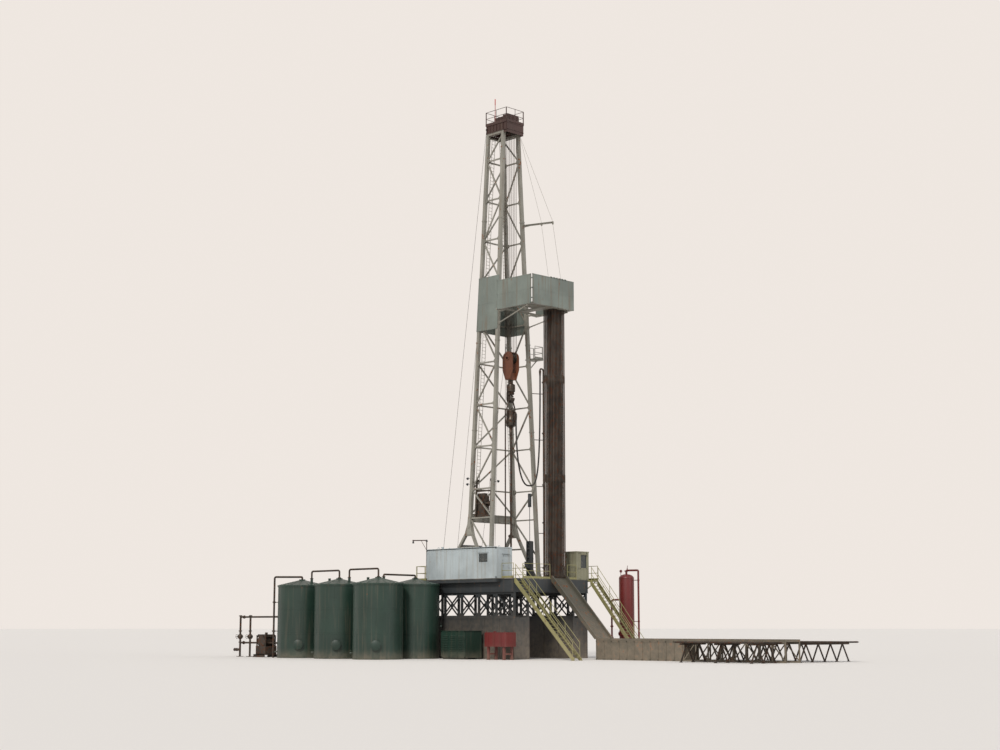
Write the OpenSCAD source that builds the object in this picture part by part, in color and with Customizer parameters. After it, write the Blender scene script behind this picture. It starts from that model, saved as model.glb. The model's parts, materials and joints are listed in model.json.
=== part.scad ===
// Land drilling rig with its mast, drill floor, tanks, catwalk and pipe racks, as a 1:2 scale model.
// +X is the front, where the pipe ramp is. -Y is the near side, with the doghouse. +Z is up.

/* [Substructure and drill floor] */
// Height of the drill floor above the ground
floor_z = 3200; // [2800:50:3900]
// Rear edge of the drill floor, behind the mast axis
floor_rear = 2320; // [2200:10:2600]
// Front edge of the drill floor, in front of the mast axis
floor_front = 2750; // [2600:10:3200]
// Width of the drill floor
floor_w = 4400; // [4000:20:5000]
// Depth of the girders under the deck
girder_h = 520; // [300:10:600]
// Thickness of the deck plates
deck_t = 30; // [15:1:60]
// Height of the closed lower boxes of the substructure
lower_box_h = 1650; // [1200:10:1800]
// Width of each of the two substructure boxes
box_w = 850; // [700:10:1000]
// Side of the square posts in the substructure
post_s = 80; // [60:2:110]

/* [Mast] */
// Height of the mast from the drill floor to the crown
mast_h = 19240; // [17000:10:20000]
// Depth of the mast between leg centres at the drill floor
mast_depth = 1350; // [1250:10:1450]
// Depth of the mast between leg centres at the crown
mast_top_depth = 915; // [820:5:1000]
// Width of the mast between leg centres at the crown
mast_top_w = 890; // [800:10:1000]
// Width of the mast between leg centres at the drill floor
mast_base_w = 2845; // [2600:5:3100]
// Side of a square mast leg
leg_s = 140; // [110:2:160]
// Side of a mast brace
brace_s = 56; // [40:2:70]
// Height of the spreader beam above the drill floor
spreader_h = 2550; // [2300:10:2700]
// Height of the A-frame apex above the drill floor
apex_h = 2300; // [1900:10:2400]
// Distance of the A-frame's rear foot behind the mast axis
aframe_rear = 2150; // [1900:10:2180]
// Side of an A-frame strut
strut_s = 110; // [80:2:130]
// Height of the side platform above the drill floor
platform_h = 9410; // [9200:10:9600]

/* [Crown] */
// Height of the crown frame
crown_h = 360; // [300:10:600]
// Height of a handrail
rail_h = 600; // [500:5:700]
// Height of the antenna above the crown platform
antenna_h = 1270; // [800:5:1400]
// Radius of the sheaves at the crown and in the block
sheave_r = 215; // [200:5:280]

/* [Hoist] */
// Distance of the well centre in front of the mast axis
well_x = 450; // [400:5:500]
// Height of the travelling block's top above the drill floor
block_top_h = 9600; // [9000:50:9900]
// Height of the travelling block
block_h = 1200; // [1100:10:1300]
// Height of the hook
hook_h = 1050; // [950:10:1150]
// Height of the swivel
swivel_h = 1050; // [950:10:1150]
// Side of the square kelly
kelly_s = 66; // [56:2:76]
// Radius of a wire line
line_r = 9; // [6:0.5:12]
// Height of the standpipe's gooseneck above the drill floor
stand_h = 9000; // [8800:50:9100]
// Height of the hose's lowest point above the drill floor
hose_low_h = 3950; // [3500:50:4500]

/* [Racking board] */
// Height of the racking board above the drill floor
board_h = 11275; // [10800:25:11500]
// Front edge of the racking board, in front of the mast axis
board_front = 2935; // [2850:5:3200]
// Width of the racking board
board_w = 2480; // [2300:10:2600]
// Height of the board's walls
board_wall_h = 1175; // [900:25:1400]
// Height of the windwalls round the mast
windwall_h = 2325; // [2000:25:2500]
// Thickness of a wall sheet
sheet_t = 20; // [10:1:30]
// Radius of the drill pipe
pipe_r = 32; // [26:1:34]
// Spacing of the stands in the racking board
stand_pitch = 84; // [80:1:90]
// Length of a stand of drill pipe
stand_l = 12500; // [12000:50:12700]

/* [Doghouse and cabin] */
// Length of the doghouse
dog_l = 4120; // [3800:20:4200]
// Width of the doghouse
dog_w = 870; // [800:10:950]
// Height of the doghouse walls
dog_h = 1210; // [1060:10:1300]
// Thickness of the doghouse and cabin walls
wall_t = 40; // [25:1:60]
// Width of the doghouse door
door_w = 400; // [360:5:440]
// Height of the doghouse door
door_h = 960; // [900:5:1000]
// Width of the doghouse window
window_w = 500; // [300:10:600]
// Height of the doghouse window
window_h = 350; // [250:10:450]
// Side of the driller's cabin along the drill floor's front
cabin_w = 750; // [700:10:800]
// Height of the driller's cabin
cabin_h = 1130; // [1100:5:1250]

/* [Stairs, ramp and catwalk] */
// Width of a stair
stair_w = 450; // [400:10:500]
// Number of rises in a stair
rises = 26; // [22:1:30]
// Width of the pipe ramp
ramp_w = 950; // [850:10:1000]
// Height of the catwalk
catwalk_h = 800; // [700:10:900]
// Length of the catwalk
catwalk_l = 9000; // [8500:50:9400]
// Width of the catwalk
catwalk_w = 925; // [850:5:1000]
// Height of the pipe rack trestles
rack_h = 690; // [600:10:760]
// Length of a joint of pipe on the far rack
joint_l = 6500; // [6400:50:6600]
// Length of a joint of pipe on the near rack
near_joint_l = 3840; // [3600:20:4000]

/* [Tanks and vessels] */
// Radius of a mud tank
tank_r = 1000; // [900:10:1040]
// Height of a mud tank's wall
tank_h = 3000; // [2700:20:3200]
// Rise of a mud tank's cone roof
cone_h = 225; // [150:5:300]
// Spacing of the tanks in the near row
tank_pitch = 2450; // [2300:10:2600]
// Height of the machine house
house_h = 1125; // [1000:5:1200]
// Height of the fuel tank's top
fuel_h = 1065; // [900:5:1150]
// Radius of the gas separator
sep_r = 317; // [280:1:340]
// Height of the gas separator's top head
sep_h = 3460; // [3200:10:3600]
// Radius of the mud pipes
pipe_bore_r = 55; // [40:1:65]
// Radius of the bore in the suction stub
suction_bore_r = 38; // [30:1:45]

/* [Hidden] */
$fn = 48;
fit = 0.3;
floor_y = floor_w / 2;
deck_z = floor_z - deck_t;
girder_z = deck_z - girder_h;
crown_z = floor_z + mast_h;
half_depth = mast_depth / 2;
half_top = mast_top_depth / 2;
tan_lean = (mast_base_w - mast_top_w) / 2 / mast_h;
lean = atan(tan_lean);
tan_tuck = (mast_depth - mast_top_depth) / 2 / mast_h;
tuck = atan(tan_tuck);
spreader_z = floor_z + spreader_h;
spreader_t = 300;
ring_count = 9;
top_ring_drop = 1240;
last_bay_share = 0.68;
bay_h = (mast_h - top_ring_drop - spreader_h) / (ring_count - 1 + last_bay_share);
board_z = floor_z + board_h;
windwall_z = board_z - 800;
block_top = floor_z + block_top_h;
block_bottom = block_top - block_h;
hook_bottom = block_bottom - hook_h;
swivel_bottom = hook_bottom - swivel_h;
kelly_bottom = floor_z - 250;
sheave_z = crown_z + crown_h - sheave_r - 20;
block_sheave_z = block_top - sheave_r - 60;
line_x = sheave_r + line_r + fit;
block_y = 205;
crown_beam_x = well_x - sheave_r - 130;
crown_x1 = well_x + sheave_r + 60;
crown_over = 90;
rotary_r = 320;
rotary_seat = floor_z - 240;
kelly_hole_r = kelly_s * 0.7072 + 5;
rail_s = 24;
foot_s = 240;
dog_y1 = -mast_base_w / 2 - foot_s / 2 - 17.5;
dog_y0 = dog_y1 - dog_w;
dog_out = -floor_y - dog_y0;
dog_x0 = -floor_rear + dog_out;
dog_x1 = dog_x0 + dog_l;
door_y = dog_y0 + 330;
window_x = dog_x1 - 1000;
window_sill = 650;
hinge_r = 9.5;
hinge_h = 60;
hinge_z = [200, door_h - 260];
cabin_x1 = floor_front - 40;
cabin_l = 650;
cabin_y0 = floor_y - 650;
landing_w = 650;
near_stair_y = -floor_y + 50;
far_stair_y = floor_y + 150;
ramp_y = 450;
ramp_foot_x = floor_front + floor_z - catwalk_h;
catwalk_x = ramp_foot_x - 20;
catwalk_closed = 4350;
catwalk_y = 0;
far_rack_x = catwalk_x + catwalk_l - joint_l + 500;
tank_y = -5450;
tank_x = -6550;
pump_pitch = 715;
pump_x = tank_x - tank_r - 2300 - pump_pitch;
sep_x = 3530;
sep_y = 3750;
rack_far_y = 4250;
nozzle_h = 260;
manifold_z = [600, 1700];
near_rack_y = -1650;
near_rack_x = catwalk_x + catwalk_l - near_joint_l + 50;
// Overall extents, from which the origin is set at the middle of the footprint
x_low = pump_x - 420;
x_high = far_rack_x + joint_l;
y_low = tank_y - tank_r - 30;
y_high = rack_far_y;

steel = "#8d877c";
dark = "#24282a";
rail_yellow = "#8f8a4a";
wall_green = "#7f8578";
rust = "#7a3f22";
tank_green = "#1d3a2c";
deep_red = "#6e1a18";

function half_w(z) = mast_base_w / 2 - (z - floor_z) * tan_lean;
function half_d(z) = mast_depth / 2 - (z - floor_z) * tan_tuck;
function ring_z(k) = crown_z - top_ring_drop - k * bay_h;
function slope_s(z) = (z - floor_z) / cos(lean);
// Diagonals are a little thinner than the rings, and each differs from the next
function thin(k) = brace_s - 6 - 4 * (k % 2);

// Everything is drawn about the mast axis and set down with the origin under the footprint's middle
module place() {
    translate([-(x_low + x_high) / 2, -(y_low + y_high) / 2, 0]) children();
}

module box(a, b) {
    translate(a) cube(b - a);
}

// Square bar between two points
module bar(a, b, w, h) {
    v = b - a;
    l = norm(v);
    translate(a) rotate([0, -asin(v.z / l), atan2(v.y, v.x)])
        translate([0, -w / 2, -h / 2]) cube([l, w, h]);
}

// Round rod between two points
module rod(a, b, r, sides = $fn) {
    v = b - a;
    l = norm(v);
    translate(a) rotate([0, acos(v.z / l), atan2(v.y, v.x)]) cylinder(h = l, r = r, $fn = sides);
}

// Pipe through a list of points, with ball elbows
module pipe_run(points, r) {
    for (i = [0:len(points) - 2]) rod(points[i], points[i + 1], r);
    for (i = [1:1:len(points) - 2]) translate(points[i]) sphere(r = r * 1.3);
}

// Straight handrail along X or Y, standing on a deck
module handrail(a, b, h = rail_h) {
    v = b - a;
    n = max(1, ceil(norm(v) / 900));
    for (i = [0:n]) {
        p = a + v * i / n;
        box(p - [rail_s / 2, rail_s / 2, 0], p + [rail_s / 2, rail_s / 2, h]);
    }
    for (z = [h - rail_s / 2, h / 2])
        bar(a + [0, 0, z], b + [0, 0, z], rail_s - 2, rail_s - 2);
}

// Local plane of a mast side: X along the mast's depth, Z up the slope, Y through the panel
module side_plane(side) {
    translate([0, side * mast_base_w / 2, floor_z]) rotate([side * lean, 0, 0]) children();
}

// Local plane of the mast's back: Y along its width, Z up the slope, X through the panel
module back_plane() {
    translate([-half_depth, 0, floor_z]) rotate([0, tuck, 0]) children();
}

function back_s(z) = (z - floor_z) / cos(tuck);

// Leg of a mast side, front (1) or rear (-1), between two heights up the slope
module leg(end, s0, s1) {
    x = function(s) end * half_d(floor_z + s * cos(lean));
    h = leg_s / 2;
    rotate([90, 0, 0]) linear_extrude(height = leg_s, center = true)
        polygon([[x(s0) - h, s0], [x(s0) + h, s0], [x(s1) + h, s1], [x(s1) - h, s1]]);
}

module flat_bar(p, q, w, t) {
    bar([p.x, 0, p.y], [q.x, 0, q.y], t, w);
}

// Foot plate of a leg, flat on the deck
module shoe(x, side, s, h = 160) {
    y = side * mast_base_w / 2;
    box([x - s / 2, y - s / 2, floor_z], [x + s / 2, y + s / 2, floor_z + h]);
}

// Lower box of the substructure: a plate on each side and one on top, open underneath
module substructure_box(side) {
    t = 30;
    z1 = lower_box_h - t - fit;
    y0 = side > 0 ? floor_y - 50 - box_w : -floor_y + 50;
    y1 = y0 + box_w;
    color(dark) place() {
        box([-floor_rear, y0, lower_box_h - t], [floor_front, y1, lower_box_h]);
        for (y = [y0, y1 - t]) box([-floor_rear, y, 0], [floor_front, y + t, z1]);
        for (x = [-floor_rear, floor_front - t])
            box([x, y0 + t + fit, 0], [x + t, y1 - t - fit, z1]);
    }
}

// Two X-braced panels between the lower box and the floor girders
module substructure_frame(side) {
    bays = 5;
    y0 = side > 0 ? floor_y - 50 - box_w : -floor_y + 50;
    z0 = lower_box_h + post_s / 2;
    z1 = girder_z - post_s / 2;
    step = (floor_front + floor_rear - post_s) / bays;
    color(dark) place() for (y = [y0 + post_s / 2, y0 + box_w - post_s / 2]) {
        for (z = [z0, z1])
            bar([-floor_rear, y, z], [floor_front, y, z], post_s, post_s);
        for (i = [0:bays]) {
            x = -floor_rear + post_s / 2 + i * step;
            box([x - post_s / 2, y - post_s / 2, z0], [x + post_s / 2, y + post_s / 2, z1]);
        }
        for (i = [0:bays - 1]) {
            x = -floor_rear + post_s / 2 + i * step;
            bar([x, y, z0], [x + step, y, z1], post_s * 0.5, post_s * 0.6);
            bar([x, y, z1], [x + step, y, z0], post_s * 0.5, post_s * 0.6);
        }
    }
}

// Long girders over the substructure, and cross girders between them that leave the well free
module floor_girders() {
    w = 60;
    inner = floor_y - 50 - box_w;
    well = rotary_r + 90;
    spans = [[-floor_y + w + fit, -inner - w - fit], [-inner + fit, inner - fit],
        [inner + w + fit, floor_y - w - fit]];
    rows = [-floor_rear, -floor_rear + 900, -floor_rear + 1800, well_x - well - w, well_x + well,
        floor_front - 900, floor_front - w];
    color(dark) place() {
        for (s = [-1, 1], y = [floor_y - w, inner])
            box([-floor_rear, s > 0 ? y : -y - w, girder_z], [floor_front, s > 0 ? y + w : -y, deck_z]);
        for (x = rows, y = spans) box([x, y[0], girder_z], [x + w, y[1], deck_z]);
        for (s = [-1, 1])
            box([well_x - well + fit, s * (rotary_r - 30) - 40, girder_z],
                [well_x + well - fit, s * (rotary_r - 30) + 40, floor_z - 320 - fit]);
        outrigger_x = (dog_l - w) / 5;
        outrigger_z = deck_z - 120;
        box([dog_x0, dog_y0, outrigger_z], [dog_x1, dog_y0 + w, deck_z]);
        for (i = [0:5])
            box([dog_x0 + i * outrigger_x, dog_y0 + w - 1, outrigger_z],
                [dog_x0 + i * outrigger_x + w, -floor_y - fit, deck_z]);
    }
}

// Four deck plates round the square rotary opening, and one under the doghouse's overhang
module drill_floor() {
    half = rotary_r + 40;
    color("#3a3c3a") place() {
        box([-floor_rear, -floor_y, deck_z], [well_x - half - fit, floor_y, floor_z]);
        box([well_x + half + fit, -floor_y, deck_z], [floor_front, floor_y, floor_z]);
        for (s = [-1, 1])
            box([well_x - half, s > 0 ? half : -floor_y, deck_z],
                [well_x + half, s > 0 ? floor_y : -half, floor_z]);
        box([dog_x0 - 15, dog_y0 - 15, deck_z], [dog_x1 + 15, -floor_y - fit, floor_z]);
    }
}

module rotary_housing() {
    half = rotary_r + 30;
    color("#33302b") place() translate([well_x, 0, 0]) difference() {
        box([-half, -half, floor_z - 320], [half, half, floor_z - 10]);
        translate([0, 0, rotary_seat]) cylinder(h = 400, r = rotary_r + 5);
        translate([0, 0, floor_z - 400]) cylinder(h = 400, r = rotary_r - 60);
    }
}

module rotary_table() {
    color(rust) place() translate([well_x, 0, 0]) difference() {
        union() {
            translate([0, 0, rotary_seat + fit]) cylinder(h = floor_z + 20 - rotary_seat - fit, r = rotary_r);
            translate([0, 0, floor_z]) cylinder(h = 70, r = 150);
            box([-105, -105, floor_z + 60], [105, 105, floor_z + 130]);
            for (s = [-1, 1]) translate([s * 85, 0, floor_z + 150]) rotate([90, 0, 0])
                cylinder(h = 120, r = 30, center = true);
        }
        translate([0, 0, floor_z - 400]) cylinder(h = 700, r = kelly_hole_r);
    }
}

module floor_rails() {
    e = rail_s / 2;
    gap = 45;
    ramp_y0 = ramp_y - ramp_w / 2;
    ramp_y1 = ramp_y + ramp_w / 2;
    stair_y1 = near_stair_y + stair_w;
    color(rail_yellow) place() {
        handrail([dog_x1 + gap, -floor_y + e, floor_z], [floor_front - e, -floor_y + e, floor_z]);
        handrail([floor_front - e, stair_y1 + gap, floor_z], [floor_front - e, ramp_y0 - gap, floor_z]);
        handrail([floor_front - e, ramp_y1 + gap, floor_z], [floor_front - e, cabin_y0 - gap, floor_z]);
        handrail([-floor_rear + e, dog_y1 + gap, floor_z], [-floor_rear + e, floor_y - e - gap, floor_z]);
        handrail([-floor_rear + e, floor_y - e, floor_z], [cabin_x1 - cabin_l - 40, floor_y - e, floor_z]);
    }
}

// Landings at the doghouse's rear end and on the far side of the drill floor
module side_landings() {
    t = 60;
    e = rail_s / 2;
    rear_l = 730;
    ry0 = -floor_y + 50;
    ry1 = ry0 + 500;
    fx0 = floor_front - 1400;
    fy1 = floor_y + landing_w;
    color(rail_yellow) place() {
        translate([-floor_rear - fit, 0, 0]) {
            box([-rear_l, ry0, floor_z - t], [0, ry1, floor_z]);
            for (y = [ry0 + e, ry1 - e]) {
                handrail([-rear_l + e + 40, y, floor_z + fit], [-60, y, floor_z + fit]);
                bar([-10, y, floor_z - 380], [-rear_l + 100, y, floor_z - t + 10], rail_s - 10, 40);
                box([-20, y - e + 2, floor_z - 440], [0, y + e - 2, floor_z - t + 5]);
            }
            handrail([-rear_l + e, ry0 + e, floor_z + fit], [-rear_l + e, ry1 - e, floor_z + fit]);
        }
        translate([0, fit, 0]) {
            box([fx0, floor_y, floor_z - t], [floor_front, fy1, floor_z]);
            for (x = [fx0 + 40, floor_front - 60]) {
                box([x - e + 2, floor_y, floor_z - 440], [x + e - 2, floor_y + 20, floor_z - t + 5]);
                bar([x, floor_y + 10, floor_z - 380], [x, fy1 - 100, floor_z - t + 10], rail_s - 10, 40);
            }
            handrail([fx0 + e, fy1 - e, floor_z + fit], [floor_front - e, fy1 - e, floor_z + fit]);
            handrail([fx0 + e, floor_y + e + 60, floor_z + fit], [fx0 + e, fy1 - e - 40, floor_z + fit]);
        }
    }
}

// Drum winch with its motor housing at the back of the drill floor
module drawworks() {
    x0 = -floor_rear + 170;
    x1 = x0 + 1050;
    w = 600;
    color("#3b332b") place() {
        box([x0, -w, floor_z], [x1, w, floor_z + 90]);
        for (s = [-1, 1])
            box([x0, s * (w - 110) - 90, floor_z + 80], [x1, s * (w - 110) + 90, floor_z + 900]);
        translate([(x0 + x1) / 2, 0, floor_z + 560]) rotate([90, 0, 0])
            cylinder(h = 2 * w - 200, r = 250, center = true);
        for (s = [-1, 1])
            translate([(x0 + x1) / 2, s * (w - 240), floor_z + 560]) rotate([90, 0, 0])
                cylinder(h = 40, r = 370, center = true);
        box([x0 + 60, -w + 40, floor_z + 890], [x0 + 420, w - 40, floor_z + 1520]);
    }
}

module doghouse_walls() {
    z0 = floor_z;
    z1 = floor_z + dog_h;
    wz = z0 + window_sill;
    color("#c9d3d3") place() {
        difference() {
            box([dog_x0, dog_y0, z0], [dog_x1, dog_y0 + wall_t, z1]);
            box([window_x, dog_y0 - 1, wz], [window_x + window_w, dog_y0 + wall_t + 1, wz + window_h]);
        }
        box([dog_x0, dog_y1 - wall_t, z0], [dog_x1, dog_y1, z1]);
        box([dog_x0, dog_y0 + wall_t + fit, z0], [dog_x0 + wall_t, dog_y1 - wall_t - fit, z1]);
        translate([dog_x1 - wall_t, 0, 0]) {
            box([0, dog_y0 + wall_t + fit, z0], [wall_t, door_y - 5, z1]);
            for (z = hinge_z) {
                translate([wall_t + hinge_r + 0.5, door_y, z0 + z - hinge_h - fit])
                    cylinder(h = hinge_h, r = hinge_r);
                box([wall_t - 1, door_y - 45, z0 + z - hinge_h - fit],
                    [wall_t + hinge_r, door_y - 5, z0 + z - fit]);
                box([wall_t + 1, door_y - 8, z0 + z - hinge_h - fit], [wall_t + hinge_r, door_y, z0 + z - fit]);
            }
            box([0, door_y + door_w + 5, z0], [wall_t, dog_y1 - wall_t - fit, z1]);
            box([0, door_y - 5 + fit, z0 + door_h + 10], [wall_t, door_y + door_w + 5 - fit, z1]);
        }
    }
}

module doghouse_roof() {
    z = floor_z + dog_h;
    color("#aeb7b5") place() {
        box([dog_x0 - 15, dog_y0 - 15, z], [dog_x1 + 15, dog_y1 + 15, z + 30]);
        translate([dog_x0 + 500, (dog_y0 + dog_y1) / 2, z + 25]) cylinder(h = 110, r = 40);
        translate([dog_x0 + 500, (dog_y0 + dog_y1) / 2, z + 120]) cylinder(h = 30, r = 60);
    }
}

module window_pane(size) {
    t = 12;
    frame = 30;
    union() {
        difference() {
            box([0, 0, 0], [size.x, t * 2, size.y]);
            box([frame, -1, frame], [size.x - frame, t * 2 + 1, size.y - frame]);
        }
        box([frame - 1, t * 0.7, frame - 1], [size.x - frame + 1, t * 1.3, size.y - frame + 1]);
    }
}

module doghouse_window() {
    color("#4a5a58") place()
        translate([window_x + fit, dog_y0 + wall_t / 2 - 12, floor_z + window_sill + fit])
            window_pane([window_w - 2 * fit, window_h - 2 * fit]);
}

// Door leaf flush with the front wall, with its hinge barrels outside
module doghouse_door() {
    color("#b9c4c2") place() {
        box([dog_x1 - wall_t, door_y, floor_z + 5], [dog_x1, door_y + door_w, floor_z + door_h]);
        for (z = hinge_z) translate([dog_x1 + hinge_r + 0.5, door_y, floor_z + z]) {
            cylinder(h = hinge_h, r = hinge_r);
            box([-hinge_r - 1, 0, 0], [0, 40, hinge_h]);
        }
        translate([dog_x1 - 1, door_y + door_w - 60, floor_z + door_h * 0.48]) rotate([0, 90, 0])
            cylinder(h = 40, r = 9);
        box([dog_x1 + 25, door_y + door_w - 130, floor_z + door_h * 0.48 - 9],
            [dog_x1 + 43, door_y + door_w - 50, floor_z + door_h * 0.48 + 9]);
    }
}

module driller_cabin() {
    x0 = cabin_x1 - cabin_l;
    y1 = cabin_y0 + cabin_w;
    z1 = floor_z + cabin_h;
    sill = floor_z + cabin_h * 0.42;
    color("#8d8c6d") place() {
        difference() {
            box([cabin_x1 - wall_t, cabin_y0, floor_z], [cabin_x1, y1, z1]);
            box([cabin_x1 - wall_t - 1, y1 - 480, sill], [cabin_x1 + 1, y1 - 130, z1 - 110]);
        }
        box([x0, cabin_y0, floor_z], [x0 + wall_t, cabin_y0 + 150, z1]);
        box([x0, cabin_y0 + 150 + door_w, floor_z], [x0 + wall_t, y1, z1]);
        box([x0, cabin_y0 + 150 + fit, floor_z + door_h], [x0 + wall_t, cabin_y0 + 150 + door_w - fit, z1]);
        for (y = [cabin_y0, y1 - wall_t])
            box([x0 + wall_t + fit, y, floor_z], [cabin_x1 - wall_t - fit, y + wall_t, z1]);
    }
}

module cabin_roof() {
    z1 = floor_z + cabin_h;
    color("#6f6f5c") place()
        box([cabin_x1 - cabin_l - 20, cabin_y0 - 20, z1], [cabin_x1 + 20, cabin_y0 + cabin_w + 20, z1 + 40]);
}

module cabin_window() {
    y1 = cabin_y0 + cabin_w;
    sill = floor_z + cabin_h * 0.42;
    color("#46504a") place()
        translate([cabin_x1 - wall_t / 2 + 12, y1 - 480 + fit, sill + fit]) rotate([0, 0, 90])
            window_pane([350 - 2 * fit, cabin_h * 0.58 - 110 - 2 * fit]);
}

// Flood lamp on a pole at the rear near corner
module lamp_post() {
    x = -floor_rear - 130;
    y = -floor_y + 74;
    h = 1660;
    arm = 790;
    color("#5a3a30") place() {
        box([x - 50, y - 20, floor_z], [x + 50, y + 60, floor_z + 20]);
        translate([x, y + 20, floor_z + 10]) cylinder(h = h, r = 18);
        bar([x, y + 20, floor_z + h], [x - arm, y - 60, floor_z + h + 20], 45, 45);
        translate([x, y + 20, floor_z + h - 70]) cylinder(h = 110, r = 40);
        translate([x - arm + 30, y - 57, floor_z + h - 130]) cylinder(h = 160, r = 42);
    }
}

// Lower part of a mast side: two struts from the rear leg's foot down to the deck
module a_frame(side) {
    apex = half_d(floor_z + apex_h);
    s1 = slope_s(floor_z + apex_h) - fit;
    foot = 60;
    leg_shoe = 220;
    shoe_s = 120;
    front = half_depth - leg_shoe / 2 - shoe_s / 2 - fit;
    tie_s = s1 * 0.58;
    rear_x = function(s) -apex - (aframe_rear - apex) * (1 - s / s1);
    front_x = function(s) -apex + (front + apex) * (1 - s / s1);
    color(steel) place() {
        side_plane(side) {
            flat_bar([-apex - 20, s1 - 140], [-aframe_rear, foot], strut_s, strut_s);
            flat_bar([-apex + 20, s1 - 140], [front, foot], strut_s, strut_s);
            flat_bar([rear_x(tie_s), tie_s], [front_x(tie_s), tie_s], strut_s * 0.6, strut_s * 0.6);
            rotate([90, 0, 0]) linear_extrude(height = leg_s, center = true)
                polygon([[-apex - leg_s / 2, s1], [-apex + leg_s / 2, s1],
                    [-apex + 250, s1 - 480], [-apex - 280, s1 - 480]]);
        }
        shoe(-aframe_rear, side, foot_s);
        shoe(front, side, shoe_s);
    }
}

// Box beam that spreads the two rear legs, with its ends cut to their slope
module spreader_beam() {
    inset = leg_s / 2 / cos(lean) + fit;
    z0 = spreader_z - spreader_t / 2;
    z1 = spreader_z + spreader_t / 2;
    color(steel) place() translate([-half_d(spreader_z) + leg_s / 2, 0, 0]) rotate([0, -90, 0])
        linear_extrude(height = leg_s) polygon([
            [z0, -half_w(z0) + inset], [z0, half_w(z0) - inset],
            [z1, half_w(z1) - inset], [z1, -half_w(z1) + inset]]);
}

// One leaning side of the mast: two legs, strut rings and a zig-zag of diagonals
module mast_side(side) {
    top_s = slope_s(crown_z);
    cap = 100;
    y_top = side * mast_top_w / 2;
    low_z = floor_z + apex_h * 0.42;
    p = function(end, z) [end * half_d(z), slope_s(z)];
    color(steel) place() {
        side_plane(side) {
            leg(1, 60, top_s - cap / 2);
            leg(-1, slope_s(floor_z + apex_h), top_s - cap / 2);
            for (k = [0:ring_count - 1])
                flat_bar(p(-1, ring_z(k)), p(1, ring_z(k)), brace_s, brace_s);
            flat_bar(p(-1, spreader_z), p(1, spreader_z), brace_s, brace_s);
            flat_bar(p(-side, crown_z - cap), p(side, ring_z(0)), brace_s, thin(1));
            for (k = [0:ring_count - 2]) {
                end = side * (k % 2 == 0 ? 1 : -1);
                flat_bar(p(end, ring_z(k)), p(-end, ring_z(k + 1)), brace_s, thin(k));
            }
            flat_bar(p(side, ring_z(ring_count - 1)), p(-side, spreader_z), brace_s, thin(ring_count - 1));
            flat_bar(p(-1, spreader_z), p(1, low_z), brace_s, thin(ring_count));
        }
        shoe(half_depth, side, 220);
        box([-half_top - leg_s / 2, y_top - leg_s / 2, crown_z - cap],
            [half_top + leg_s / 2, y_top + leg_s / 2, crown_z]);
    }
}

// Braced panel between the two rear legs, trimmed to their slope
module mast_back() {
    inset = leg_s / 2 / cos(lean) + fit;
    z0 = spreader_z + spreader_t / 2 + fit + 0.4;
    z1 = crown_z - 101;
    y = function(z) half_w(z) - inset;
    p = function(w, z) [0, w, back_s(z)];
    color(steel) place() back_plane() intersection() {
        union() {
            for (s = [-1, 1])
                bar(p(s * (y(z0 - 40) - 12), z0 - 40), p(s * (y(z1 + 40) - 12), z1 + 40), 44, 44);
            for (k = [0:ring_count - 1], z = ring_z(k))
                bar(p(-half_w(z), z), p(half_w(z), z), brace_s, brace_s);
            bar(p(-half_w(z0), z0 + 22), p(half_w(z0), z0 + 22), brace_s + 2, 44);
            for (k = [0:ring_count - 2]) {
                s = k == 4 || k == 5 ? -1 : 1;
                bar(p(s * half_w(ring_z(k)), ring_z(k)), p(-s * half_w(ring_z(k + 1)), ring_z(k + 1)),
                    thin(k), brace_s);
            }
            for (s = [-1, 1])
                bar(p(s * 4, ring_z(ring_count - 1)), p(s * half_w(z0), z0 + 10),
                    thin(s > 0 ? 0 : 1) - 10, brace_s);
            bar(p(-y(z1), z1 - 60), p(y(z1), z1 - 60), brace_s, brace_s);
        }
        translate([30, 0, 0]) rotate([0, -90, 0]) linear_extrude(height = 60) polygon([
            [back_s(z0), -y(z0)], [back_s(z0), y(z0)], [back_s(z1), y(z1)], [back_s(z1), -y(z1)]]);
    }
}

// Ladder inside the back of the mast, following the near leg, and one inside the far side
module ladders() {
    w = 190;
    rung_pitch = 150;
    rail = 22;
    stand_off = 70;
    low = slope_s(spreader_z) + 200;
    top = slope_s(crown_z) - 160;
    n = floor((top - 200) / rung_pitch);
    x = function(s) -half_d(floor_z + s * cos(lean)) + brace_s / 2 + fit + stand_off;
    color("#9a9184") place() for (side = [-1, 1]) side_plane(side) {
        y0 = -side * (leg_s / 2 + 60);
        y1 = y0 - side * w;
        for (y = [y0, y1])
            bar([x(low) + rail / 2, y, low], [x(top) + rail / 2, y, top], rail, rail);
        for (i = [0:n], s = [low + 40 + i * rung_pitch])
            if (s < top - 20)
                box([x(s) + 4, min(y0, y1), s], [x(s) + 16, max(y0, y1), s + 12]);
        for (k = [0:2:ring_count - 1], y = [y0, y1], s = [slope_s(ring_z(k))])
            box([x(s) - stand_off, y - 8, s - 8], [x(s) + 5, y + 8, s + 8]);
    }
}

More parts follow.
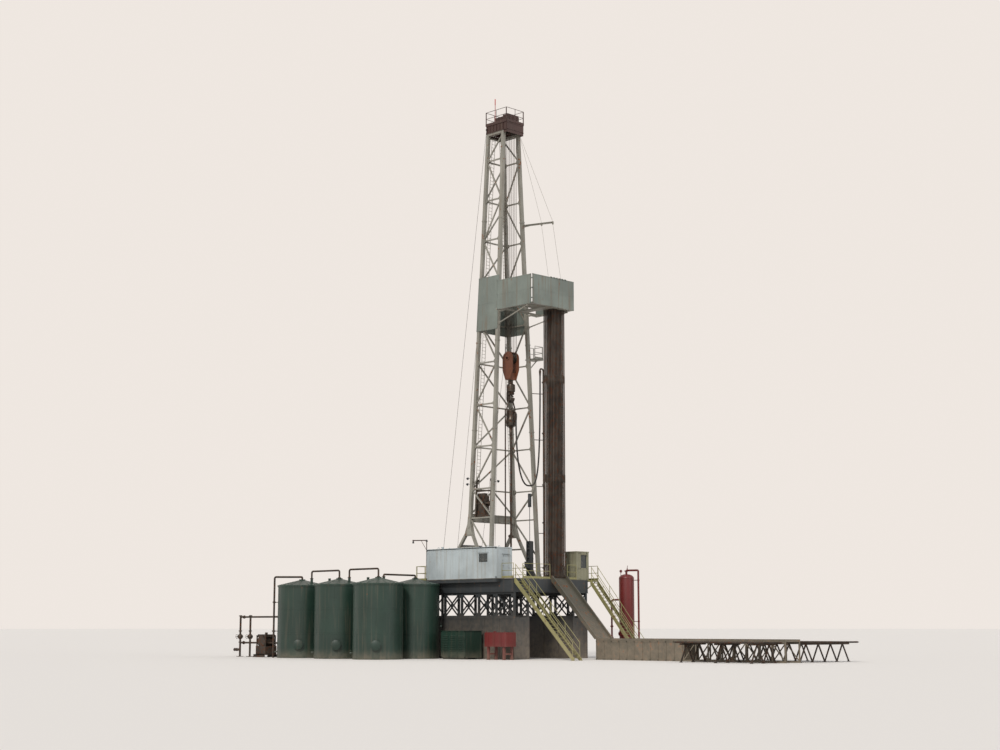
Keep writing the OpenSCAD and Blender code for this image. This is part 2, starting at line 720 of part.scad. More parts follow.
// Line reel and hydraulic unit hung inside the near side of the mast, with a lamp over each post
module mast_winch() {
    low = slope_s(spreader_z);
    top = slope_s(ring_z(ring_count - 1));
    hd = half_d(ring_z(ring_count - 1));
    y = brace_s / 2 + fit;
    reel_x = hd * 0.45;
    color("#26221f") place() side_plane(-1) {
        for (x = [-hd + 220, hd - 200]) {
            box([x, y, low - 24], [x + 60, y + 40, top + 330]);
            box([x - 20, y, top + 300], [x + 80, y + 120, top + 400]);
        }
        box([-hd + 210, y + 30, low + 60], [hd - 130, y + 66, top - 60]);
        box([-hd + 240, y + 60, low + 40], [reel_x - 190, y + 330, top - 180]);
        for (x = [reel_x - 170, reel_x + 130])
            box([x, y + 60, low + 300], [x + 40, y + 240, top - 300]);
        translate([reel_x, y + 190, (low + top) / 2]) rotate([0, 90, 0])
            cylinder(h = 300, r = 120, center = true);
    }
}

// Sheet walls on three sides of the mast round the racking board's level
module mast_windwalls() {
    z0 = windwall_z;
    z1 = windwall_z + windwall_h;
    out = leg_s / 2 + fit;
    edge = (out + sheet_t) / cos(lean);
    x = function(z) half_d(z) + leg_s / 2;
    color(wall_green) place() {
        for (side = [-1, 1]) side_plane(side)
            translate([0, side > 0 ? out + sheet_t : -out, 0]) rotate([90, 0, 0])
                linear_extrude(height = sheet_t) polygon([[-x(z0), slope_s(z0)], [x(z0), slope_s(z0)],
                    [x(z1), slope_s(z1)], [-x(z1), slope_s(z1)]]);
        back_plane() translate([-out, 0, 0]) rotate([0, -90, 0]) linear_extrude(height = sheet_t) polygon([
            [back_s(z0), -half_w(z0) - edge], [back_s(z0), half_w(z0) + edge],
            [back_s(z1), half_w(z1) + edge], [back_s(z1), -half_w(z1) - edge]]);
    }
}

// Walkways of the racking board, its diving board, and the two props below them
module racking_board() {
    z0 = board_z - 60;
    z1 = board_z;
    y1 = board_w / 2;
    x0 = half_d(z0) + leg_s / 2 + fit;
    x1 = board_front - sheet_t - fit;
    foot_x = half_d(board_z - 600) + leg_s / 2 + fit;
    walk = 90;
    y_leg = half_w(board_z);
    prop_y = half_w(board_z - 560);
    color("#6f6a5c") place() {
        for (s = [-1, 1]) {
            box([x0 + 260, s > 0 ? y1 - walk : -y1, z0], [x1 - 120 - fit, s > 0 ? y1 : -y1 + walk, z1]);
            box([x0, s * y_leg - 45, z0], [x0 + 260 - fit, s * y_leg + 45, z1]);
            box([x0 + 170, s > 0 ? y_leg + 45 + fit : -y1, z0],
                [x0 + 260 - fit, s > 0 ? y1 : -y_leg - 45 - fit, z1]);
            box([foot_x, s * prop_y - 35, board_z - 600], [foot_x + 60, s * prop_y + 35, board_z - 480]);
            bar([foot_x + 20, s * prop_y, board_z - 540], [x1 - 330, s * (y1 - 45), z0 - 30], 40, 40);
            box([x1 - 380, s * (y1 - 45) - 30, z0 - 60], [x1 - 300, s * (y1 - 45) + 30, z0 - fit]);
        }
        box([x1 - 120, -y1, z0], [x1, y1, z1]);
        box([x0 + 420, -y1 + walk + fit, z0], [x0 + 500, y1 - walk - fit, z1]);
        box([x0 + 500 + fit, -190, z0], [x1 - 120 - fit, 190, z1]);
    }
}

module board_walls() {
    z0 = board_z - 60;
    z1 = board_z + board_wall_h;
    y1 = board_w / 2 + fit;
    x0 = half_d(board_z) + leg_s / 2 + 260;
    x1 = board_front - sheet_t;
    color(wall_green) place() {
        box([x0, -y1 - sheet_t, z0], [x1 - 60, -y1, z1]);
        box([x0 - 150, y1, z0], [x1 - fit, y1 + sheet_t, z1]);
        box([x1, -y1, z0], [board_front, y1 + sheet_t, z1]);
    }
}

function stand_x(i) = board_front - 850 + i * stand_pitch;
stand_rows = 7;
stand_files = 9;
stand_y0 = 330;

// Fingers that run from the side walkways towards the diving board
module board_fingers() {
    y1 = board_w / 2 - 90 - fit;
    color("#6f6a5c") place() for (s = [-1, 1], i = [0:stand_rows]) {
        x = stand_x(i) - stand_pitch / 2;
        box([x - 6, s > 0 ? 230 : -y1, board_z - 50], [x + 6, s > 0 ? y1 : -230, board_z - 10]);
    }
}

// Stands of drill pipe on their setback mat
module racked_pipe() {
    mat = 50;
    color("#2c2723") place() {
        box([stand_x(0) - 70, stand_y0 - 70, floor_z],
            [stand_x(stand_rows - 1) + 70, stand_y0 + (stand_files - 1) * stand_pitch + 70, floor_z + mat]);
        for (i = [0:stand_rows - 1], j = [0:stand_files - 1])
            translate([stand_x(i), stand_y0 + j * stand_pitch, floor_z + mat / 2])
                cylinder(h = stand_l - (i + j) % 3 * 40, r = pipe_r, $fn = 8);
    }
}

// Boom that keeps the lines from the crown clear of the racking board
module line_boom() {
    z = floor_z + mast_h * 0.789;
    root = [half_d(z - 80) + leg_s / 2 + fit, half_w(z), z];
    tip = [1940, 1090, z];
    share = [0.61, 0.98];
    feet = [for (x = [-147, 555]) [tip.x + x, board_w / 2 - 45]];
    color(steel) place() {
        box(root - [0, 60, 80], root + [20, 60, 80]);
        bar(root + [16, 0, 0], tip, 70, 70);
        for (i = [0, 1]) {
            end = root + (tip - root) * share[i];
            rod(end - [0, 0, 30], [feet[i].x, feet[i].y, board_z + 2.5], 5, 6);
            rod(end + [0, 0, 30], [half_top + leg_s / 2 + 7, mast_top_w / 2, crown_z - 3], 5, 6);
        }
    }
}

// Small railed platform on the far leg, below the racking board
module side_platform() {
    z = floor_z + platform_h;
    hd = half_d(z);
    face = leg_s / 2 / cos(lean);
    y0 = half_w(z) + face + 12;
    y1 = y0 + 560;
    x0 = hd - 270;
    x1 = hd + 270;
    e = rail_s / 2;
    color(steel) place() {
        box([x0, y0, z - 40], [x1, y1, z]);
        handrail([x0 + e, y1 - e, z + fit], [x1 - e, y1 - e, z + fit], rail_h - 50);
        for (x = [x0 + e, x1 - e])
            handrail([x, y0 + 60, z + fit], [x, y1 - e - 40, z + fit], rail_h - 50);
        bar([hd, half_w(z - 420) + face + 26, z - 420], [hd, y1 - 120, z - 20], 40, 40);
        side_plane(1) box([hd - 40, leg_s / 2 + fit, slope_s(z) - 480],
            [hd + 40, leg_s / 2 + 30, slope_s(z) - 10]);
    }
}

// Beams that carry the crown sheaves on top of the mast
module crown_frame() {
    x0 = -half_top - leg_s / 2;
    x1 = crown_x1;
    y = mast_top_w / 2;
    z1 = crown_z + crown_h;
    color("#4a2a22") place() {
        for (s = [-1, 1]) box([x0, s * y - 60, crown_z], [x1, s * y + 60, z1]);
        for (x = [x0, crown_beam_x, x1 - 30])
            box([x, -y, crown_z + 20], [x + 30, y, z1 - 20]);
        box([x0, -y, z1 - 120], [crown_beam_x, y, z1 - 90]);
    }
}

module sheave_bank(x, z, half, count, pitch) {
    for (i = [0:count - 1])
        translate([x, (i - (count - 1) / 2) * pitch, z]) rotate([90, 0, 0])
            cylinder(h = 50, r = sheave_r, center = true);
    translate([x, 0, z]) rotate([90, 0, 0]) cylinder(h = 2 * half, r = 55, center = true);
}

module crown_sheaves() {
    color("#3d302a") place() sheave_bank(well_x, sheave_z, mast_top_w / 2 - 60 - fit, 4, 90);
}

module crown_platform() {
    z = crown_z + crown_h;
    y = mast_top_w / 2 + crown_over;
    half = 330;
    color("#4a2a22") place() {
        box([-half_top - leg_s / 2 - 25, -y, z], [crown_x1 + 10, y, z + 25]);
        box([-150, -half, z + 20], [crown_x1 - 110, half, z + 330]);
        box([well_x - 150, -half, z + 320], [crown_x1 - 110, half, z + 395]);
    }
}

module crown_rails() {
    e = rail_s / 2;
    x0 = -half_top - leg_s / 2 - 25 + e;
    x1 = crown_x1 + 10 - e;
    y = mast_top_w / 2 + crown_over - e;
    z = crown_z + crown_h + 25;
    color("#5d3a2c") place() {
        for (s = [-1, 1]) handrail([x0 + 30, s * y, z], [x1 - 30, s * y, z]);
        for (x = [x0, x1]) handrail([x, -y, z], [x, y, z]);
    }
}

module antenna() {
    color("#a32622") place() translate([-half_top + 100, -140, crown_z + crown_h + 25]) {
        cylinder(h = antenna_h, r = 14);
        cylinder(h = 60, r = 40);
        translate([0, 0, antenna_h - 260]) cylinder(h = 260, r = 22);
    }
}

// Stay with an anchor block on the deck and one against the steel above
module stay(top, foot, r, s = 45) {
    rod(top, foot, r, 6);
    box(foot - [s, s, foot.z - floor_z], foot + [s, s, foot.z - floor_z]);
}

module stays() {
    r = line_r * 0.7;
    z = floor_z + 40;
    y = floor_y - 510;
    near_foot = [-floor_rear + 25, -mast_base_w / 2 - 32.5, floor_z + 25];
    y_top = mast_top_w / 2 + 60 + fit;
    leg_z = windwall_z - 60;
    x_leg = -half_d(leg_z - 40) - leg_s / 2 - fit;
    color("#4b4640") place() {
        for (s = [-1, 1]) {
            stay([-half_top - 40, s * (y_top + 25), crown_z + 200],
                s < 0 ? near_foot : [-floor_rear + 80, y, z], r, s < 0 ? 24 : 45);
            box([-half_top - 70, s > 0 ? y_top : -y_top - 40, crown_z + 160],
                [-half_top - 10, s > 0 ? y_top + 40 : -y_top, crown_z + 240]);
            stay([x_leg - 30, s * half_w(leg_z), leg_z], [-floor_rear + 80, s * 690, z], r);
            box([x_leg - 50, s * half_w(leg_z) - 40, leg_z - 40], [x_leg, s * half_w(leg_z) + 40, leg_z + 40]);
        }
    }
}

stand_z = floor_z + stand_h;
stand_x0 = half_depth + 140;
stand_y = mast_base_w / 2 + 185;
stand_reach = 200;
hose_r = 34;

// Mud pipe up the far leg, with the gooseneck that the hose hangs from
module standpipe() {
    r = 36;
    color("#5c4a3c") place() {
        translate([stand_x0, stand_y, floor_z]) {
            cylinder(h = 30, r = 70);
            cylinder(h = stand_h, r = r);
            translate([0, 0, 500]) cylinder(h = 160, r = 60);
        }
        pipe_run([[stand_x0, stand_y, stand_z - 80], [stand_x0, stand_y, stand_z],
            [stand_x0, stand_y - stand_reach, stand_z],
            [stand_x0, stand_y - stand_reach, stand_z - 140]], r - 2);
        for (k = [1:4]) {
            z = floor_z + stand_h * 0.22 * k;
            x = half_d(z);
            side_plane(1) box([x - 30, leg_s / 2 + fit, slope_s(z) - 30],
                [x + 30, leg_s / 2 + 20, slope_s(z) + 30]);
            bar([x, half_w(z) + leg_s / 2 / cos(lean) + 17, z], [stand_x0, stand_y, z], 30, 30);
        }
    }
}

swivel_out_z = swivel_bottom + swivel_h * 0.62;
hose_a = [well_x + 300, 0, swivel_out_z - 120];
hose_b = [stand_x0, stand_y - stand_reach, stand_z - 140 - fit];
hose_low = floor_z + hose_low_h;

// Hanging hose as one swept tube: a U between the swivel and the standpipe
function hose_point(t) = let (
        x = hose_a.x + (hose_b.x - hose_a.x) * (1 - cos(180 * t)) / 2,
        y = hose_a.y + (hose_b.y - hose_a.y) * (1 - cos(180 * t)) / 2,
        end_z = t < 0.5 ? hose_a.z : hose_b.z)
    [x, y, hose_low + (end_z - hose_low) * pow(abs(2 * t - 1), t < 0.5 ? 2.2 : 3.4)];

module kelly_hose() {
    steps = 28;
    sides = 8;
    across = [hose_b.y - hose_a.y, hose_a.x - hose_b.x, 0] / norm([hose_b.x - hose_a.x, hose_b.y - hose_a.y]);
    ring = function(i) let (
            p = hose_point(i / steps),
            q = i == 0 || i == steps ? [0, 0, i == 0 ? -1 : 1]
                : hose_point((i + 0.5) / steps) - hose_point((i - 0.5) / steps),
            up = cross(q / norm(q), across))
        [for (j = [0:sides - 1]) p + hose_r * (cos(360 * j / sides) * across + sin(360 * j / sides) * up)];
    points = [for (i = [0:steps]) each ring(i)];
    faces = [
        [for (j = [sides - 1:-1:0]) j],
        for (i = [0:steps - 1], j = [0:sides - 1]) let (k = (j + 1) % sides)
            [i * sides + j, i * sides + k, (i + 1) * sides + k, (i + 1) * sides + j],
        [for (j = [0:sides - 1]) steps * sides + j]];
    color("#2a2622") place() polyhedron(points, faces);
}

// Lines with the tongs that hang from them over the drill floor, and a power wrench column
module tong_lines() {
    beam_x = crown_beam_x + 15;
    post = [58, 62];
    post_h = 7200;
    line_y = mast_top_w / 2 - leg_s / 2 - 30;
    tong_h = 1900;
    wrench_h = 1650;
    weight_h = 3080;
    color("#4a3526") place() {
        translate([post.x, post.y, floor_z]) {
            cylinder(h = 30, r = 45);
            cylinder(h = post_h, r = 28);
            translate([0, 0, 760]) cylinder(h = 260, r = 44);
            box([-40, -300, 790], [40, 60, 880]);
        }
        rod([post.x, post.y, floor_z + post_h - 60], [beam_x, 20, crown_z + 20 - fit - 0.1], 8, 8);
        translate([beam_x, line_y, floor_z]) {
            translate([0, 0, tong_h]) cylinder(h = mast_h + 20 - fit - tong_h, r = 8, $fn = 8);
            translate([0, 0, tong_h - 140]) cylinder(h = 260, r = 40);
            box([-40, -180, tong_h - 110], [40, 180, tong_h - 20]);
        }
        translate([well_x + 30, mast_base_w / 2 - 330, floor_z]) {
            box([-160, -130, 0], [160, 130, 60]);
            box([-130, -100, 50], [130, 100, wrench_h]);
            box([-200, -190, 480], [110, 90, 800]);
            translate([0, 0, wrench_h - 10]) cylinder(h = weight_h - wrench_h + 30, r = 14);
            box([-75, -75, weight_h], [75, 75, weight_h + 570]);
        }
    }
}

// Eight vertical lines between the crown sheaves and the block sheaves
module drilling_lines() {
    color("#3a342e") place() for (s = [-1, 1], i = [-1.5:1:1.5])
        translate([well_x + s * line_x, i * 90, block_sheave_z])
            cylinder(h = sheave_z - block_sheave_z, r = line_r, $fn = 8);
}

// Block with rounded cheek plates on both sides of its sheaves
module travelling_block() {
    cheek = function(w, h) [for (a = [0:15:180]) [w * cos(a), h - w + w * sin(a)]];
    w = sheave_r + 80;
    color(rust) place() translate([well_x, 0, block_bottom]) {
        for (y = [-block_y + 20, block_y - 20])
            translate([0, y, 0]) rotate([90, 0, 0]) linear_extrude(height = 40, center = true)
                polygon(concat([[-w * 0.45, 0], [w * 0.45, 0], [w, 420]], cheek(w, block_h), [[-w, 420]]));
        translate([0, 0, block_sheave_z - block_bottom]) {
            for (i = [-1.5:1:1.5]) translate([0, i * 90, 0]) rotate([90, 0, 0])
                cylinder(h = 50, r = sheave_r, center = true);
            rotate([90, 0, 0]) cylinder(h = 2 * block_y + 60, r = 60, center = true);
        }
        box([-w * 0.45, -block_y + 30, 0], [w * 0.45, block_y - 30, 330]);
    }
}

// Hook with its shank, spring barrel and open jaw
module hook() {
    color("#4a2c1c") place() translate([well_x, 0, hook_bottom]) {
        translate([0, 0, hook_h - 330]) cylinder(h = 330 - fit, r = 95);
        translate([0, 0, hook_h - 500]) cylinder(h = 300, r = 175);
        box([-120, -75, hook_h - 640], [120, 75, hook_h - 450]);
        box([-190, -75, 130], [-110, 75, hook_h - 470]);
        box([-200, -75, 60], [150, 75, 160]);
        box([90, -75, 100], [150, 75, 320]);
    }
}

// Swivel body with its bail and the gooseneck for the hose
module swivel() {
    bail_w = 230;
    out_z = swivel_out_z + 60;
    color("#3a2a22") place() {
        translate([well_x, 0, swivel_bottom]) {
            cylinder(h = 80, r = 90);
            translate([0, 0, 60]) cylinder(h = 430, r = 205);
            translate([0, 0, 480]) cylinder(h = 360, r = 180);
            for (s = [-1, 1])
                box([-40, s * bail_w - 35, 250], [40, s * bail_w + 35, swivel_h + 250]);
            box([-40, -bail_w - 35, 220], [40, bail_w + 35, 330]);
            box([-40, -bail_w - 35, swivel_h + 160 + fit], [40, bail_w + 35, swivel_h + 250]);
        }
        pipe_run([[well_x, 0, out_z], [hose_a.x, 0, out_z], [hose_a.x, 0, hose_a.z + fit]], hose_r);
    }
}

// Square drive pipe below the swivel
module kelly() {
    top = swivel_bottom - fit;
    h = kelly_s / 2;
    color("#5b5148") place() {
        translate([well_x, 0, top - 260]) cylinder(h = 260, r = 62);
        box([well_x - h, -h, kelly_bottom], [well_x + h, h, top - 250]);
    }
}

module stair_side(x0, y, run) {
    t = 40;
    d = 110;
    rise = floor_z / run;
    color(rail_yellow) {
        rotate([90, 0, 0]) translate([0, 0, -y - t / 2]) linear_extrude(height = t) polygon([
            [x0, floor_z - d * 1.6], [x0, floor_z - 5], [x0 + 40, floor_z - 5],
            [x0 + run, 60], [x0 + run, 0], [x0 + run - 120, 0]]);
        for (i = [0:4]) {
            x = x0 + 60 + (run - 160) * i / 4;
            z = floor_z - (x - x0) * rise;
            box([x - 12, y - 12, max(z - 30, 0)], [x + 12, y + 12, z + rail_h]);
        }
        for (h = [rail_h - 12, rail_h / 2])
            bar([x0 + 40, y, floor_z + h - 40 * rise], [x0 + run - 90, y, floor_z + h - (run - 90) * rise],
                22, 22);
    }
}

// Each stair's near edge and its run
stairs = [[near_stair_y, floor_z - 10], [far_stair_y, floor_z - 500]];

module stair_sides() {
    place() for (p = stairs, y = [p[0] + 20, p[0] + stair_w - 20])
        stair_side(floor_front + fit, y, p[1]);
}

// Treads of both stairs, each held between its two sides
module stair_treads() {
    color("#77713f") place() for (p = stairs, i = [1:rises - 1]) {
        z = floor_z - i * floor_z / rises;
        x = floor_front + i * p[1] / rises;
        box([x - 60, p[0] + 40 + fit, z - 20], [x + 50, p[0] + stair_w - 40 - fit, z]);
    }
}

// Steep ramp for pipe between the catwalk and the drill floor
module pipe_ramp() {
    x0 = floor_front + fit;
    t = 70;
    color("#4c4a3b") place() {
        translate([0, ramp_y + ramp_w / 2, 0]) rotate([90, 0, 0]) linear_extrude(height = ramp_w) polygon([
            [x0, floor_z], [x0, floor_z - t * 1.4], [ramp_foot_x - t, catwalk_h + fit],
                [ramp_foot_x + 30, catwalk_h + fit]]);
        for (s = [-1, 1]) translate([0, ramp_y + s * (ramp_w / 2 - 30) + 30, 0]) rotate([90, 0, 0])
            linear_extrude(height = 60) polygon([
            [x0, floor_z + 130], [x0, floor_z - t], [ramp_foot_x - 40, catwalk_h + 5],
                [ramp_foot_x + 60, catwalk_h + 5], [ramp_foot_x + 60, catwalk_h + 60],
                [x0 + 60, floor_z + 130]]);
    }
}

// Pipe catwalk: a closed part next to the ramp and an open truss beyond
module catwalk() {
    x0 = catwalk_x;
    x1 = catwalk_x + catwalk_closed;
    x2 = catwalk_x + catwalk_l;
    y0 = catwalk_y;
    y1 = catwalk_y + catwalk_w;
    deck = 50;
    wall = 25;
    bays = 8;
    step = (x2 - x1 - 60) / bays;
    color("#33362a") place() {
        box([x0, y0, catwalk_h - deck], [x2, y1, catwalk_h]);
        for (y = [y0 + 5, y1 - 5 - wall]) box([x0 + 5, y, 0], [x1, y + wall, catwalk_h - deck - fit]);
        for (x = [x0 + 5, x1 - wall])
            box([x, y0 + 5 + wall + fit, 0], [x + wall, y1 - 5 - wall - fit, catwalk_h - deck - fit]);
        for (y = [y0 + 30, y1 - 30]) {
            top = catwalk_h - deck - fit;
            box([x1 + fit, y - 25, 0], [x2, y + 25, 60]);
            box([x1 + fit, y - 25, top - 60], [x2, y + 25, top]);
            for (i = [0:bays]) box([x1 + 5 + i * step, y - 20, 30], [x1 + i * step + 55, y + 20, top - 30]);
            for (i = [0:bays - 1])
                bar([x1 + i * step + 30, y, i % 2 == 0 ? 40 : top - 40],
                    [x1 + (i + 1) * step + 30, y, i % 2 == 0 ? top - 40 : 40], 34, 34);
        }
    }
}

// Trestle across the pipes: a beam on zig-zag legs
module trestle(x, y0, y1, legs) {
    s = 60;
    step = (y1 - y0 - s) / legs;
    box([x - s / 2, y0, rack_h - s], [x + s / 2, y1, rack_h]);
    for (i = [0:legs - 1], d = [0, 1])
        bar([x, y0 + s / 2 + (i + 0.5) * step, rack_h - s / 2], [x, y0 + s / 2 + (i + d) * step, 20], 40, 44);
    for (i = [0:legs])
        box([x - 50, max(y0, y0 + s / 2 + i * step - 50), 0],
            [x + 50, min(y1, y0 + s / 2 + i * step + 50), 24]);
}

module pipe_racks() {
    far_step = (joint_l - 1000) / 3;
    near_step = (near_joint_l - 700) / 2;
    color("#2b241d") place() {
        for (i = [0:3])
            trestle(far_rack_x + 350 + i * far_step, catwalk_y + catwalk_w + 130, rack_far_y, 4);
        for (i = [0:2])
            trestle(near_rack_x + 350 + i * near_step, near_rack_y, catwalk_y - 170, 2);
    }
}

// Joints of pipe side by side on the racks, with clear gaps between them
module rack_pipes() {
    pitch = 2 * pipe_r + 26;
    far_n = floor((rack_far_y - catwalk_y - catwalk_w - 300) / pitch);
    near_n = floor((catwalk_y - near_rack_y - 300) / pitch);
    joint = function(i) i % 3 == 1 ? [90, 90] : i % 3 == 2 ? [200, 260] : [0, 0];
    color("#241c17") place() {
        for (i = [0:far_n - 1], d = [joint(i)])
            translate([far_rack_x + d[0], catwalk_y + catwalk_w + 210 + i * pitch, rack_h + pipe_r])
                rack_joint(joint_l - d[1]);
        for (i = [0:near_n - 1], d = [(i % 2) * 80])
            translate([near_rack_x + d, near_rack_y + 130 + i * pitch, rack_h + pipe_r])
                rack_joint(near_joint_l - d);
    }
}

// Eight-sided joint of pipe that lies on one of its flats
module rack_joint(length) {
    rotate([0, 90, 0]) rotate(22.5) cylinder(h = length, r = pipe_r / cos(22.5), $fn = 8);
}

// Upright vessel on a skid, with its vent pipe over the top and down to the ground
module gas_separator() {
    skid = 140;
    skirt = 420;
    head = sep_r * 0.55;
    top = sep_h - head;
    pipe_x = sep_x + sep_r + 230;
    arc = function(k) [for (a = [0:10:90]) [(sep_r - k) * cos(a), top + (head - k) * sin(a)]];
    color(deep_red) place() {
        translate([sep_x, sep_y, 0]) {
            rotate_extrude() polygon(concat([[0, skirt], [sep_r, skirt]], arc(0), [[0, sep_h]]));
            translate([0, 0, skid - 5]) cylinder(h = skirt - skid + 10, r = sep_r - 25);
            translate([0, 0, sep_h - 20]) cylinder(h = 110, r = 62);
            for (s = [-1, 1]) box([-560, s * 300 - 60, 0], [560, s * 300 + 60, skid]);
            for (s = [-1, 1]) box([s * 480 - 60, -300, 0], [s * 480 + 60, 300, skid - 10]);
            box([-380, -380, skid - 30], [380, 380, skid]);
        }
        pipe_run([[sep_x, sep_y, sep_h + 60], [sep_x, sep_y, sep_h + 150],
            [pipe_x, sep_y + 120, sep_h + 150], [pipe_x, sep_y + 120, 0]], pipe_bore_r * 0.75);
        for (z = [sep_h - 260, 1500])
            bar([sep_x + sep_r * 0.7, sep_y + 60, z], [pipe_x, sep_y + 120, z], 40, 40);
        pipe_run([[sep_x - sep_r + 30, sep_y - 40, 2400], [sep_x - sep_r - 480, sep_y - 40, 2400],
            [sep_x - sep_r - 480, sep_y - 40, 0]], pipe_bore_r * 0.7);
    }
}

tank_row_y = 2 * tank_r + 125;

function tank_at(i) = i < 3 ? [tank_x + i * tank_pitch, tank_y]
    : [tank_x + 2 * tank_pitch - 150, tank_y + tank_row_y];

// Place of a tank roof's outgoing nozzle, from the tank's axis
function tank_nozzle(i) = i < 2 ? [tank_pitch * 0.26, 0] : [0, tank_pitch * 0.115];

module tank_shells() {
    wall = 12;
    color(tank_green) place() for (i = [0:3]) translate([tank_at(i).x, tank_at(i).y, 0]) {
        difference() {
            cylinder(h = tank_h, r = tank_r, $fn = 96);
            translate([0, 0, wall]) cylinder(h = tank_h, r = tank_r - wall, $fn = 96);
        }
        difference() {
            translate([0, 0, tank_h - 60]) cylinder(h = 60, r = tank_r + 30, $fn = 96);
            translate([0, 0, tank_h - 70]) cylinder(h = 80, r = tank_r - 5, $fn = 96);
        }
        if (i == 0) for (z = manifold_z) difference() {
            translate([-tank_r - 60, -200, z]) rotate([0, 90, 0]) cylinder(h = 140, r = pipe_bore_r);
            cylinder(h = tank_h, r = tank_r - wall / 2, $fn = 96);
        }
    }
}

module tank_roofs() {
    wall = 12;
    color(tank_green) place() for (i = [0:3]) translate([tank_at(i).x, tank_at(i).y, tank_h + fit]) {
        difference() {
            cylinder(h = cone_h, r1 = tank_r + 20, r2 = 120, $fn = 96);
            translate([0, 0, -wall]) cylinder(h = cone_h, r1 = tank_r + 20, r2 = 120, $fn = 96);
        }
        translate([0, 0, cone_h - wall - 30]) cylinder(h = wall + 60, r = 130);
        if (i > 0 && i < 3) translate([tank_pitch * -0.26, 0, cone_h * 0.4])
            cylinder(h = nozzle_h - cone_h * 0.4, r = pipe_bore_r);
        if (i < 3) translate([tank_nozzle(i).x, tank_nozzle(i).y, cone_h * 0.4])
            cylinder(h = nozzle_h - cone_h * 0.4, r = pipe_bore_r);
    }
}

// Vent pipe down the first tank's side, and pipes that link each tank's roof to the next
module tank_pipes() {
    r = pipe_bore_r * 0.75;
    roof = tank_h + 2 * fit;
    hub = roof + cone_h;
    base = hub + 30;
    t = [for (i = [0:3]) tank_at(i)];
    side = t[0] - [1, 1] * (tank_r + 30) * 0.8;
    link_z = [hub + 130, hub + 350, hub + 370, hub + 140];
    color("#4a4038") place() {
        pipe_run([[side.x, side.y, 0], [side.x, side.y, link_z[0]], [t[0].x, t[0].y, link_z[0]],
            [t[0].x, t[0].y, base]], r);
        for (i = [1:3]) {
            a = t[i - 1] + tank_nozzle(i - 1);
            z = link_z[i];
            pipe_run([[a.x, a.y, roof + nozzle_h], [a.x, a.y, z], [t[i].x, t[i].y, z],
                [t[i].x, t[i].y, base]], r * 0.9);
        }
    }
}

// Closed machine house and the fuel tank beside the substructure
module power_house() {
    house = [-300, -3250];
    size = [1400, 900];
    color("#14302a") place() translate([house.x, house.y, 0]) {
        box([0, 0, 60], [size.x, size.y, house_h]);
        for (y = [50, size.y - 210]) box([50, y, 0], [size.x - 50, y + 160, 70]);
    }
    tank = [1200, 620];
    color(deep_red) place() translate([2000, house.y + 150, 0]) {
        box([0, 0, fuel_h - 555], [tank.x, tank.y, fuel_h]);
        for (x = [120, tank.x - 220], y = [60, tank.y - 140]) box([x, y, 0], [x + 90, y + 80, fuel_h - 545]);
        for (x = [120, tank.x - 220]) box([x + 10, 70, 200], [x + 80, tank.y - 70, 260]);
    }
}

// Pump skid and the suction manifold on the tanks' left
module pump_and_manifold() {
    x1 = tank_x - tank_r - 940;
    y = tank_y - 200;
    r = pipe_bore_r;
    color("#2f2b26") place() {
        box([x1 - 700, y - 300, 0], [x1 + 30, y + 500, 120]);
        box([x1 - 670, y - 200, 110], [x1, y + 400, 1040]);
        for (x = [pump_x, pump_x + pump_pitch]) {
            translate([x, y, 0]) cylinder(h = manifold_z[1] + 80, r = r * 0.8);
            translate([x, y, 860]) rotate([90, 0, 0]) cylinder(h = 240, r = 100, center = true);
            box([x - 110, y - 110, 0], [x + 110, y + 110, 40]);
        }
        for (z = manifold_z)
            translate([pump_x, y, z]) rotate([0, 90, 0])
                cylinder(h = tank_x - tank_r - 60 - fit - pump_x, r = r * 0.7);
        difference() {
            translate([x_low, y, 300]) rotate([0, 90, 0]) cylinder(h = pump_x - x_low, r = r);
            translate([x_low - 1, y, 300]) rotate([0, 90, 0]) cylinder(h = 261, r = suction_bore_r);
        }
    }
}

substructure_box(-1);  // substructure_box_near
substructure_box(1);  // substructure_box_far
substructure_frame(-1);  // substructure_frame_near
substructure_frame(1);  // substructure_frame_far
floor_girders();
drill_floor();
rotary_housing();
rotary_table();
floor_rails();
side_landings();
drawworks();
doghouse_walls();
doghouse_roof();
doghouse_window();
doghouse_door();
driller_cabin();
cabin_roof();
cabin_window();
lamp_post();
a_frame(-1);  // a_frame_near
a_frame(1);  // a_frame_far
spreader_beam();
mast_side(-1);  // mast_side_near
mast_side(1);  // mast_side_far
mast_back();
ladders();
mast_windwalls();
racking_board();
board_walls();
board_fingers();
line_boom();
side_platform();
crown_frame();
crown_sheaves();
crown_platform();
crown_rails();
antenna();
stays();
standpipe();
kelly_hose();
tong_lines();
racked_pipe();
drilling_lines();
travelling_block();
hook();
swivel();
kelly();
stair_sides();
stair_treads();
pipe_ramp();
catwalk();
pipe_racks();
rack_pipes();
gas_separator();
tank_shells();
tank_roofs();
tank_pipes();
power_house();
pump_and_manifold();
mast_winch();
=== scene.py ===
"""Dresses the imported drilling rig: paint and wear, rails, stairs, hoist, crown, tanks, pipework and racks."""

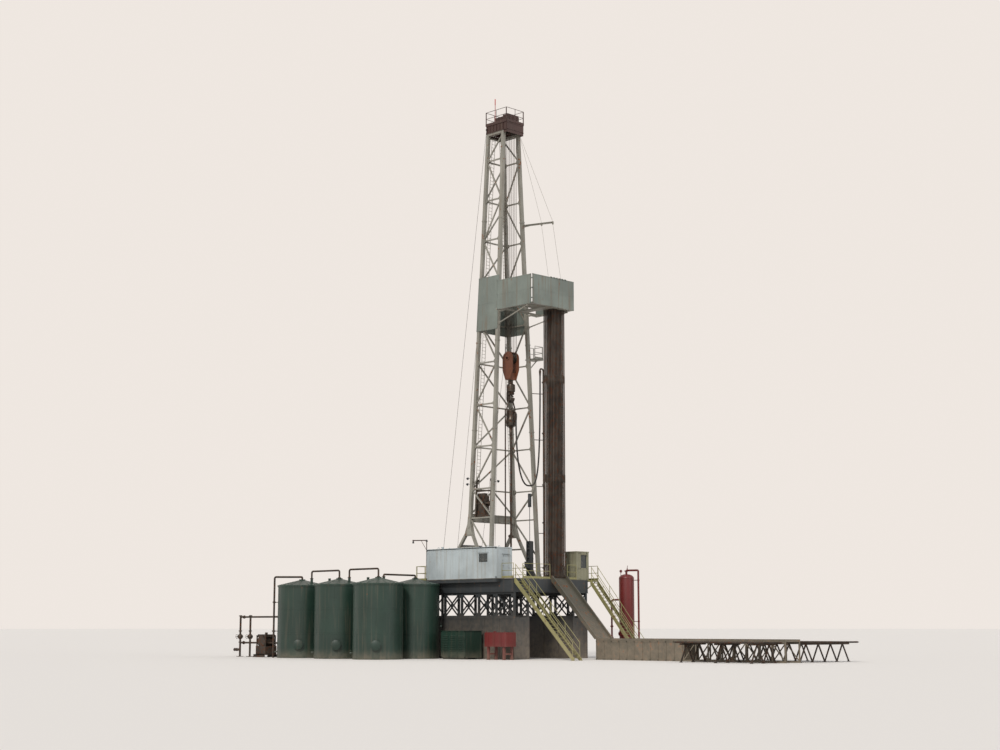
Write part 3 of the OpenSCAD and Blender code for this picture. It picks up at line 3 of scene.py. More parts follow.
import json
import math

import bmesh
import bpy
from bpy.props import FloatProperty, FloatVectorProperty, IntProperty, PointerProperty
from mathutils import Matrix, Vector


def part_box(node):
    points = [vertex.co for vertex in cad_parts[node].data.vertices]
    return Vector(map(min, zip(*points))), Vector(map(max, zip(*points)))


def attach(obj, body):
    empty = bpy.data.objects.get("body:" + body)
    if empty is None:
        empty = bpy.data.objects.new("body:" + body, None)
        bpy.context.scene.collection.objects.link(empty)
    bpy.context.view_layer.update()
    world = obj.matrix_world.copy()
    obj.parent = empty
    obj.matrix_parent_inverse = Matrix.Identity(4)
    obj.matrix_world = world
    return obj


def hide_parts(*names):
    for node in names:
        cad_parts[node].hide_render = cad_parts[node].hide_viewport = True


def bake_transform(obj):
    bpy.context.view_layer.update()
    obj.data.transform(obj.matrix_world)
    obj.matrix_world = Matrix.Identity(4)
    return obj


bl_info = {
    "name": "Drilling rig",
    "version": (1, 0, 0),
    "blender": (4, 5, 0),
    "location": "View3D > Sidebar > Rig",
    "description": "Builds the drilling rig's finishes and its detailed pieces round the packed solids",
    "category": "Object",
}

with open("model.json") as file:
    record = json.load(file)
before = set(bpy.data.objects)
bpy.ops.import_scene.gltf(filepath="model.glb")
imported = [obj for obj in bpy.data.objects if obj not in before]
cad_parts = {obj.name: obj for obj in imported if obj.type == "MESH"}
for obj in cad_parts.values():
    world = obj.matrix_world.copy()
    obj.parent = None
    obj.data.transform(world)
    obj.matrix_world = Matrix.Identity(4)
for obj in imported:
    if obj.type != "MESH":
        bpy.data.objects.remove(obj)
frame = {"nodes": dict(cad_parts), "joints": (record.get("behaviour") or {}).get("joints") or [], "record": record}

X, Y, Z = Vector((1, 0, 0)), Vector((0, 1, 0)), Vector((0, 0, 1))
SHARP_ANGLE = math.radians(35)

# Places of the main pieces, from the frame
JOINTS = {joint["name"]: joint for joint in frame["joints"]}
WELL = Vector(JOINTS["rotary_spin"]["pos_m"])
WELL_FORWARD = 0.45
MAST = Vector((WELL.x - WELL_FORWARD, WELL.y, 0))
FLOOR_Z = WELL.z
SUB_LOW, SUB_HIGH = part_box("substructure_box_near")[0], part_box("substructure_box_far")[1]
FLOOR_INSET = 0.05
FLOOR_REAR, FLOOR_FRONT = SUB_LOW.x, SUB_HIGH.x
FLOOR_NEAR, FLOOR_FAR = SUB_LOW.y - FLOOR_INSET, SUB_HIGH.y + FLOOR_INSET
CROWN_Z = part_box("crown_frame")[0].z
BOARD_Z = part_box("racking_board")[1].z

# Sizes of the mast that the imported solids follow
FLOOR_DEPTH, TOP_DEPTH = 0.675, 0.4575
LEG = 0.14
TOP_HALF = 0.445
BASE_HALF = 1.4225
BRACE = 0.056
RINGS = 9
TOP_RING_DROP = 1.24
SPREADER_H = 2.55
LAST_BAY = 0.68
BAY = (CROWN_Z - FLOOR_Z - TOP_RING_DROP - SPREADER_H) / (RINGS - 1 + LAST_BAY)
LEAN = math.atan((BASE_HALF - TOP_HALF) / (CROWN_Z - FLOOR_Z))
TUCK = math.atan((FLOOR_DEPTH - TOP_DEPTH) / (CROWN_Z - FLOOR_Z))
RAIL_H = 0.6
RAIL_SIDE = 0.024
STAIR_WIDTH = 0.45
GAP = 0.0003


def at(x, y, z):
    """A point given from the mast's axis at ground level."""
    return Vector((MAST.x + x, MAST.y + y, z))


FIRST_TANK = at(-6.55, -5.45, 0)


def half_w(z):
    """Half width between the legs' axes at a height."""
    return BASE_HALF - (z - FLOOR_Z) * math.tan(LEAN)


def half_d(z):
    """Half depth between the legs' axes at a height."""
    return FLOOR_DEPTH - (z - FLOOR_Z) * math.tan(TUCK)


def ring_z(k):
    """Height of a ring of the mast, counted from the top."""
    return CROWN_Z - TOP_RING_DROP - k * BAY


def slope(z):
    """Distance up a leaning side for a height."""
    return (z - FLOOR_Z) / math.cos(LEAN)


def side_plane(side):
    """Leaning plane of a mast side: X along its depth, Z up the slope, Y through it."""
    return Matrix.Translation(at(0, side * BASE_HALF, FLOOR_Z)) @ Matrix.Rotation(side * LEAN, 4, "X")


def back_plane():
    """Leaning plane of the mast's back: Y along its width, Z up the slope, X through it."""
    return Matrix.Translation(at(-FLOOR_DEPTH, 0, FLOOR_Z)) @ Matrix.Rotation(TUCK, 4, "Y")


def length(name, description, default):
    return FloatProperty(name=name, description=description, default=default, unit="LENGTH")


def paint_colour(name, description, default):
    return FloatVectorProperty(name=name, description=description, subtype="COLOR", size=3, default=default)


class RigSizes(bpy.types.PropertyGroup):
    """Sizes of the small pieces, in metres."""

    rail_radius: length("Rail radius", "Radius of a handrail tube", 0.0115)
    bolt_radius: length("Bolt radius", "Radius over the corners of a bolt head", 0.011)
    rope_radius: length("Rope radius", "Radius of a drilling line", 0.009)
    rib_pitch: length("Rib pitch", "Spacing of the ribs on the wind walls", 0.0795)
    pipe_sides: IntProperty(
        name="Pipe sides", description="Number of sides on a drill pipe", default=10, min=6, max=24
    )


class RigColours(bpy.types.PropertyGroup):
    """Colours of the paints, before wear."""

    mast: paint_colour("Mast", "Weathered paint of the mast", (0.26, 0.247, 0.208))
    house: paint_colour("Doghouse", "Pale sheet of the doghouse", (0.43, 0.48, 0.49))
    wall: paint_colour("Wind walls", "Ribbed sheet round the mast", (0.175, 0.20, 0.175))
    rails: paint_colour("Rails and stairs", "Faded yellow-green paint", (0.27, 0.25, 0.105))
    crown: paint_colour("Crown", "Dark red-brown paint", (0.052, 0.022, 0.017))
    tanks: paint_colour("Tanks", "Dark green paint", (0.014, 0.036, 0.025))
    vessel: paint_colour("Separator", "Deep red paint", (0.125, 0.014, 0.013))
    hoist: paint_colour("Hoist", "Rusty orange-brown paint", (0.16, 0.05, 0.022))


# Finishes


class Finish:
    """A material, with short ways to add nodes to it."""

    def __init__(self, name, roughness=0.5, metallic=0.0):
        self.material = bpy.data.materials.new(name)
        self.material.use_nodes = True
        self.nodes = self.material.node_tree.nodes
        self.links = self.material.node_tree.links
        self.shader = self.nodes["Principled BSDF"]
        self.shader.inputs["Roughness"].default_value = roughness
        self.shader.inputs["Metallic"].default_value = metallic
        self.coords = self.nodes.new("ShaderNodeTexCoord").outputs["Object"]
        split = self.nodes.new("ShaderNodeSeparateXYZ")
        self.links.new(self.coords, split.inputs[0])
        self.height = split.outputs["Z"]

    def put(self, value, socket):
        """Sets a socket to a number or colour, or links it to another socket."""
        if isinstance(value, bpy.types.NodeSocket):
            self.links.new(value, socket)
        elif isinstance(value, (int, float)):
            socket.default_value = value
        else:
            socket.default_value = (*value, 1.0)[:4]

    def stretched(self, scale, turn=(0, 0, 0)):
        mapping = self.nodes.new("ShaderNodeMapping")
        mapping.inputs["Scale"].default_value = scale
        mapping.inputs["Rotation"].default_value = turn
        self.links.new(self.coords, mapping.inputs["Vector"])
        return mapping.outputs["Vector"]

    def noise(self, scale, detail=6.0, stretch=None, roughness=0.55):
        texture = self.nodes.new("ShaderNodeTexNoise")
        texture.inputs["Scale"].default_value = scale
        texture.inputs["Detail"].default_value = detail
        texture.inputs["Roughness"].default_value = roughness
        vector = self.stretched(stretch) if stretch else self.coords
        self.links.new(vector, texture.inputs["Vector"])
        return texture.outputs["Fac"]

    def wave(self, scale, turn=(0, 0, 0), direction="X", distortion=0.0):
        texture = self.nodes.new("ShaderNodeTexWave")
        texture.bands_direction = direction
        texture.inputs["Scale"].default_value = scale
        texture.inputs["Distortion"].default_value = distortion
        self.links.new(self.stretched((1, 1, 1), turn), texture.inputs["Vector"])
        return texture.outputs["Fac"]

    def ramp(self, value, low, high, out_low=0.0, out_high=1.0):
        node = self.nodes.new("ShaderNodeMapRange")
        node.interpolation_type = "SMOOTHSTEP"
        self.put(value, node.inputs["Value"])
        limits = {"From Min": low, "From Max": high, "To Min": out_low, "To Max": out_high}
        for label, number in limits.items():
            node.inputs[label].default_value = number
        return node.outputs["Result"]

    def math(self, kind, a, b):
        node = self.nodes.new("ShaderNodeMath")
        node.operation = kind
        self.put(a, node.inputs[0])
        self.put(b, node.inputs[1])
        return node.outputs[0]

    def mix(self, share, a, b):
        node = self.nodes.new("ShaderNodeMix")
        node.data_type = "RGBA"
        self.put(share, node.inputs[0])
        self.put(a, node.inputs[6])
        self.put(b, node.inputs[7])
        return node.outputs[2]

    def bump(self, height, strength, distance=0.004):
        node = self.nodes.new("ShaderNodeBump")
        node.inputs["Strength"].default_value = strength
        node.inputs["Distance"].default_value = distance
        self.put(height, node.inputs["Height"])
        self.put(node.outputs["Normal"], self.shader.inputs["Normal"])

    def done(self, colour, roughness=None):
        self.put(colour, self.shader.inputs["Base Color"])
        if roughness is not None:
            self.put(roughness, self.shader.inputs["Roughness"])
        return self.material


def shade(colour, factor):
    return tuple(min(1.0, part * factor) for part in colour)


RUST_DARK, RUST_LIGHT = (0.10, 0.032, 0.013), (0.26, 0.10, 0.035)
DUST = (0.36, 0.28, 0.20)


def worn_paint(
    name, colour, roughness=0.5, rust=0.5, streaks=0.4, dust=0.5, dust_top=3.0, stain=(0.12, 0.085, 0.055)
):
    """Paint with faded patches, runs of dirt, rusted chips and dust near the ground."""
    paint = Finish(name, roughness)
    tone = paint.noise(0.7, 5.0)
    patches = paint.noise(5.0, 9.0, roughness=0.62)
    runs = paint.noise(2.6, 7.0, stretch=(3.4, 3.4, 0.16))
    grain = paint.noise(55.0, 4.0)
    body = paint.mix(paint.ramp(tone, 0.35, 0.65), shade(colour, 0.82), shade(colour, 1.1))
    dirty = paint.mix(paint.ramp(runs, 0.5, 0.72, 0.0, streaks), body, stain)
    chips = paint.math("ADD", paint.math("MULTIPLY", patches, 0.75), paint.math("MULTIPLY", runs, 0.25))
    edge = 0.7 - 0.14 * rust
    mask = paint.ramp(chips, edge, edge + 0.035)
    rusted = paint.mix(paint.ramp(grain, 0.3, 0.7), RUST_DARK, RUST_LIGHT)
    colours = paint.mix(mask, dirty, rusted)
    near_ground = paint.ramp(paint.height, dust_top, 0.0, 0.0, dust)
    low = paint.math("MULTIPLY", near_ground, paint.ramp(patches, 0.25, 0.75, 0.35, 1.0))
    dusty = paint.mix(low, colours, DUST)
    fine, pits = paint.math("MULTIPLY", grain, 0.35), paint.math("MULTIPLY", mask, -0.8)
    paint.bump(paint.math("ADD", fine, pits), 0.45, 0.0025)
    rough = paint.ramp(paint.math("MAXIMUM", mask, low), 0.0, 1.0, roughness, 0.9)
    return paint.done(dusty, rough)


def chequer_plate(name, colour):
    """Floor plate with raised diamonds, worn bright where people walk."""
    plate = Finish(name, 0.55, 0.3)
    one_way, other_way = [plate.wave(9.0, (0, 0, math.radians(turn))) for turn in (45, -45)]
    bars = plate.math("MULTIPLY", one_way, other_way)
    worn = plate.noise(1.6, 8.0)
    grime = plate.noise(7.0, 8.0)
    base = plate.mix(plate.ramp(worn, 0.42, 0.66), colour, (0.24, 0.21, 0.17))
    plate.bump(plate.math("ADD", bars, plate.math("MULTIPLY", grime, 0.4)), 0.6, 0.004)
    soiled = plate.mix(plate.ramp(grime, 0.5, 0.68, 0.0, 0.8), base, (0.055, 0.042, 0.03))
    return plate.done(soiled, plate.ramp(worn, 0.3, 0.7, 0.75, 0.42))


def bare_steel(name, colour, roughness=0.42, metallic=0.75, turn=None):
    """Oily or scaled steel, with fine marks and rust in the hollows."""
    steel = Finish(name, roughness, metallic)
    cloud = steel.noise(2.2, 7.0)
    marks = steel.noise(26.0, 6.0, stretch=(1.0, 1.0, 0.25))
    rust = steel.ramp(steel.noise(8.0, 9.0, roughness=0.65), 0.52, 0.62, 0.0, 0.75)
    base = steel.mix(steel.ramp(cloud, 0.35, 0.65), shade(colour, 0.72), shade(colour, 1.35))
    height = marks
    if turn is not None:
        height = steel.math("ADD", marks, steel.math("MULTIPLY", steel.wave(95.0, turn, "Z"), 3.0))
    steel.bump(height, 0.4, 0.0015)
    shown = steel.mix(rust, base, (0.13, 0.05, 0.022))
    return steel.done(shown, steel.ramp(rust, 0.0, 0.75, roughness, 0.85))


def rubber(name, colour):
    """Dusty black rubber with a wrapped cover."""
    cover = Finish(name, 0.72)
    wrap = cover.wave(34.0, (0, 0, 0), "Z", 0.4)
    cloud = cover.noise(6.0, 6.0)
    cover.bump(wrap, 0.35, 0.002)
    return cover.done(cover.mix(cover.ramp(cloud, 0.45, 0.75, 0.0, 0.5), colour, (0.12, 0.10, 0.08)))


def dusty_glass(name, colour):
    """Dark window glass with dust towards its edges."""
    glass = Finish(name, 0.09)
    film = glass.noise(5.0, 7.0)
    glass.shader.inputs["Specular IOR Level"].default_value = 0.7
    shown = glass.mix(glass.ramp(film, 0.5, 0.8, 0.0, 0.35), colour, (0.22, 0.19, 0.15))
    return glass.done(shown, glass.ramp(film, 0.4, 0.8, 0.07, 0.45))


def make_finishes(colours):
    """All materials, by the record's slot name."""
    # Colour, roughness, rust, streaks, dust, height of the dust and colour of the stains
    painted = {
        "dark_steel": ((0.032, 0.037, 0.04), 0.5, 0.55, 0.35, 0.5, 2.4, (0.09, 0.07, 0.05)),
        "mast_paint": (colours.mast, 0.55, 0.75, 0.5, 0.2),
        "crown_paint": (colours.crown, 0.55, 0.5, 0.3, 0.2),
        "rail_paint": (colours.rails, 0.5, 0.7, 0.3, 0.4, 2.0),
        "house_panel": (colours.house, 0.42, 0.25, 0.5, 0.2, 5.0, (0.30, 0.27, 0.22)),
        "wall_sheet": (colours.wall, 0.5, 0.45, 0.85, 0.2, 3.0, (0.15, 0.12, 0.085)),
        "cabin_paint": ((0.25, 0.24, 0.16), 0.5, 0.4, 0.45, 0.3),
        "tank_paint": (colours.tanks, 0.42, 0.3, 0.4, 0.3, 0.45, (0.10, 0.085, 0.06)),
        "vessel_red": (colours.vessel, 0.4, 0.3, 0.35, 0.4, 0.7, (0.09, 0.03, 0.02)),
        "hoist_rust": (colours.hoist, 0.55, 0.9, 0.45, 0.1, 3.0, (0.10, 0.05, 0.03)),
        # Steel of the ramp, catwalk and mat: its own beige-grey darkened by about a third, as painted shade
        "ramp_steel": ((0.085, 0.08, 0.06), 0.5, 0.8, 0.5, 0.5, 2.5),
        "aerial_red": ((0.52, 0.045, 0.04), 0.4, 0.3, 0.2, 0.0),
    }
    finishes = {slot: worn_paint(slot, *values) for slot, values in painted.items()}
    finishes["deck_plate"] = chequer_plate("deck_plate", (0.085, 0.083, 0.075))
    finishes["greased_steel"] = bare_steel("greased_steel", (0.062, 0.05, 0.04), 0.36, 0.7)
    finishes["pipe_steel"] = bare_steel("pipe_steel", (0.052, 0.04, 0.031), 0.55, 0.55)
    finishes["wire_rope"] = bare_steel("wire_rope", (0.075, 0.066, 0.058), 0.5, 0.6, (0.5, 0.5, 0))
    finishes["hose_rubber"] = rubber("hose_rubber", (0.026, 0.024, 0.022))
    finishes["window_glass"] = dusty_glass("window_glass", (0.022, 0.03, 0.03))
    return finishes


FINISHES = {}

# Mesh building


def angles(count, start=0.0, turn=2 * math.pi):
    return [start + turn * i / count for i in range(count)]


def around(angle, radius=1.0, z=0.0):
    """Point at an angle round the Z axis."""
    return Vector((radius * math.cos(angle), radius * math.sin(angle), z))


def spread(start, end, count):
    """Evenly spaced numbers, with both ends."""
    return [start + (end - start) * i / (count - 1) for i in range(count)]


def arc(centre, reach, start, turn, steps):
    """Pairs (across, up) on an arc of an ellipse, with both ends."""
    (x, z), (wide, tall) = centre, reach
    return [(x + wide * math.cos(a), z + tall * math.sin(a)) for a in spread(start, start + turn, steps + 1)]


def upright(direction, level=None):
    """Turn that takes Z to a direction, with X kept level."""
    z = direction.normalized()
    x = level or (Z.cross(z) if abs(z.z) < 0.999 else X)
    x = (x - x.dot(z) * z).normalized()
    return Matrix((x, z.cross(x), z)).transposed()


def rounded(path, radius, steps=5):
    """A path whose inner corners are arcs of a radius."""
    points = [Vector(p) for p in path]
    out = [points[0]]
    for before, corner, after in zip(points, points[1:], points[2:]):
        a, b = (before - corner).normalized(), (after - corner).normalized()
        half = math.acos(max(-1.0, min(1.0, a.dot(b)))) / 2
        if half > math.radians(89):
            continue
        reach = min(radius / math.tan(half), (before - corner).length * 0.49, (after - corner).length * 0.49)
        start, end = corner + a * reach, corner + b * reach
        centre = corner + (a + b).normalized() * (reach / math.cos(half))
        size = reach * math.tan(half)
        for i in range(steps + 1):
            p = start.lerp(end, i / steps)
            out.append(centre + (p - centre).normalized() * size)
    return out + [points[-1]]


class Shape:
    """Collects closed solids into one mesh, through a frame of its own."""

    def __init__(self, place=None):
        self.place = place or Matrix.Identity(4)
        self.points = []
        self.faces = []

    def rings(self, rings, closed=False):
        """Joins rings of points into a skin; a ring of one point is a pole."""
        starts = []
        for ring in rings:
            starts.append(len(self.points))
            self.points.extend(self.place @ Vector(p) for p in ring)
        pairs = [(i - 1, i) for i in range(1, len(rings))]
        if closed:
            pairs.append((len(rings) - 1, 0))
        for i, j in pairs:
            a, b, count = starts[i], starts[j], max(len(rings[i]), len(rings[j]))
            for k in range(count):
                n = (k + 1) % count
                if len(rings[i]) == 1:
                    self.faces.append([a, b + n, b + k])
                elif len(rings[j]) == 1:
                    self.faces.append([a + k, a + n, b])
                else:
                    self.faces.append([a + k, a + n, b + n, b + k])
        if not closed:
            for start, ring in ((starts[0], rings[0]), (starts[-1], rings[-1])):
                if len(ring) > 2:
                    self.faces.append(list(range(start, start + len(ring))))

    def box(self, corner, opposite):
        """Box between two opposite corners, in either order."""
        (x0, x1), (y0, y1), (z0, z1) = [sorted(pair) for pair in zip(corner, opposite)]
        self.rings([[(x0, y0, z), (x1, y0, z), (x1, y1, z), (x0, y1, z)] for z in (z0, z1)])

    def bar(self, start, end, width, height):
        """Square bar: width is level, height is square to it."""
        start, end = Vector(start), Vector(end)
        turn = upright(end - start)
        x, y = width / 2, height / 2
        corners = [turn @ Vector(c) for c in ((-x, -y, 0), (x, -y, 0), (x, y, 0), (-x, y, 0))]
        self.rings([[p + c for c in corners] for p in (start, end)])

    def rod(self, start, end, radius, sides=12, end_radius=None):
        start, end = Vector(start), Vector(end)
        turn = upright(end - start)
        rings = []
        for p, r in ((start, radius), (end, radius if end_radius is None else end_radius)):
            rings.append([p + turn @ around(a, r) for a in angles(sides)])
        self.rings(rings)

    def pipe(self, path, radius, sides=12, closed=False):
        """Round tube swept along a path without twist."""
        path = [Vector(p) for p in path]
        count = len(path)
        rings, level = [], None
        for i, p in enumerate(path):
            before = path[i - 1] if i or closed else p
            after = path[(i + 1) % count] if i < count - 1 or closed else p
            turn = upright(after - before, level)
            level = turn @ X
            rings.append([p + turn @ around(a, radius) for a in angles(sides)])
        self.rings(rings, closed)

    def lathe(self, profile, origin=(0, 0, 0), axis=Z, sides=24, closed=False):
        """Turned solid from (radius, height) pairs along an axis."""
        origin, turn = Vector(origin), upright(axis)
        rings = []
        for radius, height in profile:
            if radius < 1e-6:
                rings.append([origin + turn @ Vector((0, 0, height))])
            else:
                rings.append([origin + turn @ around(a, radius, height) for a in angles(sides)])
        self.rings(rings, closed)

    def collar(self, origin, axis, inner, outer, low, high, sides):
        """Square-edged ring round an axis."""
        self.lathe([(inner, low), (outer, low), (outer, high), (inner, high)], origin, axis, sides, True)

    def disc(self, origin, axis, radius, low, high, sides):
        """Square-edged disc on an axis."""
        self.lathe([(0.0, low), (radius, low), (radius, high), (0.0, high)], origin, axis, sides)

    def prism(self, outline, depth):
        """A flat outline of 3D points, pushed along a vector."""
        outline, depth = [Vector(p) for p in outline], Vector(depth)
        self.rings([outline, [p + depth for p in outline]])

    def wheel(self, centre, axis, radius, rim=0.006, spokes=4):
        """Valve handwheel."""
        centre, turn = Vector(centre), upright(Vector(axis))
        self.pipe([centre + turn @ around(a, radius) for a in angles(20)], rim, 6, True)
        for a in angles(spokes):
            self.rod(centre, centre + turn @ around(a, radius), rim * 0.7, 6)
        self.rod(centre - turn @ Z * rim * 2, centre + turn @ Z * rim * 2, rim * 2, 8)

    def mesh(self, name):
        made = bpy.data.meshes.new(name)
        made.from_pydata(self.points, [], self.faces)
        work = bmesh.new()
        work.from_mesh(made)
        bmesh.ops.recalc_face_normals(work, faces=work.faces)
        work.to_mesh(made)
        work.free()
        return made


class Places:
    """Points that copies are set on, each with its turn and stretch."""

    def __init__(self):
        self.items = []

    def add(self, point, turn=None, stretch=(1, 1, 1)):
        self.items.append((Vector(point), (turn or Matrix.Identity(3)).to_euler(), stretch))

    def face(self, point, direction, place=None):
        """A copy whose Z points along a direction, both given in a frame."""
        if place is not None:
            point, direction = place @ Vector(point), place.to_3x3() @ Vector(direction)
        self.add(point, upright(Vector(direction)))

    def mesh(self):
        made = bpy.data.meshes.new("places")
        made.from_pydata([item[0] for item in self.items], [], [])
        for name, index in (("turn", 1), ("stretch", 2)):
            layer = made.attributes.new(name, "FLOAT_VECTOR", "POINT")
            layer.data.foreach_set("vector", [v for item in self.items for v in item[index]])
        return made


# Node trees that make what repeats


def new_tree(name, inputs):
    """Empty geometry tree with named inputs; returns it with its input and output nodes."""
    tree = bpy.data.node_groups.new(name, "GeometryNodeTree")
    tree.interface.new_socket("Geometry", in_out="INPUT", socket_type="NodeSocketGeometry")
    for label, kind, value in inputs:
        socket = tree.interface.new_socket(label, in_out="INPUT", socket_type=kind)
        if value is not None:
            socket.default_value = value
    tree.interface.new_socket("Geometry", in_out="OUTPUT", socket_type="NodeSocketGeometry")
    return tree, tree.nodes.new("NodeGroupInput").outputs, tree.nodes.new("NodeGroupOutput").inputs


def end_tree(tree, geometry, given, result):
    """Ends a tree in Realize Instances and Set Material."""
    real = tree.nodes.new("GeometryNodeRealizeInstances")
    coat = tree.nodes.new("GeometryNodeSetMaterial")
    tree.links.new(geometry, real.inputs["Geometry"])
    tree.links.new(real.outputs["Geometry"], coat.inputs["Geometry"])
    tree.links.new(given["Material"], coat.inputs["Material"])
    tree.links.new(coat.outputs["Geometry"], result["Geometry"])
    return tree


def point_vector(tree, name):
    """Reads a vector that each point carries."""
    node = tree.nodes.new("GeometryNodeInputNamedAttribute")
    node.data_type = "FLOAT_VECTOR"
    node.inputs["Name"].default_value = name
    return node.outputs["Attribute"]


def placed(tree, unit, given):
    """Sets a unit on every point, turned and stretched as the point says."""
    spread = tree.nodes.new("GeometryNodeInstanceOnPoints")
    turn = tree.nodes.new("FunctionNodeEulerToRotation")
    tree.links.new(given["Geometry"], spread.inputs["Points"])
    tree.links.new(unit, spread.inputs["Instance"])
    tree.links.new(point_vector(tree, "turn"), turn.inputs["Euler"])
    tree.links.new(turn.outputs["Rotation"], spread.inputs["Rotation"])
    tree.links.new(point_vector(tree, "stretch"), spread.inputs["Scale"])
    return spread.outputs["Instances"]


def copies_tree():
    """A unit object on every point."""
    tree, given, result = new_tree(
        "Copies", [("Unit", "NodeSocketObject", None), ("Material", "NodeSocketMaterial", None)]
    )
    unit = tree.nodes.new("GeometryNodeObjectInfo")
    tree.links.new(given["Unit"], unit.inputs["Object"])
    return end_tree(tree, placed(tree, unit.outputs["Geometry"], given), given, result)


def bolts_tree():
    """A hexagon bolt head on every point."""
    tree, given, result = new_tree(
        "Bolts",
        [
            ("Radius", "NodeSocketFloat", 0.011),
            ("Height", "NodeSocketFloat", 0.009),
            ("Material", "NodeSocketMaterial", None),
        ],
    )
    head = tree.nodes.new("GeometryNodeMeshCylinder")
    head.inputs["Vertices"].default_value = 6
    tree.links.new(given["Radius"], head.inputs["Radius"])
    tree.links.new(given["Height"], head.inputs["Depth"])
    return end_tree(tree, placed(tree, head.outputs["Mesh"], given), given, result)


def tubes_tree():
    """A round tube along every edge line."""
    tree, given, result = new_tree(
        "Tubes",
        [
            ("Radius", "NodeSocketFloat", 0.0115),
            ("Sides", "NodeSocketInt", 8),
            ("Material", "NodeSocketMaterial", None),
        ],
    )
    line = tree.nodes.new("GeometryNodeMeshToCurve")
    ring = tree.nodes.new("GeometryNodeCurvePrimitiveCircle")
    sweep = tree.nodes.new("GeometryNodeCurveToMesh")
    sweep.inputs["Fill Caps"].default_value = True
    tree.links.new(given["Geometry"], line.inputs["Mesh"])
    tree.links.new(given["Sides"], ring.inputs["Resolution"])
    tree.links.new(given["Radius"], ring.inputs["Radius"])
    tree.links.new(line.outputs["Curve"], sweep.inputs["Curve"])
    tree.links.new(ring.outputs["Curve"], sweep.inputs["Profile Curve"])
    return end_tree(tree, sweep.outputs["Mesh"], given, result)


def winding_tree():
    """A layer of rope wound round a drum, on every point."""
    tree, given, result = new_tree(
        "Winding",
        [
            ("Drum Radius", "NodeSocketFloat", 0.2),
            ("Width", "NodeSocketFloat", 0.6),
            ("Turns", "NodeSocketFloat", 30.0),
            ("Rope Radius", "NodeSocketFloat", 0.009),
            ("Material", "NodeSocketMaterial", None),
        ],
    )
    coil = tree.nodes.new("GeometryNodeCurveSpiral")
    coil.inputs["Resolution"].default_value = 20
    ring = tree.nodes.new("GeometryNodeCurvePrimitiveCircle")
    ring.inputs["Resolution"].default_value = 6
    sweep = tree.nodes.new("GeometryNodeCurveToMesh")
    sweep.inputs["Fill Caps"].default_value = True
    for label in ("Start Radius", "End Radius"):
        tree.links.new(given["Drum Radius"], coil.inputs[label])
    tree.links.new(given["Width"], coil.inputs["Height"])
    tree.links.new(given["Turns"], coil.inputs["Rotations"])
    tree.links.new(given["Rope Radius"], ring.inputs["Radius"])
    tree.links.new(coil.outputs["Curve"], sweep.inputs["Curve"])
    tree.links.new(ring.outputs["Curve"], sweep.inputs["Profile Curve"])
    return end_tree(tree, placed(tree, sweep.outputs["Mesh"], given), given, result)


TREES = {}


def grow(tree_name, mesh, **values):
    """Runs one of the trees on a mesh of points or lines, and returns a plain mesh."""
    tree = TREES[tree_name]
    base = bpy.data.objects.new("base", mesh)
    bpy.context.scene.collection.objects.link(base)
    modifier = base.modifiers.new(tree_name, "NODES")
    modifier.node_group = tree
    wanted = {name.replace("_", " ").title(): value for name, value in values.items()}
    for socket in tree.interface.items_tree:
        if socket.in_out == "INPUT" and socket.name in wanted:
            modifier[socket.identifier] = wanted[socket.name]
    graph = bpy.context.evaluated_depsgraph_get()
    made = bpy.data.meshes.new_from_object(base.evaluated_get(graph), depsgraph=graph)
    bpy.data.objects.remove(base)
    bpy.data.meshes.remove(mesh)
    return made


def tubes(lines, radius, sides=8):
    """Tubes along a list of (start, end) lines."""
    mesh = bpy.data.meshes.new("lines")
    points = [p for line in lines for p in line]
    mesh.from_pydata(points, [(i, i + 1) for i in range(0, len(points), 2)], [])
    return grow("tubes", mesh, radius=radius, sides=sides)


def copies(unit, places):
    """Copies of a Shape on places."""
    mesh = unit.mesh("unit")
    holder = bpy.data.objects.new("unit", mesh)
    bpy.context.scene.collection.objects.link(holder)
    made = grow("copies", places.mesh(), unit=holder)
    bpy.data.objects.remove(holder)
    bpy.data.meshes.remove(mesh)
    return made


def bolts(places, radius=None, height=0.009):
    """Hexagon heads on places."""
    radius = radius or bpy.context.scene.rig_sizes.bolt_radius
    return grow("bolts", places.mesh(), radius=radius, height=height)


def rail_tubes(lines):
    return tubes(lines, bpy.context.scene.rig_sizes.rail_radius)


def edge_plates(shape, low, high, bottom, top, t):
    """Four upright plates just inside the edges of a plan, of a thickness t."""
    for y in (low.y, high.y - t):
        shape.box((low.x, y, bottom), (high.x, y + t, top))
    for x in (low.x, high.x - t):
        shape.box((x, low.y, bottom), (x + t, high.y, top))


def piece(name, slot, shape=None, grown=(), body="root", replaces=(), blend=None):
    """One finished piece from a Shape and grown meshes, on its body."""
    work = bmesh.new()
    for part in ([shape.mesh("part")] if shape is not None and shape.faces else []) + list(grown):
        work.from_mesh(part)
        bpy.data.meshes.remove(part)
    mesh = bpy.data.meshes.new(name)
    for face in work.faces:
        face.material_index = 0
        face.smooth = True
    work.to_mesh(mesh)
    work.free()
    mesh.materials.clear()
    mesh.materials.append(FINISHES[slot])
    mesh.set_sharp_from_angle(angle=SHARP_ANGLE)
    made = bpy.data.objects.new(name, mesh)
    bpy.context.scene.collection.objects.link(made)
    if blend:
        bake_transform(made)
    else:
        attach(made, body)
    if replaces:
        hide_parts(*replaces)
    return made


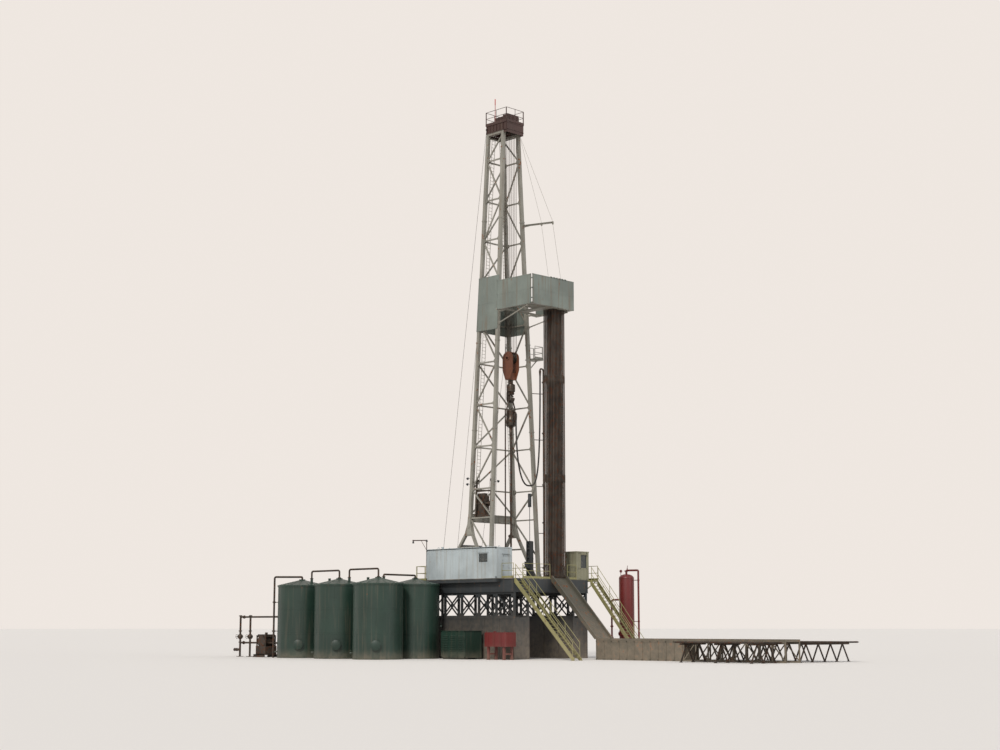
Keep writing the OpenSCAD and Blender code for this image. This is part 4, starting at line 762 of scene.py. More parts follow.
def handrail(lines, plates, start, end, height=RAIL_H, pitch=0.9, toe=True):
    """Posts, two rails and a toe plate between two points on a deck."""
    start, end = Vector(start), Vector(end)
    count = max(1, math.ceil((end - start).length / pitch - 1e-6))
    top = height - RAIL_SIDE / 2
    for i in range(count + 1):
        foot = start.lerp(end, i / count)
        lines.append((foot, foot + Z * top))
        plates.lathe([(0.026, 0), (0.026, 0.012), (0.016, 0.014), (0.016, 0.05)], foot, Z, 8)
    for level in (top, height / 2):
        lines.append((start + Z * level, end + Z * level))
    if toe:
        plates.bar(start + Z * 0.046, end + Z * 0.046, 0.006, 0.08)


# The stage


class RIG_OT_stage(bpy.types.Operator):
    """Pale floor, soft studio light and the camera at the photograph's viewing angle"""

    bl_idname = "rig.stage"
    bl_label = "Stage"

    lens = 59.4
    pitch = math.radians(8.68)
    eye = at(48.95, -49.15, 1.275)
    floor_colour = (0.80, 0.76, 0.71)
    sky_colour = (0.86, 0.80, 0.75)

    def backdrop(self, material_name, colour):
        material = bpy.data.materials.new(material_name)
        material.use_nodes = True
        shader = material.node_tree.nodes["Principled BSDF"]
        shader.inputs["Base Color"].default_value = (*colour, 1)
        shader.inputs["Roughness"].default_value = 0.95
        return material

    def light(self, name, energy, angle, direction, colour):
        lamp = bpy.data.lights.new(name, "SUN")
        lamp.energy, lamp.angle, lamp.color = energy, math.radians(angle), colour
        holder = bpy.data.objects.new(name, lamp)
        holder.rotation_mode = "QUATERNION"
        holder.rotation_quaternion = Vector(direction).to_track_quat("-Z", "Y")
        bpy.context.scene.collection.objects.link(holder)

    def world(self):
        world = bpy.data.worlds.new("studio")
        world.use_nodes = True
        nodes, links = world.node_tree.nodes, world.node_tree.links
        nodes.clear()
        seen, light = nodes.new("ShaderNodeBackground"), nodes.new("ShaderNodeBackground")
        seen.inputs["Color"].default_value = (*self.sky_colour, 1)
        light.inputs["Color"].default_value = (0.93, 0.95, 1.0, 1)
        light.inputs["Strength"].default_value = 0.55
        path, mix = nodes.new("ShaderNodeLightPath"), nodes.new("ShaderNodeMixShader")
        either = nodes.new("ShaderNodeMath")
        either.operation = "MAXIMUM"
        both = nodes.new("ShaderNodeMath")
        both.operation = "MAXIMUM"
        links.new(path.outputs["Is Camera Ray"], either.inputs[0])
        links.new(path.outputs["Is Glossy Ray"], either.inputs[1])
        links.new(either.outputs[0], both.inputs[0])
        links.new(path.outputs["Is Transmission Ray"], both.inputs[1])
        links.new(both.outputs[0], mix.inputs[0])
        links.new(light.outputs[0], mix.inputs[1])
        links.new(seen.outputs[0], mix.inputs[2])
        links.new(mix.outputs[0], nodes.new("ShaderNodeOutputWorld").inputs["Surface"])
        bpy.context.scene.world = world

    def execute(self, context):
        scene = context.scene
        scene.view_settings.view_transform = "Standard"
        reach = 900
        mesh = bpy.data.meshes.new("floor")
        corners = [(-reach, -reach, 0), (reach, -reach, 0), (reach, reach, 0), (-reach, reach, 0)]
        mesh.from_pydata(corners, [], [(0, 1, 2, 3)])
        mesh.materials.append(self.backdrop("stage_floor", self.floor_colour))
        floor = bpy.data.objects.new("floor", mesh)
        scene.collection.objects.link(floor)
        self.world()
        self.light("key", 1.9, 12, (-0.35, 0.75, -0.62), (1.0, 0.97, 0.93))
        self.light("fill", 0.55, 40, (-0.8, -0.25, -0.45), (0.93, 0.96, 1.0))
        camera = bpy.data.cameras.new("camera")
        camera.lens, camera.sensor_width = self.lens, 36
        camera.clip_end = 3000
        holder = bpy.data.objects.new("camera", camera)
        holder.location = self.eye
        level = math.cos(self.pitch) / math.sqrt(2)
        holder.rotation_mode = "QUATERNION"
        holder.rotation_quaternion = Vector((-level, level, math.sin(self.pitch))).to_track_quat("-Z", "Y")
        scene.collection.objects.link(holder)
        scene.camera = holder
        return {"FINISHED"}


class RIG_OT_paint(bpy.types.Operator):
    """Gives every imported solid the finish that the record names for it"""

    bl_idname = "rig.paint"
    bl_label = "Paint the solids"

    def execute(self, context):
        FINISHES.update(make_finishes(context.scene.rig_colours))
        TREES.update(copies=copies_tree(), bolts=bolts_tree(), tubes=tubes_tree(), winding=winding_tree())
        for part in frame["record"]["subparts"]:
            mesh = frame["nodes"][part["node"]].data
            mesh.materials.clear()
            mesh.materials.append(FINISHES[part["material_slot"]])
        return {"FINISHED"}


# Substructure and floor


class RIG_OT_substructure(bpy.types.Operator):
    """Stiffeners, gussets and flanges on the substructure and the floor girders"""

    bl_idname = "rig.substructure"
    bl_label = "Substructure"

    post = 0.08
    bays = 5

    def execute(self, context):
        shape, heads = Shape(), Places()
        for node in ("substructure_box_near", "substructure_box_far"):
            self.box_ribs(shape, *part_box(node))
        for node in ("substructure_frame_near", "substructure_frame_far"):
            self.frame_gussets(shape, heads, *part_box(node))
        low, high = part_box("floor_girders")
        for z in (low.z, high.z - 0.02):
            for y, out in ((FLOOR_NEAR, -1), (FLOOR_FAR, 1)):
                shape.box((FLOOR_REAR, y, z), (FLOOR_FRONT, y + out * 0.03, z + 0.02))
            for x, out in ((FLOOR_REAR, -1), (FLOOR_FRONT, 1)):
                shape.box((x, FLOOR_NEAR, z), (x + out * 0.003, FLOOR_FAR, z + 0.02))
        piece("substructure_ribs", "dark_steel", shape, [bolts(heads)])
        return {"FINISHED"}

    def box_ribs(self, shape, low, high):
        """Upright ribs and level bands on a closed lower box."""
        for y, out in ((low.y, -1), (high.y, 1)):
            for x in spread(low.x + 0.03, high.x - 0.03, 7):
                shape.box((x - 0.03, y, 0.06), (x + 0.03, y + out * 0.014, high.z - 0.02))
            for z, deep in ((high.z - 0.05, 0.05), (0.0, 0.06), (high.z * 0.5, 0.04)):
                shape.box((low.x, y, z), (high.x, y + out * 0.02, z + deep))

    def frame_gussets(self, shape, heads, low, high):
        """Gussets at the middle and the corners of each braced bay."""
        step = (high.x - low.x - self.post) / self.bays
        for y, out in ((low.y, -1), (high.y, 1)):
            face = y + out * 0.004
            for i in range(self.bays):
                x = low.x + self.post / 2 + (i + 0.5) * step
                self.gusset(shape, heads, (x, face, (low.z + high.z) / 2), out, 0.13, 0.1)
                for end in (-1, 1):
                    for z in (low.z + 0.12, high.z - 0.12):
                        corner = (x + end * (step / 2 - 0.08), face, z)
                        self.gusset(shape, heads, corner, out, 0.1, 0.09)

    def gusset(self, shape, heads, centre, out, wide, tall):
        """Plate with four bolts, on a face that looks along Y."""
        x, y, z = centre
        shape.box((x - wide / 2, y, z - tall / 2), (x + wide / 2, y + out * 0.01, z + tall / 2))
        for dx in (-0.3, 0.3):
            for dz in (-0.28, 0.28):
                heads.face((x + dx * wide, y + out * 0.013, z + dz * tall), Y * out)


class RIG_OT_floor_rails(bpy.types.Operator):
    """Tubular handrails with toe plates round the drill floor and its side landings"""

    bl_idname = "rig.floor_rails"
    bl_label = "Floor rails and landings"

    gap = 0.045
    landing_t = 0.06
    rear_size = (0.73, 0.5)
    far_size = (1.4, 0.65)
    # Below the deck: foot of a landing's brace, and the lower end of its shoe
    brace_drop = 0.38
    shoe_drop = 0.44

    def execute(self, context):
        lines, plates = [], Shape()
        edge, gap = RAIL_SIDE / 2, self.gap
        house, cabin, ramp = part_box("doghouse_walls"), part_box("driller_cabin"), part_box("pipe_ramp")
        near, far = FLOOR_NEAR + edge, FLOOR_FAR - edge
        rear, front = FLOOR_REAR + edge, FLOOR_FRONT - edge
        runs = [
            ((house[1].x + gap, near), (front, near)),
            ((front, SUB_LOW.y + STAIR_WIDTH + gap), (front, ramp[0].y - gap)),
            ((front, ramp[1].y + gap), (front, cabin[0].y - gap)),
            ((rear, house[1].y + gap), (rear, far - gap)),
            ((rear, far), (cabin[0].x - 0.04, far)),
        ]
        for start, end in runs:
            handrail(lines, plates, (*start, FLOOR_Z), (*end, FLOOR_Z))
        piece("floor_railing", "rail_paint", plates, [rail_tubes(lines)], replaces=["floor_rails"])
        lines, plates = [], Shape()
        self.rear_landing(lines, plates)
        self.far_landing(lines, plates)
        piece("landing_railing", "rail_paint", plates, [rail_tubes(lines)], replaces=["side_landings"])
        return {"FINISHED"}

    def deck(self, plates, low, high):
        """Grating in a frame of flat bars."""
        (x0, y0, z0), (x1, y1, z1) = low, high
        t = 0.008
        for y in (y0, y1 - t):
            plates.box((x0, y, z0), (x1, y + t, z1))
        for x in (x0, x1 - t):
            plates.box((x, y0 + t, z0), (x + t, y1 - t, z1))
        for x in spread(x0, x1, int((x1 - x0) / 0.03) + 1)[1:-1]:
            plates.box((x - 0.002, y0 + t, z1 - 0.03), (x + 0.002, y1 - t, z1))
        for y in spread(y0, y1, 7)[1:-1]:
            plates.box((x0 + t, y - 0.003, z1 - 0.012), (x1 - t, y + 0.003, z1 - 0.002))

    def rear_landing(self, lines, plates):
        z, t, e = FLOOR_Z, self.landing_t, RAIL_SIDE / 2
        x1, y0 = FLOOR_REAR - GAP, FLOOR_NEAR + FLOOR_INSET
        x0, y1 = x1 - self.rear_size[0], y0 + self.rear_size[1]
        self.deck(plates, (x0, y0, z - t), (x1, y1, z))
        for y in (y0 + e, y1 - e):
            handrail(lines, plates, (x0 + e + 0.04, y, z), (x1 - 0.06, y, z))
            plates.bar((x1 - 0.01, y, z - self.brace_drop), (x0 + 0.1, y, z - t), 0.014, 0.04)
            plates.box((x1 - 0.02, y - e, z - self.shoe_drop), (x1, y + e, z - t))
        handrail(lines, plates, (x0 + e, y0 + e, z), (x0 + e, y1 - e, z))

    def far_landing(self, lines, plates):
        z, t, e = FLOOR_Z, self.landing_t, RAIL_SIDE / 2
        x1, y0 = FLOOR_FRONT, FLOOR_FAR + GAP
        x0, y1 = x1 - self.far_size[0], y0 + self.far_size[1]
        self.deck(plates, (x0, y0, z - t), (x1, y1, z))
        for x in (x0 + 0.04, x1 - 0.06):
            plates.box((x - e, y0, z - self.shoe_drop), (x + e, y0 + 0.02, z - t))
            plates.bar((x, y0 + 0.01, z - self.brace_drop), (x, y1 - 0.1, z - t), 0.014, 0.04)
        handrail(lines, plates, (x0 + e, y1 - e, z), (x1 - e, y1 - e, z))
        handrail(lines, plates, (x0 + e, y0 + e + 0.06, z), (x0 + e, y1 - e - 0.04, z))


class RIG_OT_stairs(bpy.types.Operator):
    """Both stairs: channel stringers, grating treads and sloping tube rails"""

    bl_idname = "rig.stairs"
    bl_label = "Stairs"

    rises = 26
    web = 0.012
    deep = 0.11
    tread_depth = 0.055

    def execute(self, context):
        start = FLOOR_FRONT + GAP
        near_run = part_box("stair_sides")[1].x - start
        lines, plates, treads = [], Shape(), Places()
        for y0, run in ((FLOOR_NEAR + FLOOR_INSET, near_run), (FLOOR_FAR + 0.15, near_run - 0.49)):
            for y, out in ((y0, -1), (y0 + STAIR_WIDTH, 1)):
                self.stringer(plates, start, run, y, out)
                self.rail(lines, plates, start, run, y - out * 0.02)
            for i in range(1, self.rises):
                x = FLOOR_FRONT + i * run / self.rises
                treads.add((x - 0.005, y0 + STAIR_WIDTH / 2, FLOOR_Z * (1 - i / self.rises)))
        piece("stair_stringers", "rail_paint", plates, [rail_tubes(lines)], replaces=["stair_sides"])
        piece("stair_gratings", "rail_paint", None, [copies(self.tread(), treads)], replaces=["stair_treads"])
        return {"FINISHED"}

    def stringer(self, plates, start, run, y, out):
        """Channel on its edge, from the floor's front down to the ground."""
        face, inner = y - out * self.web, y - out * 0.04
        end = start + run
        line = [
            (start, FLOOR_Z - self.deep * 1.6), (start, FLOOR_Z - 0.005), (start + 0.04, FLOOR_Z - 0.005),
            (end, 0.06), (end, 0.0), (end - 0.12, 0.0),
        ]
        plates.prism([(x, face, z) for x, z in line], (0, out * self.web, 0))
        middle = (inner + face) / 2
        for a, b in ((line[2], line[3]), (line[0], line[5])):
            flange_w = abs(inner - face)
            plates.bar((a[0], middle, a[1] - 0.004), (b[0], middle, b[1] + 0.004), flange_w, 0.008)
        plates.box((end - 0.14, y - 0.05, 0), (end, y + 0.05, 0.012))

    def rail(self, lines, plates, start, run, y):
        """Five posts and two sloping rails over a stringer."""
        fall = FLOOR_Z / run
        level = RAIL_H - RAIL_SIDE / 2
        for along in spread(0.06, run - 0.1, 5):
            x, z = start + along, FLOOR_Z - along * fall
            lines.append(((x, y, max(z - 0.03, 0.012)), (x, y, z + level)))
            plates.box((x - 0.03, y - 0.016, z - 0.02), (x + 0.03, y + 0.016, z + 0.012))
        for h in (level, RAIL_H / 2):
            lines.append([(start + a, y, FLOOR_Z + h - a * fall) for a in (0.04, run - 0.09)])

    def tread(self):
        """Grating tread with a nosing, about its own middle."""
        unit = Shape()
        half, deep = STAIR_WIDTH / 2 - 0.0405, self.tread_depth
        for x in (-deep, deep - 0.006):
            unit.box((x, -half, -0.02), (x + 0.006, half, 0))
        unit.box((deep - 0.022, -half, -0.006), (deep, half, 0))
        for y in spread(-half + 0.002, half - 0.006, 9):
            unit.box((-deep, y, -0.018), (deep, y + 0.004, -0.001))
        return unit


# Houses


class RIG_OT_houses(bpy.types.Operator):
    """Ribs, corner posts, roof trims and window frames of the doghouse and the cabin, and the lamp post"""

    bl_idname = "rig.houses"
    bl_label = "Doghouse and cabin"

    house_length = 4.12
    lamp_height = 1.67
    trim_t = 0.008
    sill = 0.07
    lintel = 0.04

    def execute(self, context):
        low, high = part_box("doghouse_walls")
        front = low.x + self.house_length
        self.walls(low, high, front)
        self.roof(low, high, front)
        self.door(front)
        self.cabin()
        self.lamp()
        return {"FINISHED"}

    def walls(self, low, high, front):
        """Corner posts, bands, upright ribs and the window's frame."""
        window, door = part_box("doghouse_window"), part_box("doghouse_door")
        t = self.trim_t
        trim, ribs = Shape(), Places()
        for x, ox in ((low.x, -1), (front, 1)):
            for y, oy in ((low.y, -1), (high.y, 1)):
                trim.box((x + ox * t, y - oy * 0.05, low.z), (x, y, high.z))
                trim.box((x - ox * 0.05, y + oy * t, low.z), (x, y, high.z))
        bottom, top = low.z + self.sill, high.z - self.lintel
        for y, out in ((low.y, -1), (high.y, 1)):
            for z0, z1 in ((low.z, bottom), (top, high.z)):
                trim.box((low.x, y, z0), (front, y + out * t, z1))
            for x in spread(low.x, front, 27)[1:-1]:
                spans = [(bottom, top)]
                if out < 0 and window[0].x - 0.05 < x < window[1].x + 0.05:
                    spans = [(bottom, window[0].z - 0.05), (window[1].z + 0.05, top)]
                for a, b in spans:
                    ribs.add((x, y, a), None, (1, 1, b - a))
        for y in spread(low.y, high.y, 7)[1:-1]:
            ribs.add((low.x, y, low.z), None, (1, 1, high.z - low.z))
        unit = Shape()
        unit.box((-0.016, -0.006, 0), (0.016, 0.006, 1))
        self.frame_window(trim, window, low.y)
        hood_z = door[1].z + 0.012
        trim.box((front, door[0].y, hood_z), (front + 0.05, door[0].y + 0.42, hood_z + 0.008))
        piece("doghouse_trim", "house_panel", trim, [copies(unit, ribs)])

    def roof(self, low, high, front):
        """Seams, edges and lifting loops on the doghouse's roof."""
        roof_low, roof_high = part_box("doghouse_roof")
        shape = Shape()
        top = roof_low.z + 0.03
        for x in spread(roof_low.x, roof_high.x, 10)[1:-1]:
            shape.box((x - 0.012, roof_low.y, top), (x + 0.012, roof_high.y, top + 0.014))
        for y in (roof_low.y, roof_high.y - 0.012):
            shape.box((roof_low.x, y, roof_low.z), (roof_high.x, y + 0.012, top + 0.022))
        for x in (low.x + 0.6, front - 0.6):
            for y in (low.y + 0.12, high.y - 0.12):
                loop = [(-0.05, 0), (-0.05, 0.09), (0.05, 0.09), (0.05, 0)]
                shape.pipe(rounded([(x + dx, y, top + dz) for dx, dz in loop], 0.04), 0.009, 8)
        piece("doghouse_roof_trim", "house_panel", shape)

    def door(self, front):
        """Raised bars on the doghouse door's outer face."""
        low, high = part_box("doghouse_door")
        shape = Shape()
        back, face = front - 0.0005, front + 0.005
        for z in (low.z + 0.05, (low.z + high.z) / 2, high.z - 0.09):
            shape.box((back, low.y + 0.055, z), (face, low.y + 0.36, z + 0.035))
        for y in (low.y + 0.055, low.y + 0.33):
            shape.box((back, y, low.z + 0.05), (face, y + 0.03, high.z - 0.055))
        piece("doghouse_door_frame", "house_panel", shape, body="door")

    def frame_window(self, trim, window, wall_y):
        """Flat frame and rain strip round a window in a wall that looks along -Y."""
        low, high = window
        w = 0.035
        x0, x1 = low.x - w, high.x + w
        bars = [
            (x0, low.z - w, x1, low.z), (x0, high.z, x1, high.z + w),
            (x0, low.z, low.x, high.z), (high.x, low.z, x1, high.z),
        ]
        for a, bottom, b, top in bars:
            trim.box((a, wall_y - 0.012, bottom), (b, wall_y, top))
        trim.box((x0 - 0.01, wall_y - 0.04, high.z + w), (x1 + 0.01, wall_y, high.z + w + 0.008))

    def cabin(self):
        """Corner posts, bands and the window's bars of the driller's cabin."""
        low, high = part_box("driller_cabin")
        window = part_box("cabin_window")
        t = self.trim_t
        trim = Shape()
        for x in (low.x, high.x - 0.04):
            for y in (low.y, high.y - 0.04):
                trim.box((x - 0.006, y - 0.006, low.z), (x + 0.046, y + 0.046, high.z))
        for y, out in ((low.y, -1), (high.y, 1)):
            for z in (low.z, low.z + 0.5, high.z - 0.05):
                trim.box((low.x, y, z), (high.x, y + out * t, z + 0.045))
            for x in spread(low.x, high.x, 6)[1:-1]:
                trim.box((x - 0.012, y, low.z), (x + 0.012, y + out * t, high.z))
        for z in (low.z, low.z + 0.44, high.z - 0.06):
            trim.box((high.x, low.y, z), (high.x + t, high.y, z + 0.045))
        for y in (window[0].y - 0.035, window[1].y, (low.y + window[0].y) / 2):
            trim.box((high.x, y, low.z), (high.x + t, y + 0.03, high.z))
        hood_z = window[1].z + 0.01
        trim.box((high.x, window[0].y - 0.03, hood_z), (high.x + 0.05, window[1].y + 0.03, hood_z + 0.01))
        piece("cabin_trim", "cabin_paint", trim)

    def lamp(self):
        """Lamp post with a braced arm and two lamps."""
        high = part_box("lamp_post")[1]
        foot = Vector((high.x - 0.05, high.y - 0.04, FLOOR_Z))
        top = foot + Z * self.lamp_height
        tip = top + Vector((-0.79, -0.08, 0.02))
        pole, heads, lens = Shape(), Shape(), Shape()
        pole.box(foot - Vector((0.05, 0.04, 0)), foot + Vector((0.05, 0.04, 0.02)))
        pole.rod(foot, top, 0.018, 12)
        pole.rod(top, tip, 0.0225, 10)
        pole.rod(foot + Z * 1.25, top.lerp(tip, 0.4), 0.009, 8)
        shade_outline = [(0.03, 0.02), (0.038, -0.02), (0.046, -0.06), (0.042, -0.062), (0.0, -0.05)]
        for share, drop in ((0.0, 0.0), (0.96, 0.06)):
            p = top.lerp(tip, share) - Z * drop
            heads.lathe([(0.012, 0.03 + drop)] + shade_outline, p, Z, 16)
            lens.lathe([(0.0, -0.045), (0.036, -0.05), (0.036, -0.058), (0.0, -0.068)], p, Z, 16)
        piece("lamp_pole", "crown_paint", pole, replaces=["lamp_post"])
        piece("lamp_heads", "dark_steel", heads)
        piece("lamp_lenses", "window_glass", lens)


# Mast


class RIG_OT_mast(bpy.types.Operator):
    """Gussets, splices, pins, ladders, small lamps and the line reel on the mast and its A-frames"""

    bl_idname = "rig.mast"
    bl_label = "Mast"

    plate_outline = ((0.0, -0.12), (0.06, -0.075), (0.1, 0.0), (0.06, 0.075), (0.0, 0.12))
    plate_bolts = ((0.02, -0.09), (0.02, 0.09), (0.05, -0.045), (0.05, 0.045), (0.08, 0.0), (0.02, 0.0))
    a_frame_foot = -2.15
    pin_z = 0.19
    ladder_w = 0.19
    stile = 0.022
    rung_pitch = 0.15

    def execute(self, context):
        self.joints()
        self.feet()
        self.ladders()
        self.lamps()
        self.reel()
        return {"FINISHED"}

    def joints(self):
        """Bolted gussets at every ring of both sides, and the legs' splices."""
        shape, heads = Shape(), Places()
        for side in (-1, 1):
            shape.place = side_plane(side)
            for k in range(RINGS):
                s = slope(ring_z(k))
                inner = half_d(ring_z(k)) - LEG / 2
                for end in (-1, 1):
                    for face in (-1, 1):
                        y = face * (BRACE / 2 + 0.003)
                        outline = [(end * (inner - dx), y - 0.004, s + dz) for dx, dz in self.plate_outline]
                        shape.prism(outline, Y * 0.008)
                        for dx, dz in self.plate_bolts:
                            heads.face((end * (inner - dx), y + face * 0.006, s + dz), Y * face, shape.place)
            for z in (ring_z(2) + BAY / 2, ring_z(5) + BAY / 2, ring_z(7) + BAY * 0.4):
                self.splices(shape, heads, z)
        piece("mast_gussets", "mast_paint", shape, [bolts(heads)])

    def splices(self, shape, heads, z):
        """Flanged collars round both legs of a side."""
        s, h = slope(z), LEG / 2 + 0.014
        for end in (-1, 1):
            x = end * half_d(z)
            shape.box((x - h, -h, s - 0.022), (x + h, h, s + 0.022))
            for dx in (-1, 1):
                for dy in (-1, 0, 1):
                    heads.face((x + dx * (h - 0.008), dy * 0.05, s + 0.024), Z, shape.place)

    def feet(self):
        """Pinned lugs at the legs' and A-frames' feet and at the A-frames' tops."""
        shape, heads = Shape(), Places()
        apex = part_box("a_frame_near")[1].z
        rear, s = -half_d(apex), slope(apex)
        top_outline = [(-0.07, 0.3), (0.07, 0.3), (0.09, 0.0), (0.22, -0.44), (-0.24, -0.44), (-0.09, 0.0)]
        top_bolts = [(-0.04, 0.24), (0.04, 0.24), (-0.05, 0.1), (0.05, 0.1), (-0.15, -0.38), (0.14, -0.38)]
        # Place along the side, half width and distance from the leg's plane
        lugs = (
            (self.a_frame_foot, 0.1, 0.085),
            (FLOOR_DEPTH - 0.1703, 0.058, 0.065),
            (FLOOR_DEPTH, 0.1, 0.085),
        )
        for side in (-1, 1):
            y = side * BASE_HALF
            for x, w, out in lugs:
                half = [(w, 0), (w * 0.85, 0.2), (w * 0.3, 0.27)]
                outline = half + [(-px, pz) for px, pz in reversed(half)]
                for lug in (-out, out):
                    points = [at(x + px, y + lug - 0.012, FLOOR_Z + pz) for px, pz in outline]
                    shape.prism(points, Y * 0.024)
                pin = at(x, y, FLOOR_Z + self.pin_z)
                shape.rod(pin - Y * 0.125, pin + Y * 0.125, 0.035, 16)
            shape.place = side_plane(side)
            for face in (-1, 1):
                y0 = face * (LEG / 2 + 0.002)
                shape.prism([(rear + px, y0, s + pz) for px, pz in top_outline], Y * face * 0.012)
                for px, pz in top_bolts:
                    heads.face((rear + px, y0 + face * 0.016, s + pz), Y * face, shape.place)
            shape.rod((rear, -0.11, s - 0.12), (rear, 0.11, s - 0.12), 0.05, 20)
            shape.place = Matrix.Identity(4)
        low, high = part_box("spreader_beam")
        for z in (low.z, high.z - 0.012):
            shape.box((low.x - 0.02, low.y + 0.06, z), (high.x + 0.02, high.y - 0.06, z + 0.012))
        for y in spread(low.y, high.y, 9)[1:-1]:
            shape.box((high.x, y - 0.006, low.z + 0.012), (high.x + 0.02, y + 0.006, high.z - 0.012))
        piece("mast_lugs", "mast_paint", shape, [bolts(heads, 0.014)])

    def ladder_x(self, s):
        """Place of the ladders across a side, at a distance up its slope."""
        return -half_d(FLOOR_Z + s * math.cos(LEAN)) + BRACE / 2 + GAP + 0.07

    def ladders(self):
        """Two ladders inside the mast, with round rungs."""
        rails, rungs = Shape(), []
        low, top = slope(FLOOR_Z + SPREADER_H) + 0.2, slope(CROWN_Z) - 0.16
        x_low, x_top = self.ladder_x(low), self.ladder_x(top)
        for side in (-1, 1):
            place = rails.place = side_plane(side)
            y0 = -side * (LEG / 2 + 0.06)
            y1 = y0 - side * self.ladder_w
            for y in (y0, y1):
                rails.bar((x_low + 0.004, y, low), (x_top + 0.004, y, top), 0.008, self.stile)
                edge = y - self.stile / 2 + 0.003
                rails.bar((x_low + 0.015, edge, low), (x_top + 0.015, edge, top), 0.014, 0.006)
                for k in range(0, RINGS, 2):
                    s = slope(ring_z(k))
                    x = self.ladder_x(s)
                    rails.box((x - 0.07, y - 0.008, s - 0.008), (x + 0.005, y + 0.008, s + 0.008))
            s = low + 0.04
            while s < top - 0.02:
                x = self.ladder_x(s) + 0.01
                rungs.append((place @ Vector((x, y0, s)), place @ Vector((x, y1, s))))
                s += self.rung_pitch
        piece("mast_ladders", "mast_paint", rails, [tubes(rungs, 0.0075, 6)], replaces=["ladders"])

    def lamps(self):
        """Flood lamps on brackets off the near side's legs."""
        shape, lens = Shape(), Shape()
        body = [(0.0, -0.03), (0.03, -0.03), (0.055, 0.03), (0.055, 0.045), (0.048, 0.045), (0.0, 0.03)]
        glass = [(0.0, 0.033), (0.046, 0.036), (0.046, 0.044), (0.0, 0.05)]
        for z, end in ((7.42, -1), (7.18, -1), (7.2, 1)):
            way = X * end
            foot = at(end * (half_d(z) + 0.07), -half_w(z), z)
            tip = foot + way * 0.2 + Z * 0.02
            shape.rod(foot, tip, 0.009, 8)
            shape.lathe(body, tip, way - Z * 0.7, 14)
            lens.lathe(glass, tip, way - Z * 0.7, 14)
        piece("mast_lamps", "dark_steel", shape)
        piece("mast_lamp_lenses", "window_glass", lens)

    def reel(self):
        """Line reel and hydraulic unit inside the near side, under two lamps."""
        shape = Shape(side_plane(-1))
        low, top = slope(FLOOR_Z + SPREADER_H), slope(ring_z(RINGS - 1))
        hd = half_d(ring_z(RINGS - 1))
        y = BRACE / 2 + GAP
        for x in (-hd + 0.22, hd - 0.2):
            shape.box((x, y, low - 0.024), (x + 0.06, y + 0.04, top + 0.33))
            shape.box((x - 0.02, y, top + 0.3), (x + 0.08, y + 0.09, top + 0.4))
            shape.rod((x + 0.03, y + 0.09, top + 0.35), (x + 0.03, y + 0.12, top + 0.35), 0.04, 14)
        for s in (low + 0.06, (low + top) / 2 - 0.03, top - 0.12):
            shape.box((-hd + 0.21, y + 0.03, s), (hd - 0.13, y + 0.066, s + 0.06))
        x0, x1 = -hd + 0.24, hd * 0.45 - 0.19
        shape.box((x0, y + 0.06, low + 0.04), (x1, y + 0.31, top - 0.42))
        shape.box((x0 + 0.03, y + 0.06, top - 0.44), (x1 - 0.05, y + 0.24, top - 0.18))
        for i in range(6):
            s = low + 0.12 + i * 0.1
            shape.box((x0 + 0.03, y + 0.31, s), (x1 - 0.03, y + 0.33, s + 0.05))
        for x in (x0 + 0.06, (x0 + x1) / 2, x1 - 0.1):
            shape.rod((x, y + 0.2, top - 0.44), (x, y + 0.2, top - 0.2), 0.035, 12)
        centre = Vector((hd * 0.45, y + 0.19, (low + top) / 2))
        for x in (-0.17, 0.13):
            shape.box(centre + Vector((x, -0.13, -0.3)), centre + Vector((x + 0.04, 0.05, 0.3)))
        shape.rod(centre - X * 0.15, centre + X * 0.15, 0.08, 20)
        for x in (-0.13, 0.13):
            shape.disc(centre + X * x, X, 0.12, -0.008, 0.008, 24)
        wrap = [(0.078, -0.009), (0.096, -0.009), (0.1, 0.0), (0.096, 0.009), (0.078, 0.009)]
        for i in range(11):
            shape.lathe(wrap, centre + X * (i * 0.022 - 0.11), X, 20, True)
        piece("reel_and_hydraulics", "greased_steel", shape, replaces=["mast_winch"])


